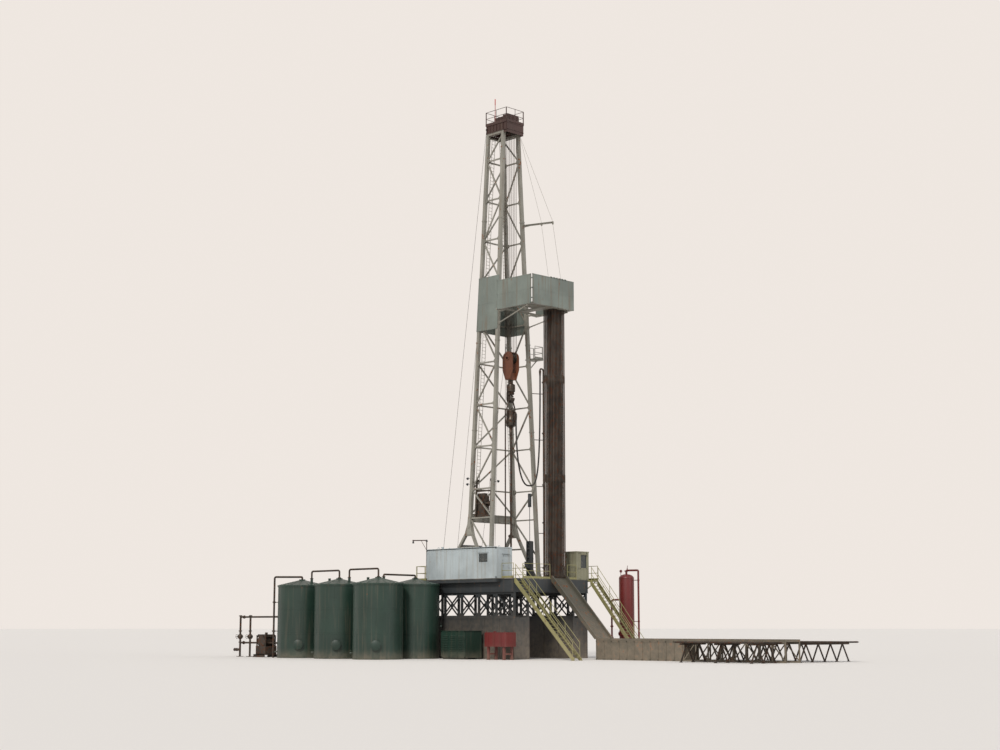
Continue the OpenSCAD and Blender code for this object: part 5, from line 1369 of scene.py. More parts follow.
class RIG_OT_wind_walls(bpy.types.Operator):
    """Ribbed sheets with angle frames: the walls round the mast and those of the racking board"""

    bl_idname = "rig.wind_walls"
    bl_label = "Wind walls"

    sheet = 0.003
    frame_t = 0.01

    def execute(self, context):
        self.pitch = context.scene.rig_sizes.rib_pitch
        sheets, ribs = Shape(), Places()
        low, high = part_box("mast_windwalls")
        out = LEG / 2 + GAP
        for side in (-1, 1):
            y = side * (out + 0.01)
            reach = half_d(high.z) + LEG / 2
            a, b = (-reach, y, slope(low.z + 0.002)), (reach, y, slope(high.z - 0.002))
            self.wall(sheets, ribs, a, b, side_plane(side))
        x = -out - 0.01
        edge = (out + 0.02) / math.cos(LEAN) - 0.002
        wide_low, wide_high = half_w(low.z) + edge, half_w(high.z) + edge
        bottom, top = [(z - FLOOR_Z) / math.cos(TUCK) for z in (low.z, high.z)]
        self.wall(sheets, ribs, (x, -wide_high, bottom), (x, wide_high, top), back_plane(), X)
        sheets.place = back_plane()
        for s in (-1, 1):
            a, b = Vector((x, s * (wide_low - 0.03), bottom)), Vector((x, s * (wide_high - 0.03), top))
            outline = [a - Y * 0.04 * s, a + Y * 0.03 * s, b + Y * 0.03 * s, b - Y * 0.08 * s]
            sheets.prism([p - X * self.sheet for p in outline], X * 2 * self.sheet)
            sheets.bar(a, b, 0.04, 0.02)
        grown = [copies(self.rib(), ribs)]
        piece("mast_wall_sheets", "wall_sheet", sheets, grown, replaces=["mast_windwalls"])
        self.board_walls()
        return {"FINISHED"}

    def rib(self):
        """Rib of trapezoid section on both faces of a sheet, one metre long."""
        unit = Shape()
        half = [(-0.02, 0.003), (-0.012, 0.0095), (0.012, 0.0095), (0.02, 0.003)]
        outline = [(x, -y) for x, y in half] + half[::-1]
        unit.rings([[(x, y, z) for x, y in outline] for z in (0, 1)])
        return unit

    def wall(self, sheets, ribs, low, high, place=None, normal=Y):
        """One sheet in the plane square to its normal, from corner to corner, with ribs and a frame."""
        sheets.place = place or Matrix.Identity(4)
        low, high = Vector(low), Vector(high)
        along = X if normal == Y else Y
        sheets.box(low - normal * self.sheet, high + normal * self.sheet)
        thick = normal * self.frame_t
        middle = (low.z + high.z) / 2
        levels = ((low.z, low.z + 0.035), (high.z - 0.035, high.z), (middle - 0.017, middle + 0.017))
        for z0, z1 in levels:
            sheets.box(low + Z * (z0 - low.z) - thick, high + Z * (z1 - high.z) + thick)
        length = (high - low).dot(along)
        for start in (0.0, length - 0.03):
            a = low + along * start
            sheets.box(a - thick, a + along * 0.03 + Z * (high.z - low.z) + thick)
        count = int((length - 0.08) / self.pitch)
        turn = sheets.place.to_3x3()
        if normal != Y:
            turn = turn @ Matrix.Rotation(math.pi / 2, 3, "Z")
        margin = (length - count * self.pitch) / 2
        for i in range(count + 1):
            p = low + along * (margin + i * self.pitch) + Z * 0.03
            ribs.add(sheets.place @ p, turn, (1, 1, high.z - low.z - 0.06))
        sheets.place = Matrix.Identity(4)

    def board_walls(self):
        """Walls on three sides of the racking board, with hinges and latches at the front."""
        sheets, ribs = Shape(), Places()
        low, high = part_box("board_walls")
        back = MAST.x + half_d(BOARD_Z) + LEG / 2
        y0, y1 = low.y + 0.01, high.y - 0.01
        front = high.x - 0.01
        self.wall(sheets, ribs, (back + 0.26, y0, low.z), (front - 0.07, y0, high.z))
        self.wall(sheets, ribs, (back + 0.11, y1, low.z), (front - 0.011, y1, high.z))
        self.wall(sheets, ribs, (front, y0 + 0.01, low.z), (front, y1 + 0.01, high.z), None, X)
        for z in (low.z + 0.2, low.z + 0.62, high.z - 0.2):
            sheets.box((front - 0.075, y0 - 0.006, z), (front - 0.01, y0 + 0.012, z + 0.05))
        for y in (y0 + 0.25, y0 + 0.9, y1 - 0.7, y1 - 0.2):
            sheets.box((front - 0.045, y, high.z - 0.02), (front - 0.008, y + 0.05, high.z))
        for i in range(6):
            y = MAST.y - 0.1 + i * 0.17
            sheets.box((high.x - 0.06, y - 0.035, high.z - 0.03), (high.x, y + 0.035, high.z + 0.03))
        piece("board_wall_sheets", "wall_sheet", sheets, [copies(self.rib(), ribs)], replaces=["board_walls"])


class RIG_OT_racking_board(bpy.types.Operator):
    """Walkway gratings, fingers with latches, the line boom, the side platform and the stands of pipe"""

    bl_idname = "rig.racking_board"
    bl_label = "Racking board and pipe stands"

    pitch = 0.084
    rows = 7
    files = 9
    pipe_r = 0.032
    mat_t = 0.03
    # Outline of a stand of pipe, as shares of its radius and heights from a joint
    stand_foot = ((0.55, 0.0), (0.98, 0.03), (0.98, 0.12), (0.8, 0.16))
    stand_joint = ((0.8, -0.2), (1, -0.16), (1, -0.01), (0.93, 0), (1, 0.01), (1, 0.1), (0.8, 0.14))
    stand_top = ((0.8, -0.2), (1, -0.16), (1, -0.005), (0.7, 0), (0.7, -0.05))

    def execute(self, context):
        self.walkways()
        self.fingers()
        self.stands(context.scene.rig_sizes.pipe_sides)
        self.boom()
        self.platform()
        return {"FINISHED"}

    def walkways(self):
        shape, heads = Shape(), Places()
        low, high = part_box("racking_board")
        top = BOARD_Z
        for y in (low.y, high.y - 0.09):
            for x in spread(low.x + 0.3, high.x - 0.05, 51)[1:-1]:
                shape.box((x, y + 0.006, top), (x + 0.004, y + 0.084, top + 0.004))
        for x in (high.x - 0.1, high.x - 0.02):
            shape.box((x, low.y, top), (x + 0.006, high.y, top + 0.012))
        for y in spread(low.y + 0.02, high.y - 0.02, 22):
            heads.face((high.x + 0.023, y, top - 0.03), X)
        piece("board_gratings", "mast_paint", shape, [bolts(heads)])

    def fingers(self):
        low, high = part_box("board_fingers")
        shape, latches = Shape(), Places()
        bar_top = BOARD_Z - 0.012
        for side, outer in ((-1, low.y), (1, high.y)):
            inner = MAST.y + side * 0.23
            for i in range(self.rows + 1):
                x = low.x + 0.006 + i * self.pitch
                shape.box((x - 0.006, inner, BOARD_Z - 0.05), (x + 0.006, outer, bar_top))
                for j in range(int(abs(outer - inner) / self.pitch)):
                    latches.add((x, inner + side * (0.04 + j * self.pitch), bar_top))
        unit = Shape()
        unit.box((-0.004, -0.004, 0), (0.004, 0.004, 0.012))
        unit.box((-0.004, -0.004, 0.006), (0.03, 0.004, 0.011))
        piece("board_finger_bars", "mast_paint", shape, [copies(unit, latches)], replaces=["board_fingers"])

    def stands(self, sides):
        """Three joints of pipe to a stand, with their tool joints, on a timbered mat."""
        low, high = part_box("racked_pipe")
        length = high.z - low.z - self.mat_t
        marks = [(self.stand_foot, 0.0), (self.stand_joint, length / 3)]
        marks += [(self.stand_joint, length * 2 / 3), (self.stand_top, length)]
        unit = Shape()
        unit.lathe([(self.pipe_r * share, z + dz) for part, z in marks for share, dz in part], sides=sides)
        places = Places()
        for i in range(self.rows):
            for j in range(self.files):
                foot = (low.x + 0.07 + i * self.pitch, low.y + 0.07 + j * self.pitch, low.z + self.mat_t)
                shorter = 0.04 * ((i + j) % 3) / length
                places.add(foot, Matrix.Rotation(0.6 * (i + 2 * j), 3, "Z"), (1, 1, 1 - shorter))
        piece("pipe_stands", "pipe_steel", None, [copies(unit, places)], replaces=["racked_pipe"])
        mat = Shape()
        edges = spread(low.x, high.x, 9)
        for a, b in zip(edges, edges[1:]):
            mat.box((a, low.y, low.z), (b - 0.006, high.y, low.z + 0.045))
        piece("setback_mat", "ramp_steel", mat)

    def boom(self):
        """Level boom with its sheaves, and the lines from it to the crown and to the board."""
        z = FLOOR_Z + (CROWN_Z - FLOOR_Z) * 0.789
        root, tip = at(half_d(z - 0.08) + LEG / 2 + GAP, half_w(z), z), at(1.94, 1.09, z)
        feet = [at(1.793, 1.195, BOARD_Z), at(2.495, 1.195, BOARD_Z)]
        shape, lines = Shape(), []
        start = root + X * 0.016
        shape.box(root - Vector((0, 0.06, 0.08)), root + Vector((0.02, 0.06, 0.08)))
        for drop in (-0.029, 0.0, 0.029):
            shape.bar(start + Z * drop, tip + Z * drop, 0.07, 0.012)
        shape.bar(start, tip, 0.012, 0.06)
        shape.bar(root + Vector((0.02, 0, -0.07)), root.lerp(tip, 0.2) - Z * 0.035, 0.02, 0.02)
        crown = at(TOP_DEPTH + LEG / 2 + 0.007, TOP_HALF, CROWN_Z - 0.003)
        across = (tip - root).cross(Z).normalized()
        groove = [(0.014, -0.01), (0.04, -0.012), (0.03, 0.0), (0.04, 0.012), (0.014, 0.01)]
        for share, foot in zip((0.61, 0.98), feet):
            end = root.lerp(tip, share)
            shape.lathe(groove, end - Z * 0.06, across, 16)
            for cheek in (end - across * 0.02, end + across * 0.02):
                shape.bar(cheek, cheek - Z * 0.09, 0.006, 0.03)
            lines.append((end - Z * 0.08, foot + Z * 0.002))
            lines.append((end + Z * 0.03, crown))
        piece("boom_and_lines", "mast_paint", shape, [tubes(lines, 0.006, 6)], replaces=["line_boom"])

    def platform(self):
        """Small railed platform outside the far front leg, with its bracket."""
        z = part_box("side_platform")[1].z - RAIL_H + 0.05 - GAP
        hd, face = half_d(z), LEG / 2 / math.cos(LEAN)
        low = Vector((MAST.x + hd - 0.27, MAST.y + half_w(z) + face + 0.012, 0))
        high = low + Vector((0.54, 0.56, 0))
        e, tall = RAIL_SIDE / 2, RAIL_H - 0.05
        lines, shape = [], Shape()
        shape.box((low.x, low.y, z - 0.04), (high.x, high.y, z - 0.03))
        edge_plates(shape, low, high, z - 0.04, z, 0.01)
        for x in spread(low.x, high.x, 21)[1:-1]:
            shape.box((x, low.y + 0.01, z - 0.03), (x + 0.004, high.y - 0.01, z))
        handrail(lines, shape, (low.x + e, high.y - e, z), (high.x - e, high.y - e, z), tall)
        for x in (low.x + e, high.x - e):
            handrail(lines, shape, (x, low.y + 0.06, z), (x, high.y - e - 0.04, z), tall)
        foot = at(hd, half_w(z - 0.42) + face + 0.026, z - 0.42)
        shape.bar(foot, (foot.x, high.y - 0.12, z - 0.03), 0.04, 0.03)
        shape.place = side_plane(1)
        s = slope(z)
        shape.box((hd - 0.04, LEG / 2 + GAP, s - 0.48), (hd + 0.04, LEG / 2 + 0.03, s - 0.01))
        piece("leg_platform", "mast_paint", shape, [rail_tubes(lines)], replaces=["side_platform"])


# Crown and hoist


SHEAVE_R = 0.215
GROOVE_R = 0.194
SHEAVE_PITCH = 0.09
SHEAVE_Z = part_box("drilling_lines")[1].z
BLOCK_SHEAVE_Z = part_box("drilling_lines")[0].z
SHEAVE_HALF = (
    (0.05, 0.028), (0.075, 0.028), (0.08, 0.012), (0.17, 0.009),
    (0.18, 0.023), (SHEAVE_R, 0.023), (0.212, 0.018), (0.197, 0.008),
)
SHEAVE_PROFILE = [(r, -z) for r, z in SHEAVE_HALF] + [(GROOVE_R, 0.0)] + list(reversed(SHEAVE_HALF))
SHEAVE_ROWS = (-1.5, -0.5, 0.5, 1.5)
# Height of the hose's upper end above the swivel's foot
HOSE_RISE = 0.531


def sheaves(x, z):
    """Grooved sheaves side by side on one shaft."""
    unit = Shape()
    unit.lathe(SHEAVE_PROFILE, sides=40, closed=True)
    places = Places()
    for row in SHEAVE_ROWS:
        places.face((x, MAST.y + row * SHEAVE_PITCH, z), Y)
    return copies(unit, places)


def rope_over(shape, x, z, radius, way):
    """Half turns of rope over each sheave (way 1) or under it (way -1)."""
    r = GROOVE_R + radius * 0.9
    for row in SHEAVE_ROWS:
        y = MAST.y + row * SHEAVE_PITCH
        shape.pipe([(px, y, pz) for px, pz in arc((x, z), (r, r * way), 0, math.pi, 16)], radius, 8)


class RIG_OT_crown(bpy.types.Operator):
    """Crown: stiffened beams, grooved sheaves with their lines, the housing, rails and the aerial"""

    bl_idname = "rig.crown"
    bl_label = "Crown"

    deck_t = 0.025
    cover_h = 0.33

    def execute(self, context):
        self.bank(context.scene.rig_sizes.rope_radius)
        self.beams()
        self.housing()
        self.rails()
        self.aerial()
        return {"FINISHED"}

    def bank(self, rope):
        """Sheaves on their shaft between two bearings, with the rope over them."""
        shaft, ropes = Shape(), Shape()
        half = TOP_HALF - 0.06 - GAP
        shaft.rod((WELL.x, MAST.y - half, SHEAVE_Z), (WELL.x, MAST.y + half, SHEAVE_Z), 0.052, 20)
        bearing = [(0.05, 0), (0.11, 0), (0.12, 0.03), (0.12, 0.12), (0.05, 0.12)]
        for s in (-1, 1):
            shaft.lathe(bearing, (WELL.x, MAST.y + s * (half - 0.001), SHEAVE_Z), Y * -s, 24)
        turning = [sheaves(WELL.x, SHEAVE_Z)]
        piece("crown_sheave_bank", "greased_steel", shaft, turning, replaces=["crown_sheaves"])
        rope_over(ropes, WELL.x, SHEAVE_Z, rope, 1)
        piece("crown_ropes", "wire_rope", ropes)

    def beams(self):
        """Flanges, stiffeners, bolts and the apron below the crown's beams."""
        low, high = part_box("crown_frame")
        shape, heads = Shape(), Places()
        for s, y in ((-1, low.y), (1, high.y)):
            for z in (low.z, high.z - 0.02):
                shape.box((low.x, y, z), (high.x, y + s * 0.03, z + 0.02))
            for x in spread(low.x + 0.02, high.x - 0.02, 7):
                shape.box((x - 0.006, y, low.z + 0.02), (x + 0.006, y + s * 0.024, high.z - 0.02))
            for x in (low.x + 0.12, low.x + 0.35, high.x - 0.25):
                for z in (low.z + 0.08, low.z + 0.18, high.z - 0.08):
                    heads.face((x, y + s * 0.005, z), Y * s)
        for x, s in ((low.x, -1), (high.x, 1)):
            for z in (low.z + 0.02, high.z - 0.06):
                shape.box((x, low.y, z), (x + s * 0.012, high.y, z + 0.04))
        edge_plates(shape, low, high, low.z - 0.12, low.z + 0.01, 0.008)
        piece("crown_stiffeners", "crown_paint", shape, [bolts(heads, 0.016)])

    def housing(self):
        """Edge of the top deck, and ribs and hatches of the cover over the sheaves."""
        low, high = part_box("crown_platform")
        deck, cover = low.z + self.deck_t, low.z + self.cover_h
        shape, heads = Shape(), Places()
        edge_plates(shape, low, high, deck, deck + 0.08, 0.008)
        x0, x1 = MAST.x - 0.15, high.x - 0.12
        for x in spread(x0, x1, 5):
            for s in (-1, 1):
                y = MAST.y + s * 0.33
                shape.box((x - 0.008, y, deck), (x + 0.008, y + s * 0.01, cover))
        for x, out in ((x0, -1), (x1, 1)):
            for y in (MAST.y - 0.22, MAST.y, MAST.y + 0.22):
                shape.box((x, y - 0.008, deck), (x + out * 0.01, y + 0.008, cover))
        for y in (MAST.y - 0.2, MAST.y + 0.1):
            shape.box((x0 + 0.1, y, cover), (x0 + 0.38, y + 0.16, cover + 0.02))
            heads.face((x0 + 0.14, y + 0.08, cover + 0.022), Z)
        piece("crown_housing_ribs", "crown_paint", shape, [bolts(heads)])

    def rails(self):
        low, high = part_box("crown_platform")
        e, z = RAIL_SIDE / 2, low.z + self.deck_t
        x0, x1 = low.x + e, high.x - e
        y0, y1 = low.y + e, high.y - e
        lines, plates = [], Shape()
        for y in (y0, y1):
            handrail(lines, plates, (x0 + 0.03, y, z), (x1 - 0.03, y, z), RAIL_H, 0.75, False)
        for x in (x0, x1):
            handrail(lines, plates, (x, y0, z), (x, y1, z), RAIL_H, 0.7, False)
        piece("crown_railing", "crown_paint", plates, [rail_tubes(lines)], replaces=["crown_rails"])

    def aerial(self):
        low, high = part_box("antenna")
        foot = Vector(((low.x + high.x) / 2, (low.y + high.y) / 2, low.z))
        tall = high.z - low.z
        profile = [
            (0.04, 0), (0.04, 0.012), (0.022, 0.016), (0.022, 0.06), (0.014, 0.07), (0.014, tall - 0.28),
            (0.02, tall - 0.27), (0.022, tall - 0.25), (0.022, tall - 0.02), (0.012, tall), (0.0, tall),
        ]
        shape = Shape()
        shape.lathe(profile, foot, Z, 16)
        piece("aerial", "aerial_red", shape, replaces=["antenna"])


class RIG_OT_hoist(bpy.types.Operator):
    """Travelling block, hook, swivel and kelly with the lines that carry them"""

    bl_idname = "rig.hoist"
    bl_label = "Hoist"

    cheek_half = 0.205
    cheek_t = 0.04
    cheek_bolts = (
        (-0.09, 0.06), (0.09, 0.06), (-0.2, 0.4), (0.2, 0.4), (-0.2, 0.98), (0.2, 0.98),
        (0, 1.13), (-0.1, 0.24), (0.1, 0.24),
    )
    swivel_outline = (
        (0.0, 0.0), (0.062, 0.0), (0.062, 0.05), (0.09, 0.055), (0.09, 0.09), (0.15, 0.1), (0.195, 0.14),
        (0.205, 0.2), (0.205, 0.4), (0.195, 0.45), (0.18, 0.49), (0.18, 0.61), (0.17, 0.62), (0.17, 0.74),
        (0.18, 0.75), (0.18, 0.8), (0.15, 0.83), (0.1, 0.84), (0.0, 0.84),
    )
    hook_barrel = (
        (0.0, 0.72), (0.095, 0.72), (0.12, 0.6), (0.17, 0.58), (0.17, 0.56), (0.177, 0.55), (0.177, 0.83),
        (0.17, 0.85), (0.12, 0.87), (0.095, 0.9), (0.095, 1.0497), (0.0, 1.0497),
    )

    def execute(self, context):
        rope = context.scene.rig_sizes.rope_radius
        self.block(rope)
        self.lines(rope)
        self.hook()
        self.swivel()
        self.kelly()
        return {"FINISHED"}

    def on_well(self, z):
        """Empty Shape whose frame stands on the well's axis at a height."""
        return Shape(Matrix.Translation((WELL.x, WELL.y, z)))

    def block(self, rope):
        low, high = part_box("travelling_block")
        half, wide, tall = self.cheek_half, SHEAVE_R + 0.08, high.z - low.z
        outline = [(-wide * 0.45, 0), (wide * 0.45, 0), (wide, 0.42)]
        outline += arc((0, tall - wide), (wide, wide), 0, math.pi, 18) + [(-wide, 0.42)]
        rim = [(x * 0.9, 0.06 + (z - 0.05) * 0.93) for x, z in outline]
        hub = [(0.05, 0), (0.1, 0), (0.1, 0.018), (0.065, 0.028), (0.06, 0.03), (0.0, 0.03)]
        shape, heads = self.on_well(low.z), Places()
        for s in (-1, 1):
            shape.prism([(x, s * (half - self.cheek_t), z) for x, z in outline], Y * s * self.cheek_t)
            shape.pipe([(x, s * half, z) for x, z in rim], 0.008, 6, True)
            for x, z in self.cheek_bolts:
                heads.face((x, s * (half + 0.006), z), Y * s, shape.place)
            shape.lathe(hub, (0, s * half, BLOCK_SHEAVE_Z - low.z), Y * s, 24)
        inner = half - 0.035
        shape.box((-wide * 0.45, -inner, 0), (wide * 0.45, inner, 0.3))
        shape.box((-0.13, -inner, tall - 0.05), (0.13, inner, tall - 0.02))
        grown = [bolts(heads, 0.016, 0.014)]
        piece("block_cheeks", "hoist_rust", shape, grown, "hoist", ["travelling_block"])
        shaft = self.on_well(BLOCK_SHEAVE_Z)
        shaft.rod((0, -0.235, 0), (0, 0.235, 0), 0.052, 20)
        piece("block_sheaves", "greased_steel", shaft, [sheaves(WELL.x, BLOCK_SHEAVE_Z)], "hoist")
        ropes = Shape()
        rope_over(ropes, WELL.x, BLOCK_SHEAVE_Z, rope, -1)
        piece("block_ropes", "wire_rope", ropes, body="hoist")

    def lines(self, rope):
        """Vertical parts of the drilling line, between the crown and the block."""
        shape = Shape()
        r = GROOVE_R + rope * 0.9
        for x in (WELL.x - r, WELL.x + r):
            for row in SHEAVE_ROWS:
                y = WELL.y + row * SHEAVE_PITCH
                shape.rod((x, y, BLOCK_SHEAVE_Z), (x, y, SHEAVE_Z), rope, 8)
        ends = ("root", "hoist", (WELL.x, WELL.y, SHEAVE_Z), (WELL.x, WELL.y, BLOCK_SHEAVE_Z))
        piece("line_falls", "wire_rope", shape, replaces=["drilling_lines"], blend=ends)

    def hook(self):
        shape = self.on_well(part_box("hook")[0].z - 0.06)
        shape.lathe(self.hook_barrel, sides=32)
        for a in angles(8):
            shape.rod(around(a, 0.17, 0.57), around(a, 0.17, 0.82), 0.012, 6)
        shape.box((-0.12, -0.075, 0.41), (0.12, 0.075, 0.6))
        shape.disc((0, 0, 0.47), Y, 0.06, -0.1, 0.1, 20)
        outer = arc((-0.02, 0.27), (0.185, 0.21), math.radians(170), math.radians(190), 14)
        inner = arc((-0.02, 0.27), (0.09, 0.115), math.radians(360), math.radians(-190), 14)
        outline = [(-0.13, 0.6), (-0.2, 0.52)] + outer + inner + [(-0.11, 0.42), (-0.03, 0.5)]
        shape.prism([(x, -0.07, z) for x, z in outline], Y * 0.14)
        shape.bar((0.13, 0, 0.31), (0.02, 0, 0.43), 0.07, 0.035)
        ear = [(0.1, 0.06, 0.5), (0.16, 0.06, 0.47), (0.16, -0.06, 0.47), (0.1, -0.06, 0.5)]
        for s in (-1, 1):
            shape.pipe(rounded([(s * x, y, z) for x, y, z in ear], 0.03), 0.012, 8)
        piece("hook_body", "greased_steel", shape, body="hoist", replaces=["hook"])

    def swivel(self):
        shape = self.on_well(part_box("swivel")[0].z)
        shape.lathe(self.swivel_outline, sides=32)
        bead = [(0.2, -0.012), (0.212, -0.008), (0.212, 0.008), (0.2, 0.012)]
        for z in (0.17, 0.36):
            shape.lathe(bead, (0, 0, z), Z, 32, True)
        for s in (-1, 1):
            shape.disc((0, 0, 0.28), Y * s, 0.055, 0.18, 0.275, 20)
        bail = [(-0.235, 0.25), (-0.235, 0.9), (-0.12, 1.21), (0.12, 1.21), (0.235, 0.9), (0.235, 0.25)]
        shape.pipe(rounded([(0, y, z) for y, z in bail], 0.12, 6), 0.032, 12)
        neck_z = HOSE_RISE + 0.18
        neck = [(0.12, 0, neck_z), (0.3, 0, neck_z), (0.3, 0, HOSE_RISE + GAP)]
        shape.pipe(rounded(neck, 0.09, 6), 0.034, 14)
        shape.collar((0.3, 0, HOSE_RISE + 0.03), Z, 0.034, 0.055, 0, 0.035, 16)
        shape.collar((0.17, 0, neck_z), X, 0.034, 0.055, 0, 0.035, 16)
        piece("swivel_body", "greased_steel", shape, body="hoist", replaces=["swivel"])

    def kelly(self):
        """Square bar with cut corners, with its two round ends."""
        low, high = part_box("kelly")
        shape = self.on_well(0)
        h = 0.033
        k = h * 0.72
        octagon = [(h, -k), (h, k), (k, h), (-k, h), (-h, k), (-h, -k), (-k, -h), (k, -h)]
        shape.rings([[(x, y, z) for x, y in octagon] for z in (low.z + 0.16, high.z - 0.3)])
        upper = [(0.03, -0.36), (0.045, -0.3), (0.062, -0.27), (0.062, -0.05), (0.055, -0.04)]
        upper += [(0.055, 0), (0.0, 0)]
        shape.lathe(upper, (0, 0, high.z), Z, 24)
        lower = [(0.0, 0), (0.035, 0), (0.045, 0.01), (0.045, 0.14), (0.03, 0.17)]
        shape.lathe(lower, (0, 0, low.z), Z, 20)
        piece("kelly_bar", "greased_steel", shape, body="kelly", replaces=["kelly"])


class RIG_OT_mud_lines(bpy.types.Operator):
    """Standpipe with its clamps and gooseneck, and the hanging kelly hose"""

    bl_idname = "rig.mud_lines"
    bl_label = "Standpipe and kelly hose"

    hose_radius = 0.034
    height = 9.0
    reach = 0.2
    drop = 0.14
    steps = 60
    # How sharply the hose bends below the swivel and below the standpipe
    swivel_bend = 2.2
    standpipe_bend = 3.4

    def foot(self):
        return at(FLOOR_DEPTH + 0.14, BASE_HALF + 0.185, FLOOR_Z)

    def execute(self, context):
        self.standpipe()
        self.hose()
        return {"FINISHED"}

    def standpipe(self):
        foot = self.foot()
        shape, heads = Shape(), Places()
        shape.collar(foot, Z, 0.036, 0.07, 0, 0.02, 20)
        for level in (0.5, 2.4, 4.0, 6.2, 8.4):
            for up in (0, 0.026):
                shape.collar(foot + Z * level, Z, 0.034, 0.068, up, up + 0.022, 20)
            for a in angles(8):
                heads.face(foot + around(a, 0.056, level + 0.052), Z)
        shape.rod(foot + Z * 0.62, foot + Vector((0.14, 0, 0.62)), 0.022, 12)
        shape.wheel(foot + Vector((0.15, 0, 0.62)), X, 0.07)
        for k in range(1, 5):
            z = FLOOR_Z + self.height * 0.22 * k
            x, s = half_d(z), slope(z)
            shape.place = side_plane(1)
            shape.box((x - 0.03, LEG / 2 + GAP, s - 0.03), (x + 0.03, LEG / 2 + 0.02, s + 0.03))
            shape.place = Matrix.Identity(4)
            start = at(x, half_w(z) + LEG / 2 / math.cos(LEAN) + 0.017, z)
            shape.bar(start, (foot.x, foot.y, z), 0.03, 0.03)
            shape.collar((foot.x, foot.y, z), Z, 0.035, 0.046, -0.015, 0.015, 16)
        top = foot + Z * self.height
        end = top - Vector((0, self.reach, self.drop))
        shape.pipe(rounded([foot, top, top - Y * self.reach, end], 0.09), 0.035, 16)
        shape.collar(end, Z, 0.03, 0.05, 0, 0.05, 16)
        piece("mud_standpipe", "pipe_steel", shape, [bolts(heads)], replaces=["standpipe"])

    def hose(self):
        """A U between the swivel's gooseneck and the standpipe's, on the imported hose's own curve."""
        a = Vector((WELL.x + 0.3, WELL.y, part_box("swivel")[0].z + HOSE_RISE))
        b = self.foot() + Vector((0, -self.reach, self.height - self.drop - GAP))
        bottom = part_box("kelly_hose")[0].z + self.hose_radius
        path = []
        for t in spread(0.0, 1.0, self.steps + 1):
            p = a.lerp(b, (1 - math.cos(math.pi * t)) / 2)
            end, bend = (a, self.swivel_bend) if t < 0.5 else (b, self.standpipe_bend)
            p.z = bottom + (end.z - bottom) * abs(2 * t - 1) ** bend
            path.append(p)
        shape = Shape()
        shape.pipe(path, self.hose_radius, 16)
        ends = ("root", "hoist", (b.x, b.y, a.z), (a.x, a.y, a.z))
        piece("rotary_hose", "hose_rubber", shape, replaces=["kelly_hose"], blend=ends)
        collar = [
            (0.034, -0.16), (0.042, -0.15), (0.042, -0.06),
            (0.05, -0.055), (0.05, -0.004), (0.034, -0.002),
        ]
        for name, end, body in (("hose_end_upper", a, "hoist"), ("hose_end_lower", b, "root")):
            shape = Shape()
            shape.lathe(collar, end, Z, 16, True)
            piece(name, "greased_steel", shape, body=body)


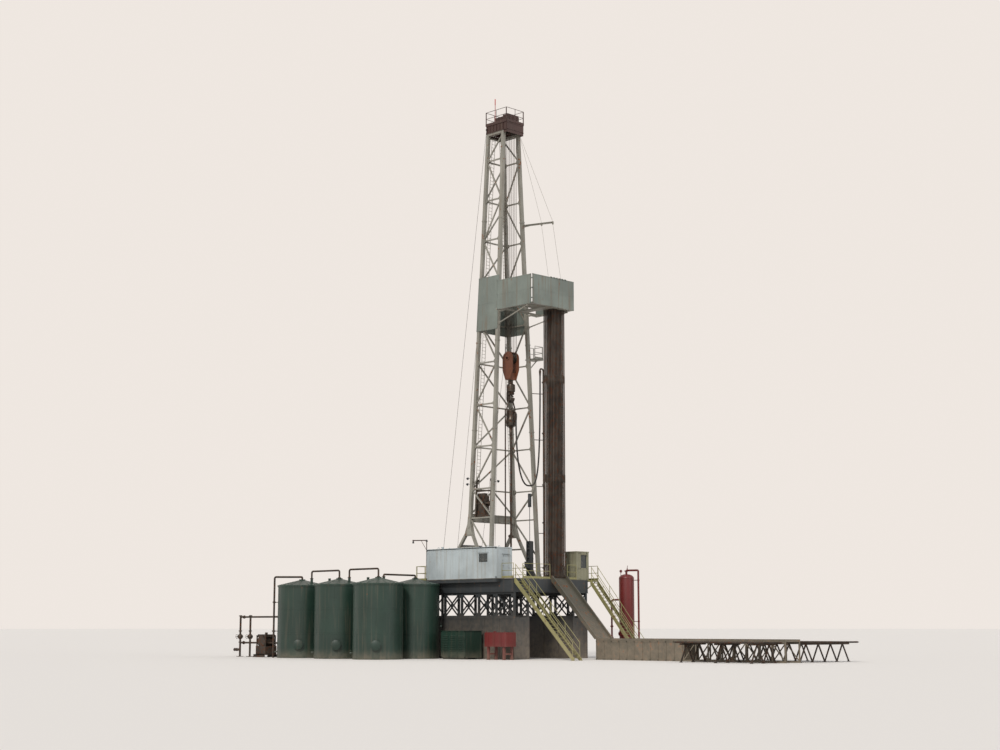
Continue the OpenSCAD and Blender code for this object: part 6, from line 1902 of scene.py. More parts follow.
class RIG_OT_floor_machines(bpy.types.Operator):
    """Drawworks with its wound drum, rotary table, tongs, power wrench and the mast's stays"""

    bl_idname = "rig.floor_machines"
    bl_label = "Floor machines"

    hood_outline = (
        (0.06, 0.89), (0.42, 0.89), (0.42, 1.34), (0.36, 1.46), (0.26, 1.515), (0.16, 1.515), (0.09, 1.46),
        (0.06, 1.34),
    )
    kelly_hole = 0.052
    axle_height = 0.56
    drum_radius = 0.21
    tong_post = 7.2

    def execute(self, context):
        self.drawworks(context.scene.rig_sizes.rope_radius)
        self.rotary()
        self.tongs()
        self.wrench()
        self.stays()
        return {"FINISHED"}

    def drawworks(self, rope):
        low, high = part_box("drawworks")
        axle = Vector(((low.x + high.x) / 2, (low.y + high.y) / 2, FLOOR_Z + self.axle_height))
        w = (high.y - low.y) / 2
        self.drawworks_frame(low, high, axle, w)
        drum = Shape(Matrix.Translation(axle))
        drum.rod((0, 0.2 - w, 0), (0, w - 0.2, 0), 0.2, 28)
        flange = [(0.1, -0.02), (0.36, -0.02), (0.37, -0.03), (0.37, 0.03), (0.36, 0.02), (0.1, 0.02)]
        for s in (-1, 1):
            centre = (0, s * (w - 0.24), 0)
            drum.lathe(flange, centre, Y * s, 36, True)
            drum.collar(centre, Y * s, 0.372, 0.382, -0.028, 0.028, 36)
        piece("drawworks_drum", "greased_steel", drum)
        places = Places()
        span = 2 * (w - 0.27)
        places.face(axle - Y * span / 2, Y)
        turns = span / (2 * rope + 0.0008)
        sizes = {"drum_radius": self.drum_radius, "width": span, "turns": turns, "rope_radius": rope}
        coil = grow("winding", places.mesh(), **sizes)
        piece("drawworks_rope", "wire_rope", None, [coil])

    def drawworks_frame(self, low, high, axle, w):
        """Skid, two arched stands with bearings, and the hood with its ribs."""
        shape, heads = Shape(), Places()
        for y in (low.y, low.y + 0.3, axle.y - 0.04, high.y - 0.38, high.y - 0.08):
            shape.box((low.x, y, FLOOR_Z), (high.x, y + 0.08, FLOOR_Z + 0.09))
        for x in (low.x, high.x - 0.06):
            shape.box((x, low.y, FLOOR_Z), (x + 0.06, high.y, FLOOR_Z + 0.09))
        x0, x1 = low.x + 0.02, high.x - 0.02
        arch = [(x0, 0.09), (x1, 0.09), (x1, 0.5)]
        arch += arc((axle.x, 0.5), ((x1 - x0) / 2, 0.4), 0, math.pi, 14)[1:-1] + [(x0, 0.5)]
        bearing = [(0.0, 0.09), (0.2, 0.09), (0.19, 0.108), (0.08, 0.11), (0.07, 0.108), (0.0, 0.108)]
        for s in (-1, 1):
            y = axle.y + s * (w - 0.11)
            shape.prism([(x, y - 0.09, FLOOR_Z + z) for x, z in arch], Y * 0.18)
            for a in angles(10):
                heads.face((axle.x + 0.16 * math.cos(a), y + s * 0.093, axle.z + 0.16 * math.sin(a)), Y * s)
            shape.lathe(bearing, (axle.x, y, axle.z), Y * s, 28)
        hood = [(low.x + x, FLOOR_Z + z) for x, z in self.hood_outline]
        shape.prism([(x, low.y + 0.04, z) for x, z in hood], Y * (2 * w - 0.08))
        ribs = [(low.x + 0.01 + x * 0.97, FLOOR_Z + 0.005 + z) for x, z in self.hood_outline]
        for y in spread(low.y + 0.04, high.y - 0.04, 11)[1:-1]:
            shape.prism([(x, y - 0.006, z) for x, z in ribs], Y * 0.012)
        piece("drawworks_frame", "dark_steel", shape, [bolts(heads, 0.014)], replaces=["drawworks"])

    def rotary(self):
        """Turning table with its master bushing and the kelly bushing's rollers."""
        hole = self.kelly_hole
        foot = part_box("rotary_table")[0].z - FLOOR_Z
        shape, heads = Shape(Matrix.Translation((WELL.x, WELL.y, FLOOR_Z))), Places()
        table = [
            (hole, foot), (0.318, foot), (0.3195, -0.02), (0.3195, 0.01), (0.31, 0.02), (0.2, 0.02),
            (0.19, 0.012), (0.16, 0.012), (0.15, 0.03), (0.15, 0.065), (0.14, 0.07), (hole, 0.07),
        ]
        shape.lathe(table, sides=40, closed=True)
        bushing = [(hole, 0.06), (0.105, 0.06), (0.12, 0.075), (0.12, 0.12), (0.1, 0.13), (hole, 0.13)]
        shape.lathe(bushing, sides=8, closed=True)
        for a in angles(4):
            turn = Matrix.Rotation(a, 3, "Z")
            roller = turn @ Vector((0.09, 0, 0.146))
            shape.rod(roller - turn @ Y * 0.05, roller + turn @ Y * 0.05, 0.026, 16)
            for s in (-1, 1):
                cheek = roller + turn @ Vector((0, s * 0.06, -0.01))
                shape.bar(cheek - Z * 0.02, cheek + Z * 0.035, 0.018, 0.04)
            heads.face(turn @ Vector((0.075, 0.075, 0.134)), Z, shape.place)
        for a in angles(16):
            heads.face(around(a, 0.255, 0.024), Z, shape.place)
        piece("rotary_top", "hoist_rust", shape, [bolts(heads, 0.013)], "rotary", ["rotary_table"])

    def tongs(self):
        """A pipe tong on the post behind the well, and one that hangs from the crown."""
        shape, lines = Shape(), []
        beam_x = WELL.x - SHEAVE_R - 0.115
        post = at(0.058, 0.062, FLOOR_Z)
        top = self.tong_post
        column = [(0.0, 0), (0.045, 0), (0.045, 0.03), (0.028, 0.032)]
        column += [(0.028, top - 0.02), (0.02, top), (0.0, top)]
        shape.lathe(column, post, Z, 16)
        bead = [(0.027, -0.02), (0.034, -0.018), (0.034, 0.018), (0.027, 0.02)]
        for z in (2.4, 4.8):
            shape.lathe(bead, post + Z * z, Z, 16, True)
        lines.append((post + Z * (top - 0.05), Vector((beam_x, MAST.y + 0.02, CROWN_Z + 0.0196))))
        self.tong(shape, post + Z * 0.9, -0.3, 0.06)
        hung = Vector((beam_x, MAST.y + TOP_HALF - LEG / 2 - 0.03, FLOOR_Z + 1.9))
        lines.append((hung + Z * 0.1, Vector((hung.x, hung.y, CROWN_Z + 0.02 - GAP))))
        self.tong(shape, hung, -0.18, 0.18)
        piece("hanging_tongs", "greased_steel", shape, [tubes(lines, 0.007, 6)], replaces=["tong_lines"])

    def tong(self, shape, p, near, far):
        """Jaw and arm of a pipe tong, along Y from near to far of its post."""
        hub = [(0.0, -0.14), (0.03, -0.13), (0.043, -0.1), (0.043, 0.08), (0.03, 0.11), (0.0, 0.12)]
        shape.lathe(hub, p, Z, 14)
        outline = [
            (0.039, 0.03), (0.039, -0.12), (0.02, near * 0.67), (0.032, near * 0.9), (0.013, near),
            (-0.013, near * 0.9), (-0.004, near * 0.67), (-0.026, -0.1), (-0.026, far),
        ]
        shape.prism([p + Vector((x, y, -0.11)) for x, y in outline], Z * 0.09)
        shape.rod(p - Vector((0, 0.1, 0.13)), p - Vector((0, 0.1, 0)), 0.018, 10)

    def wrench(self):
        """Power wrench on its column."""
        place = Matrix.Translation((WELL.x + 0.03, MAST.y + BASE_HALF - 0.33, FLOOR_Z))
        shape, heads = Shape(place), Places()
        shape.box((-0.16, -0.13, 0), (0.16, 0.13, 0.04))
        for s in (-1, 1):
            shape.box((s * 0.1 - 0.025, -0.09, 0.04), (s * 0.1 + 0.025, 0.09, 1.64))
            shape.rod((s * 0.055, 0, 0.04), (s * 0.055, 0, 1.6), 0.016, 10)
        for level in (0.3, 0.95, 1.3, 1.6):
            shape.box((-0.1, -0.08, level), (0.1, 0.08, level + 0.05))
        shape.box((-0.19, -0.18, 0.5), (0.1, 0.08, 0.6))
        shape.box((-0.16, -0.16, 0.62), (0.08, 0.06, 0.79))
        shape.collar((-0.06, -0.1, 0.6), Z, 0.03, 0.09, 0, 0.1, 20)
        for x in (-0.13, 0.13):
            for y in (-0.1, 0.1):
                heads.face((x, y, 0.044), Z, place)
        hose = [(0.08, 0.05, 0.7), (0.14, 0.07, 0.9), (0.06, 0.08, 1.2), (0.08, 0.07, 1.55)]
        shape.pipe(rounded(hose, 0.1), 0.012, 8)
        shape.rod((0, 0, 1.64), (0, 0, 3.1), 0.014, 10)
        weight = [(0.0, 3.08), (0.07, 3.08), (0.075, 3.09), (0.075, 3.64), (0.07, 3.65), (0.0, 3.65)]
        shape.lathe(weight, sides=16)
        piece("power_wrench", "dark_steel", shape, [bolts(heads)])

    def stays(self):
        """Stays from the mast down to the floor, with their anchors."""
        shape, lines = Shape(), []
        leg_z = BOARD_Z - 0.86
        top_x, top_y = -TOP_DEPTH - 0.04, TOP_HALF + 0.085 + GAP
        rear = FLOOR_REAR - MAST.x
        runs = [
            ((top_x, -top_y, CROWN_Z + 0.2), (rear + 0.025, -BASE_HALF - 0.0325, FLOOR_Z + 0.025), 0.024),
            ((top_x, top_y, CROWN_Z + 0.2), (rear + 0.08, FLOOR_FAR - MAST.y - 0.51, FLOOR_Z + 0.04), 0.045),
        ]
        for s in (-1, 1):
            leg = (-half_d(leg_z) - LEG / 2 - 0.03, s * half_w(leg_z), leg_z)
            runs.append((leg, (rear + 0.08, s * 0.69, FLOOR_Z + 0.04), 0.045))
        for top, foot, half in runs:
            a, b = at(*top), at(*foot)
            lines.append((a, b))
            shape.box(b - Vector((half, half, b.z - FLOOR_Z)), b + Vector((half, half, 0)))
            along = (a - b).normalized()
            shape.rod(b + along * 0.05, b + along * 0.32, 0.018, 8)
            shape.rod(b + along * 0.4, b + along * 0.46, 0.02, 8)
            shape.box(a - Vector((0.028, 0.02, 0.04)), a + Vector((0.028, 0.02, 0.04)))
        piece("mast_stays", "wire_rope", shape, [tubes(lines, 0.0065, 6)], replaces=["stays"])


# Ramp, catwalk and racks


class RIG_OT_pipe_handling(bpy.types.Operator):
    """Ramp skids, catwalk stiffeners and the joints of pipe on the racks"""

    bl_idname = "rig.pipe_handling"
    bl_label = "Ramp, catwalk and racks"

    pipe_r = 0.032
    pipe_step = 0.09
    far_length = 6.5
    near_length = 3.84

    def execute(self, context):
        self.ramp()
        self.catwalk()
        self.pipes(context.scene.rig_sizes.pipe_sides)
        return {"FINISHED"}

    def ramp(self):
        low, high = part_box("pipe_ramp")
        top = Vector((FLOOR_FRONT + 0.004, 0, FLOOR_Z))
        foot = Vector((high.x - 0.03, 0, low.z))
        shape = Shape()
        for y in spread(low.y + 0.12, high.y - 0.12, 9):
            shape.bar(top + Y * y + Z * 0.002, foot + Y * y + Z * 0.004, 0.02, 0.012)
        for i in range(1, 8):
            p = top.lerp(foot, i / 8) - Z * 0.07
            shape.box((p.x - 0.03, low.y + 0.05, p.z - 0.06), (p.x + 0.03, high.y - 0.05, p.z - 0.005))
        for y in (low.y + 0.03, high.y - 0.03):
            shape.bar(top + Y * y + Z * 0.128, foot + Y * y + Z * 0.065, 0.07, 0.012)
        piece("ramp_skids", "ramp_steel", shape)

    def catwalk(self):
        low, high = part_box("catwalk")
        closed = low.x + 4.35
        middle = (low.y + high.y) / 2
        shape, heads = Shape(), Places()
        for y, out in ((low.y + 0.005, -1), (high.y - 0.005, 1)):
            face = y + out * 0.012
            for x in spread(low.x + 0.03, closed - 0.03, 12):
                shape.box((x - 0.02, y, 0.0), (x + 0.02, face, high.z - 0.05))
            for z in (0.0, high.z - 0.11):
                shape.box((low.x + 0.005, y, z), (closed, face, z + 0.05))
        for y in (low.y, high.y - 0.02):
            shape.box((low.x, y, high.z), (high.x, y + 0.02, high.z + 0.03))
        for y in (middle - 0.14, middle + 0.12):
            shape.box((low.x + 0.1, y, high.z), (high.x - 0.1, y + 0.02, high.z + 0.014))
        for x in spread(low.x + 0.1, high.x - 0.1, 30):
            for y in (low.y + 0.05, high.y - 0.05):
                heads.face((x, y, high.z + 0.004), Z)
        piece("catwalk_ribs", "ramp_steel", shape, [bolts(heads)])

    def pipes(self, sides):
        """Joints of pipe with box and pin ends, lying on both racks."""
        low, catwalk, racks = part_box("rack_pipes")[0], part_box("catwalk"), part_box("pipe_racks")
        near_x = catwalk[1].x - 3.79
        z, step = low.z + self.pipe_r, self.pipe_step
        far, near = Places(), Places()
        lie = upright(X)
        # Shift and length of the far rack's pipes, in turn
        thirds = ((0.0, 6.5), (0.09, 6.41), (0.2, 6.24))
        for i in range(int((racks[1].y - catwalk[1].y - 0.3) / step + 1e-6)):
            shift, length = thirds[i % 3]
            point = (low.x + shift, catwalk[1].y + 0.21 + i * step, z)
            far.add(point, lie, (1, 1, length / self.far_length))
        for i in range(int((catwalk[0].y - racks[0].y - 0.3) / step + 1e-6)):
            shift = 0.08 * (i % 2)
            stretch = (self.near_length - shift) / self.near_length
            near.add((near_x + shift, racks[0].y + 0.13 + i * step, z), lie, (1, 1, stretch))
        lengths = ((self.far_length, far), (self.near_length, near))
        grown = [copies(self.joint(length, sides), places) for length, places in lengths]
        piece("racked_joints", "pipe_steel", None, grown, replaces=["rack_pipes"])

    def joint(self, length, sides):
        r = self.pipe_r
        near_end = [(0.55, 0.05), (0.6, 0.0), (0.97, 0.008), (1, 0.02), (1, 0.14), (0.86, 0.2)]
        far_end = [
            (0.86, -0.2), (1, -0.15), (1, -0.05), (0.7, -0.045), (0.55, 0), (0.45, 0), (0.45, -0.03),
        ]
        unit = Shape()
        ends = ((near_end, 0), (far_end, length))
        unit.lathe([(r * share, start + z) for end, start in ends for share, z in end], sides=sides)
        return unit


# Tanks and vessels


class RIG_OT_separator(bpy.types.Operator):
    """Red gas separator on its skid, with nozzles, valves, the gauge and its vent pipe"""

    bl_idname = "rig.separator"
    bl_label = "Gas separator"

    centre = at(3.53, 3.75, 0)
    radius = 0.317
    top = 3.46

    def execute(self, context):
        r, top = self.radius, self.top
        head = r * 0.55
        shape, heads = Shape(Matrix.Translation(self.centre)), Places()
        dish = arc((0, 0.42), (r, 0.12), -math.pi / 2, math.pi / 2, 6)
        dome = arc((0, top - head), (r, head), 0, math.pi / 2, 10)
        shape.lathe([(0.0, 0.3)] + dish[1:] + dome[:-1] + [(0.0, top)], sides=48)
        seam = [(r - 0.004, -0.008), (r + 0.004, -0.006), (r + 0.004, 0.006), (r - 0.004, 0.008)]
        for z in (0.43, 1.4, 2.4, top - head - 0.01):
            shape.lathe(seam, (0, 0, z), Z, 48, True)
        for a in angles(4, math.pi / 4):
            p = around(a, r - 0.03)
            shape.bar(p + Z * 0.11, p + Z * 0.6, 0.07, 0.05)
            shape.box(p + Vector((-0.06, -0.06, 0.11)), p + Vector((0.06, 0.06, 0.125)))
        self.nozzle(shape, heads, Z * (top - 0.03), Z, 0.045, 0.13)
        self.nozzle(shape, heads, Vector((0, -r + 0.02, 1.0)), -Y, 0.06, 0.1)
        self.nozzle(shape, heads, Vector((r - 0.02, 0, 0.75)), X, 0.04, 0.1)
        self.skid(shape)
        piece("separator_vessel", "vessel_red", shape, [bolts(heads)], replaces=["gas_separator"])
        self.pipework(r, top)
        return {"FINISHED"}

    def nozzle(self, shape, heads, p, axis, bore, reach):
        """Short pipe with a bolted blind flange."""
        rim = bore * 1.75
        profile = [(bore, 0), (bore, reach), (rim, reach), (rim, reach + 0.02), (rim, reach + 0.042)]
        shape.lathe(profile + [(0, reach + 0.042)], p, axis, 20)
        turn = upright(axis)
        for a in angles(8, 0.2):
            heads.face(p + turn @ around(a, bore * 1.42, reach + 0.045), axis, shape.place)

    def skid(self, shape):
        """Two beams, two cross beams and the plate under the vessel."""
        for s in (-1, 1):
            y = s * 0.3
            for z in (0.0, 0.128):
                shape.box((-0.56, y - 0.06, z), (0.56, y + 0.06, z + 0.012))
            shape.box((-0.56, y - 0.006, 0), (0.56, y + 0.006, 0.14))
            shape.box((s * 0.48 - 0.06, -0.3, 0), (s * 0.48 + 0.06, 0.3, 0.11))
        shape.box((-0.38, -0.38, 0.11), (0.38, 0.38, 0.125))

    def pipework(self, r, top):
        """Vent pipe, inlet pipe with its valve, the relief lever and the gauge."""
        pipes = Shape(Matrix.Translation(self.centre))
        vent = Vector((r + 0.23, 0.12, 0))
        path = [(0, 0, top + 0.1), (0, 0, top + 0.15), vent + Z * (top + 0.15), vent]
        pipes.pipe(rounded(path, 0.05, 6), 0.041, 16)
        pipes.lathe([(0.0, 0), (0.09, 0), (0.09, 0.015), (0.041, 0.018)], vent, Z, 20)
        for z in (top - 0.26, 1.5):
            pipes.rod((r * 0.9, 0.08, z), vent + Z * z, 0.014, 10)
            pipes.collar(vent + Z * z, Z, 0.04, 0.052, -0.02, 0.02, 16)
        inlet = Vector((-r - 0.48, -0.04, 0))
        pipes.pipe(rounded([(-r + 0.02, -0.04, 2.4), inlet + Z * 2.4, inlet], 0.1, 6), 0.0385, 16)
        for z in (0.35, 1.3):
            pipes.collar(inlet + Z * z, Z, 0.036, 0.066, -0.03, 0.03, 18)
        valve = inlet + Z * 0.8
        pipes.lathe([(0.0, -0.09), (0.06, -0.07), (0.075, 0.0), (0.06, 0.07), (0.0, 0.09)], valve, Z, 18)
        pipes.rod(valve, valve - Y * 0.15, 0.014, 10)
        pipes.wheel(valve - Y * 0.16, -Y, 0.085)
        lever = Vector((0.05, 0, top + 0.15))
        pipes.rod(lever, lever + Z * 0.1, 0.02, 10)
        pipes.bar(lever + Z * 0.1, lever + Vector((0.05, -0.03, 0.2)), 0.016, 0.016)
        gauge = Vector((-0.2, -0.12, top - 0.05))
        pipes.rod(gauge - Z * 0.06, gauge + Z * 0.13, 0.012, 8)
        dial = [(0.0, -0.02), (0.055, -0.02), (0.06, 0.0), (0.055, 0.02), (0.0, 0.016)]
        pipes.lathe(dial, gauge + Z * 0.17, Vector((0.7, -0.7, 0)), 20)
        piece("separator_pipes", "vessel_red", pipes)


class RIG_OT_tanks(bpy.types.Operator):
    """Seams, rims, manways and drain valves of the mud tanks, and the pipes over and between them"""

    bl_idname = "rig.tanks"
    bl_label = "Mud tanks"

    radius = 1.0
    rim_radius = 1.03
    pitch = 2.45
    cone_rise = (0.225 - 0.012) / 0.9
    pipe_r = 0.041

    def spots(self):
        """Feet of the four tanks' axes."""
        row = [FIRST_TANK + X * self.pitch * i for i in range(3)]
        return row + [row[2] + Vector((-0.15, 2.125, 0))]

    def execute(self, context):
        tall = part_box("tank_shells")[1].z
        shape, heads = Shape(), Places()
        for number, centre in enumerate(self.spots()):
            shape.place = Matrix.Translation(centre)
            self.seams(shape, heads, tall, number)
            self.manway(shape, heads, -math.pi / 4 if number < 3 else math.pi)
            self.drain(shape, math.radians(225), 0.25)
        self.drain(shape, math.radians(45), 1.3)
        piece("tank_seams", "tank_paint", shape, [bolts(heads, 0.012)])
        self.pipes(tall)
        return {"FINISHED"}

    def seams(self, shape, heads, tall, number):
        """Level and upright seams, the bolted rim and the roof's spokes of one tank."""
        seam = [(0.998, -0.012), (1.006, -0.01), (1.006, 0.01), (0.998, 0.012)]
        for z in (0.02, tall / 3, tall * 2 / 3):
            shape.lathe(seam, (0, 0, z), Z, 96, True)
        shape.collar((0, 0, tall - 0.058), Z, self.radius, self.rim_radius, -0.012, 0, 96)
        for band in range(3):
            bottom, top = tall * band / 3 + 0.02, tall * (band + 1) / 3 - 0.01
            for a in angles(3, 0.5 + 0.9 * band + number):
                shape.rod(around(a, self.radius, bottom), around(a, self.radius, top), 0.006, 6)
        eaves = tall + 0.012
        for a in angles(16):
            shape.bar(around(a, 0.98, eaves), around(a, 0.14, eaves + 0.84 * self.cone_rise), 0.012, 0.016)
        for a in angles(32, 0.1):
            heads.face(around(a, 1.015, tall + 0.004), Z, shape.place)

    def manway(self, shape, heads, a):
        """Round cover low on a tank's wall."""
        p, way = around(a, 0.99, 0.55), around(a)
        profile = [(0.15, 0), (0.15, 0.09), (0.2, 0.09), (0.2, 0.125), (0.19, 0.13), (0.0, 0.13)]
        shape.lathe(profile, p, way, 28)
        turn = upright(way)
        for b in angles(12):
            heads.face(p + turn @ around(b, 0.175, 0.132), way, shape.place)

    def drain(self, shape, a, z):
        """Small valve on a tank's wall."""
        foot, tip, valve = [around(a, self.radius - 0.005 + reach, z) for reach in (0, 0.11, 0.07)]
        shape.rod(foot, tip, 0.022, 12)
        body = [(0.0, -0.05), (0.035, -0.045), (0.042, 0.0), (0.035, 0.045), (0.0, 0.05)]
        shape.lathe(body, valve, around(a), 14)
        shape.rod(valve, valve + Z * 0.1, 0.009, 8)
        shape.wheel(valve + Z * 0.1, Z, 0.045)

    def pipes(self, tall):
        """Riser at the first tank, and the pipes from roof to roof."""
        spots = self.spots()
        roof = tall + 2 * GAP
        hub = roof + 0.225
        base, nozzle = hub + 0.03, roof + 0.26
        ahead = [X * self.pitch * 0.26, X * self.pitch * 0.26, Y * self.pitch * 0.115]
        shape = Shape()
        side = spots[0] - (X + Y) * (self.radius + 0.03) * 0.8
        wall = spots[0] - (X + Y).normalized() * 0.99
        top = Z * (hub + 0.13)
        run = [side, side + top, spots[0] + top, spots[0] + Z * base]
        shape.pipe(rounded(run, 0.07, 6), self.pipe_r, 16)
        for z in (1.1, 2.3):
            shape.collar(side + Z * z, Z, 0.04, 0.066, -0.03, 0.03, 18)
            shape.bar(side + Z * z, wall + Z * z, 0.03, 0.03)
        for before, spot, step, rise in zip(spots, spots[1:], ahead, (0.35, 0.37, 0.14)):
            start, level = before + step, Z * (hub + rise)
            run = [start + Z * nozzle, start + level, spot + level, spot + Z * base]
            shape.pipe(rounded(run, 0.08, 6), self.pipe_r * 0.9, 16)
            for p in (start + Z * nozzle, spot + Z * (base + 0.005)):
                shape.collar(p, Z, 0.036, 0.07, 0, 0.03, 18)
        piece("tank_pipework", "pipe_steel", shape, replaces=["tank_pipes"])


class RIG_OT_skids(bpy.types.Operator):
    """The machine house with its slatted openings, the fuel tank, and the pump with its manifold"""

    bl_idname = "rig.skids"
    bl_label = "Machine house, fuel tank and manifold"

    riser_pitch = 0.715
    pipe_r = 0.055
    valve_height = 0.86
    feed_heights = (0.6, 1.7)
    tank_w = 1.2
    tank_d = 0.62
    tank_edge = 0.06

    def execute(self, context):
        self.machine_house()
        self.fuel_tank()
        self.manifold()
        return {"FINISHED"}

    def machine_house(self):
        """House on two runners, with framed walls and slatted openings."""
        low, high = at(-0.3, -3.25, 0.06), at(1.1, -2.35, 1.125)
        shape, slats = Shape(), Places()
        shape.box(low, high - Z * 0.012)
        for y in (low.y + 0.05, low.y + 0.69):
            shape.box((low.x + 0.05, y, 0), (high.x - 0.05, y + 0.16, 0.07))
        for y, out in ((low.y, -1), (high.y, 1)):
            face = y + out * 0.012
            for x in spread(low.x, high.x, 4):
                x = min(x, high.x - 0.04)
                shape.box((x, y, low.z), (x + 0.04, face, high.z))
            for z in (low.z, high.z - 0.05):
                shape.box((low.x, y, z), (high.x, face, z + 0.05))
            for x in spread(low.x, high.x, 7)[1::2]:
                for j in range(9):
                    slat = (x, y + out * 0.006, low.z + 0.3 + j * 0.07)
                    slats.add(slat, Matrix.Rotation(out * 0.6, 3, "X"))
        for x, out in ((low.x, -1), (high.x, 1)):
            for y in (low.y, low.y + 0.43, high.y - 0.04):
                shape.box((x, y, low.z), (x + out * 0.012, y + 0.04, high.z))
        shape.box((low.x - 0.03, low.y - 0.03, high.z - 0.012), (high.x + 0.03, high.y + 0.03, high.z))
        unit = Shape()
        unit.box((-0.19, -0.004, -0.03), (0.19, 0.004, 0.03))
        piece("machine_house", "tank_paint", shape, [copies(unit, slats)], replaces=["power_house"])

    def fuel_tank(self):
        """Red tank with rounded edges on its stand, with straps, lifting eyes and a filler."""
        shape = Shape(Matrix.Translation(at(2.0, -3.1, 0)))
        edge, w, d = self.tank_edge, self.tank_w, self.tank_d
        ring = []
        corners = ((w - edge, d - edge), (edge, d - edge), (edge, edge), (w - edge, edge))
        for quarter, (x, y) in enumerate(corners):
            for a in angles(5, quarter * math.pi / 2, math.radians(112.5)):
                ring.append((x + edge * math.cos(a), y + edge * math.sin(a)))
        shape.rings([[(x, y, z) for x, y in ring] for z in (0.51, 1.06)])
        for x in (0.12, 0.98):
            for y in (0.06, 0.48):
                shape.box((x, y, 0), (x + 0.09, y + 0.08, 0.52))
                shape.box((x - 0.03, y - 0.03, 0), (x + 0.12, y + 0.11, 0.012))
            shape.box((x + 0.01, 0.07, 0.2), (x + 0.08, 0.55, 0.26))
        for x in (0.25, 0.6, 0.95):
            shape.box((x - 0.02, -0.008, 0.505), (x + 0.02, d + 0.008, 1.065))
        filler = [(0.0, 0), (0.06, 0), (0.06, 0.03), (0.07, 0.035), (0.07, 0.05), (0.0, 0.055)]
        shape.lathe(filler, (0.3, 0.31, 1.05), Z, 20)
        for x in (0.1, 1.1):
            for y in (0.06, 0.56):
                loop = [(x - 0.03, y, 1.05), (x - 0.03, y, 1.1), (x + 0.03, y, 1.1), (x + 0.03, y, 1.05)]
                shape.pipe(rounded(loop, 0.02), 0.007, 6)
        piece("fuel_tank", "vessel_red", shape)

    def manifold(self):
        """Two valved risers with their pipes to the first tank, the open suction pipe and the pump."""
        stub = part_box("pump_and_manifold")[0].x
        y, r = FIRST_TANK.y - 0.2, self.pipe_r
        x1 = FIRST_TANK.x - 1.94
        riser_x = FIRST_TANK.x - 3.3 - self.riser_pitch
        shape, heads = Shape(), Places()
        for dy in (-0.3, 0.44):
            shape.box((x1 - 0.7, y + dy, 0), (x1 + 0.03, y + dy + 0.06, 0.12))
        shape.box((x1 - 0.7, y - 0.3, 0.09), (x1 + 0.03, y + 0.5, 0.12))
        self.pump(shape, heads, Vector((x1 - 0.67, y - 0.2, 0.12)))
        body = [(0, -0.12), (0.055, -0.11), (0.1, -0.06), (0.1, 0.06), (0.055, 0.11), (0, 0.12)]
        for x in (riser_x, riser_x + self.riser_pitch):
            valve = Vector((x, y, self.valve_height))
            shape.rod((x, y, 0), (x, y, 1.78), r * 0.8, 18)
            shape.box((x - 0.11, y - 0.11, 0), (x + 0.11, y + 0.11, 0.02))
            shape.lathe(body, valve, Y, 24)
            shape.rod(valve - Y * 0.1, valve - Y * 0.17, 0.015, 10)
            shape.wheel(valve - Y * 0.18, -Y, 0.09)
            for z in (0.62, 1.1, 1.75):
                shape.collar((x, y, z), Z, 0.04, 0.075, -0.02, 0.02, 20)
        end = FIRST_TANK.x - 1.06 - GAP
        for z in self.feed_heights:
            shape.rod((riser_x, y, z), (end, y, z), r * 0.7, 16)
            for x in (riser_x + 0.26, end - 0.25, end - 0.012):
                shape.collar((x, y, z), X, 0.036, 0.07, -0.02, 0.02, 20)
        shape.collar((stub, y, 0.3), X, 0.038, r, 0.0, riser_x - stub, 28)
        for x in (0.05, 0.2):
            shape.collar((stub + x, y, 0.3), X, r - 0.002, 0.07, -0.01, 0.01, 24)
        piece("manifold_valves", "pipe_steel", shape, [bolts(heads)], replaces=["pump_and_manifold"])

    def pump(self, shape, heads, corner):
        """Pump, gearbox and motor in a cradle."""
        shape.place = Matrix.Translation(corner)
        shape.box((0, 0, 0), (0.67, 0.6, 0.35))
        motor = Vector((0.335, 0.02, 0.54))
        shape.lathe([(0.0, 0), (0.25, 0), (0.25, 0.5), (0.23, 0.55), (0.0, 0.55)], motor, Y, 28)
        for i in range(7):
            shape.collar(motor + Y * (0.09 + i * 0.065), Y, 0.248, 0.266, -0.006, 0.006, 28)
        shape.box((0.06, 0.05, 0.72), (0.61, 0.55, 0.84))
        shape.rod((0.33, 0.3, 0.84), (0.33, 0.3, 0.92), 0.06, 16)
        for x in (0.04, 0.63):
            for y in (0.03, 0.55):
                shape.bar((x, y, 0.3), (x, y, 0.8), 0.05, 0.04)
                heads.face((x, y + 0.05, 0.354), Z, shape.place)
        shape.place = Matrix.Identity(4)


PIECE_OPERATORS = (
    RIG_OT_stage,
    RIG_OT_paint,
    RIG_OT_substructure,
    RIG_OT_floor_rails,
    RIG_OT_stairs,
    RIG_OT_houses,
    RIG_OT_mast,
    RIG_OT_wind_walls,
    RIG_OT_racking_board,
    RIG_OT_crown,
    RIG_OT_hoist,
    RIG_OT_mud_lines,
    RIG_OT_floor_machines,
    RIG_OT_pipe_handling,
    RIG_OT_separator,
    RIG_OT_tanks,
    RIG_OT_skids,
)


class RIG_PT_panel(bpy.types.Panel):
    """Lists the rig's pieces and their sizes and colours"""

    bl_idname = "RIG_PT_panel"
    bl_label = "Drilling rig"
    bl_space_type = "VIEW_3D"
    bl_region_type = "UI"
    bl_category = "Rig"

    def draw(self, context):
        layout = self.layout
        for group in (context.scene.rig_sizes, context.scene.rig_colours):
            for name in group.__annotations__:
                layout.prop(group, name)
        for operator in PIECE_OPERATORS:
            layout.operator(operator.bl_idname)


CLASSES = (RigSizes, RigColours, *PIECE_OPERATORS, RIG_PT_panel)


def register():
    for item in CLASSES:
        bpy.utils.register_class(item)
    bpy.types.Scene.rig_sizes = PointerProperty(type=RigSizes)
    bpy.types.Scene.rig_colours = PointerProperty(type=RigColours)


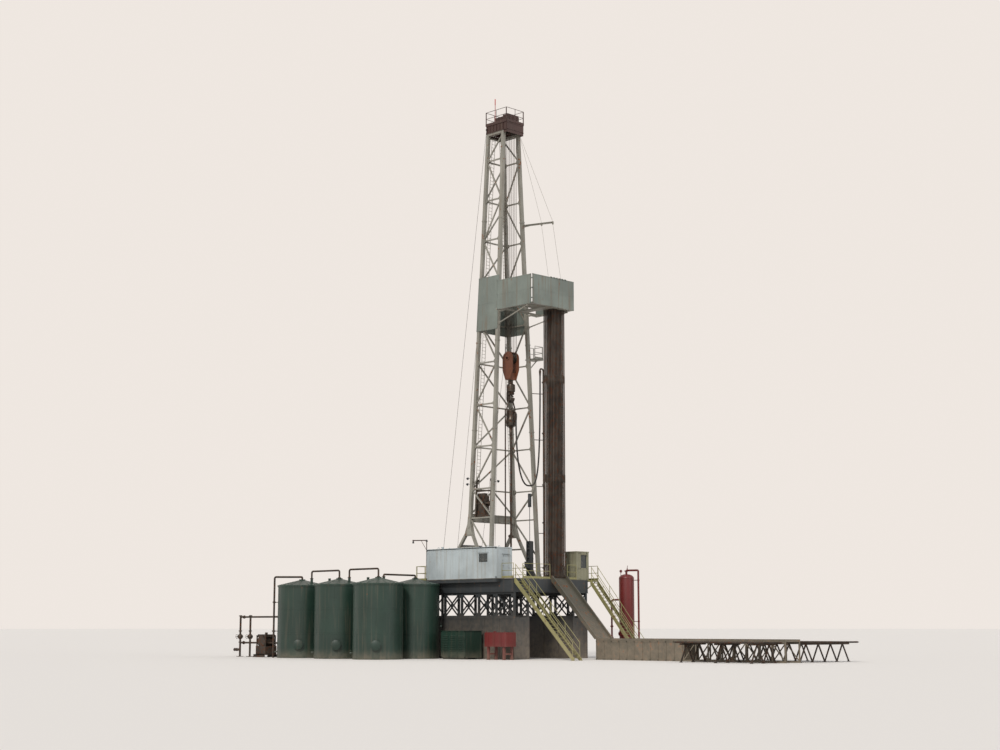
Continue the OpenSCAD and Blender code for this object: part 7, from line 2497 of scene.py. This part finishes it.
def unregister():
    del bpy.types.Scene.rig_colours
    del bpy.types.Scene.rig_sizes
    for item in reversed(CLASSES):
        bpy.utils.unregister_class(item)


def main():
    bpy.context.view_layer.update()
    register()
    for operator in PIECE_OPERATORS:
        group, name = operator.bl_idname.split(".")
        getattr(getattr(bpy.ops, group), name)()


if __name__ == "__main__":
    main()
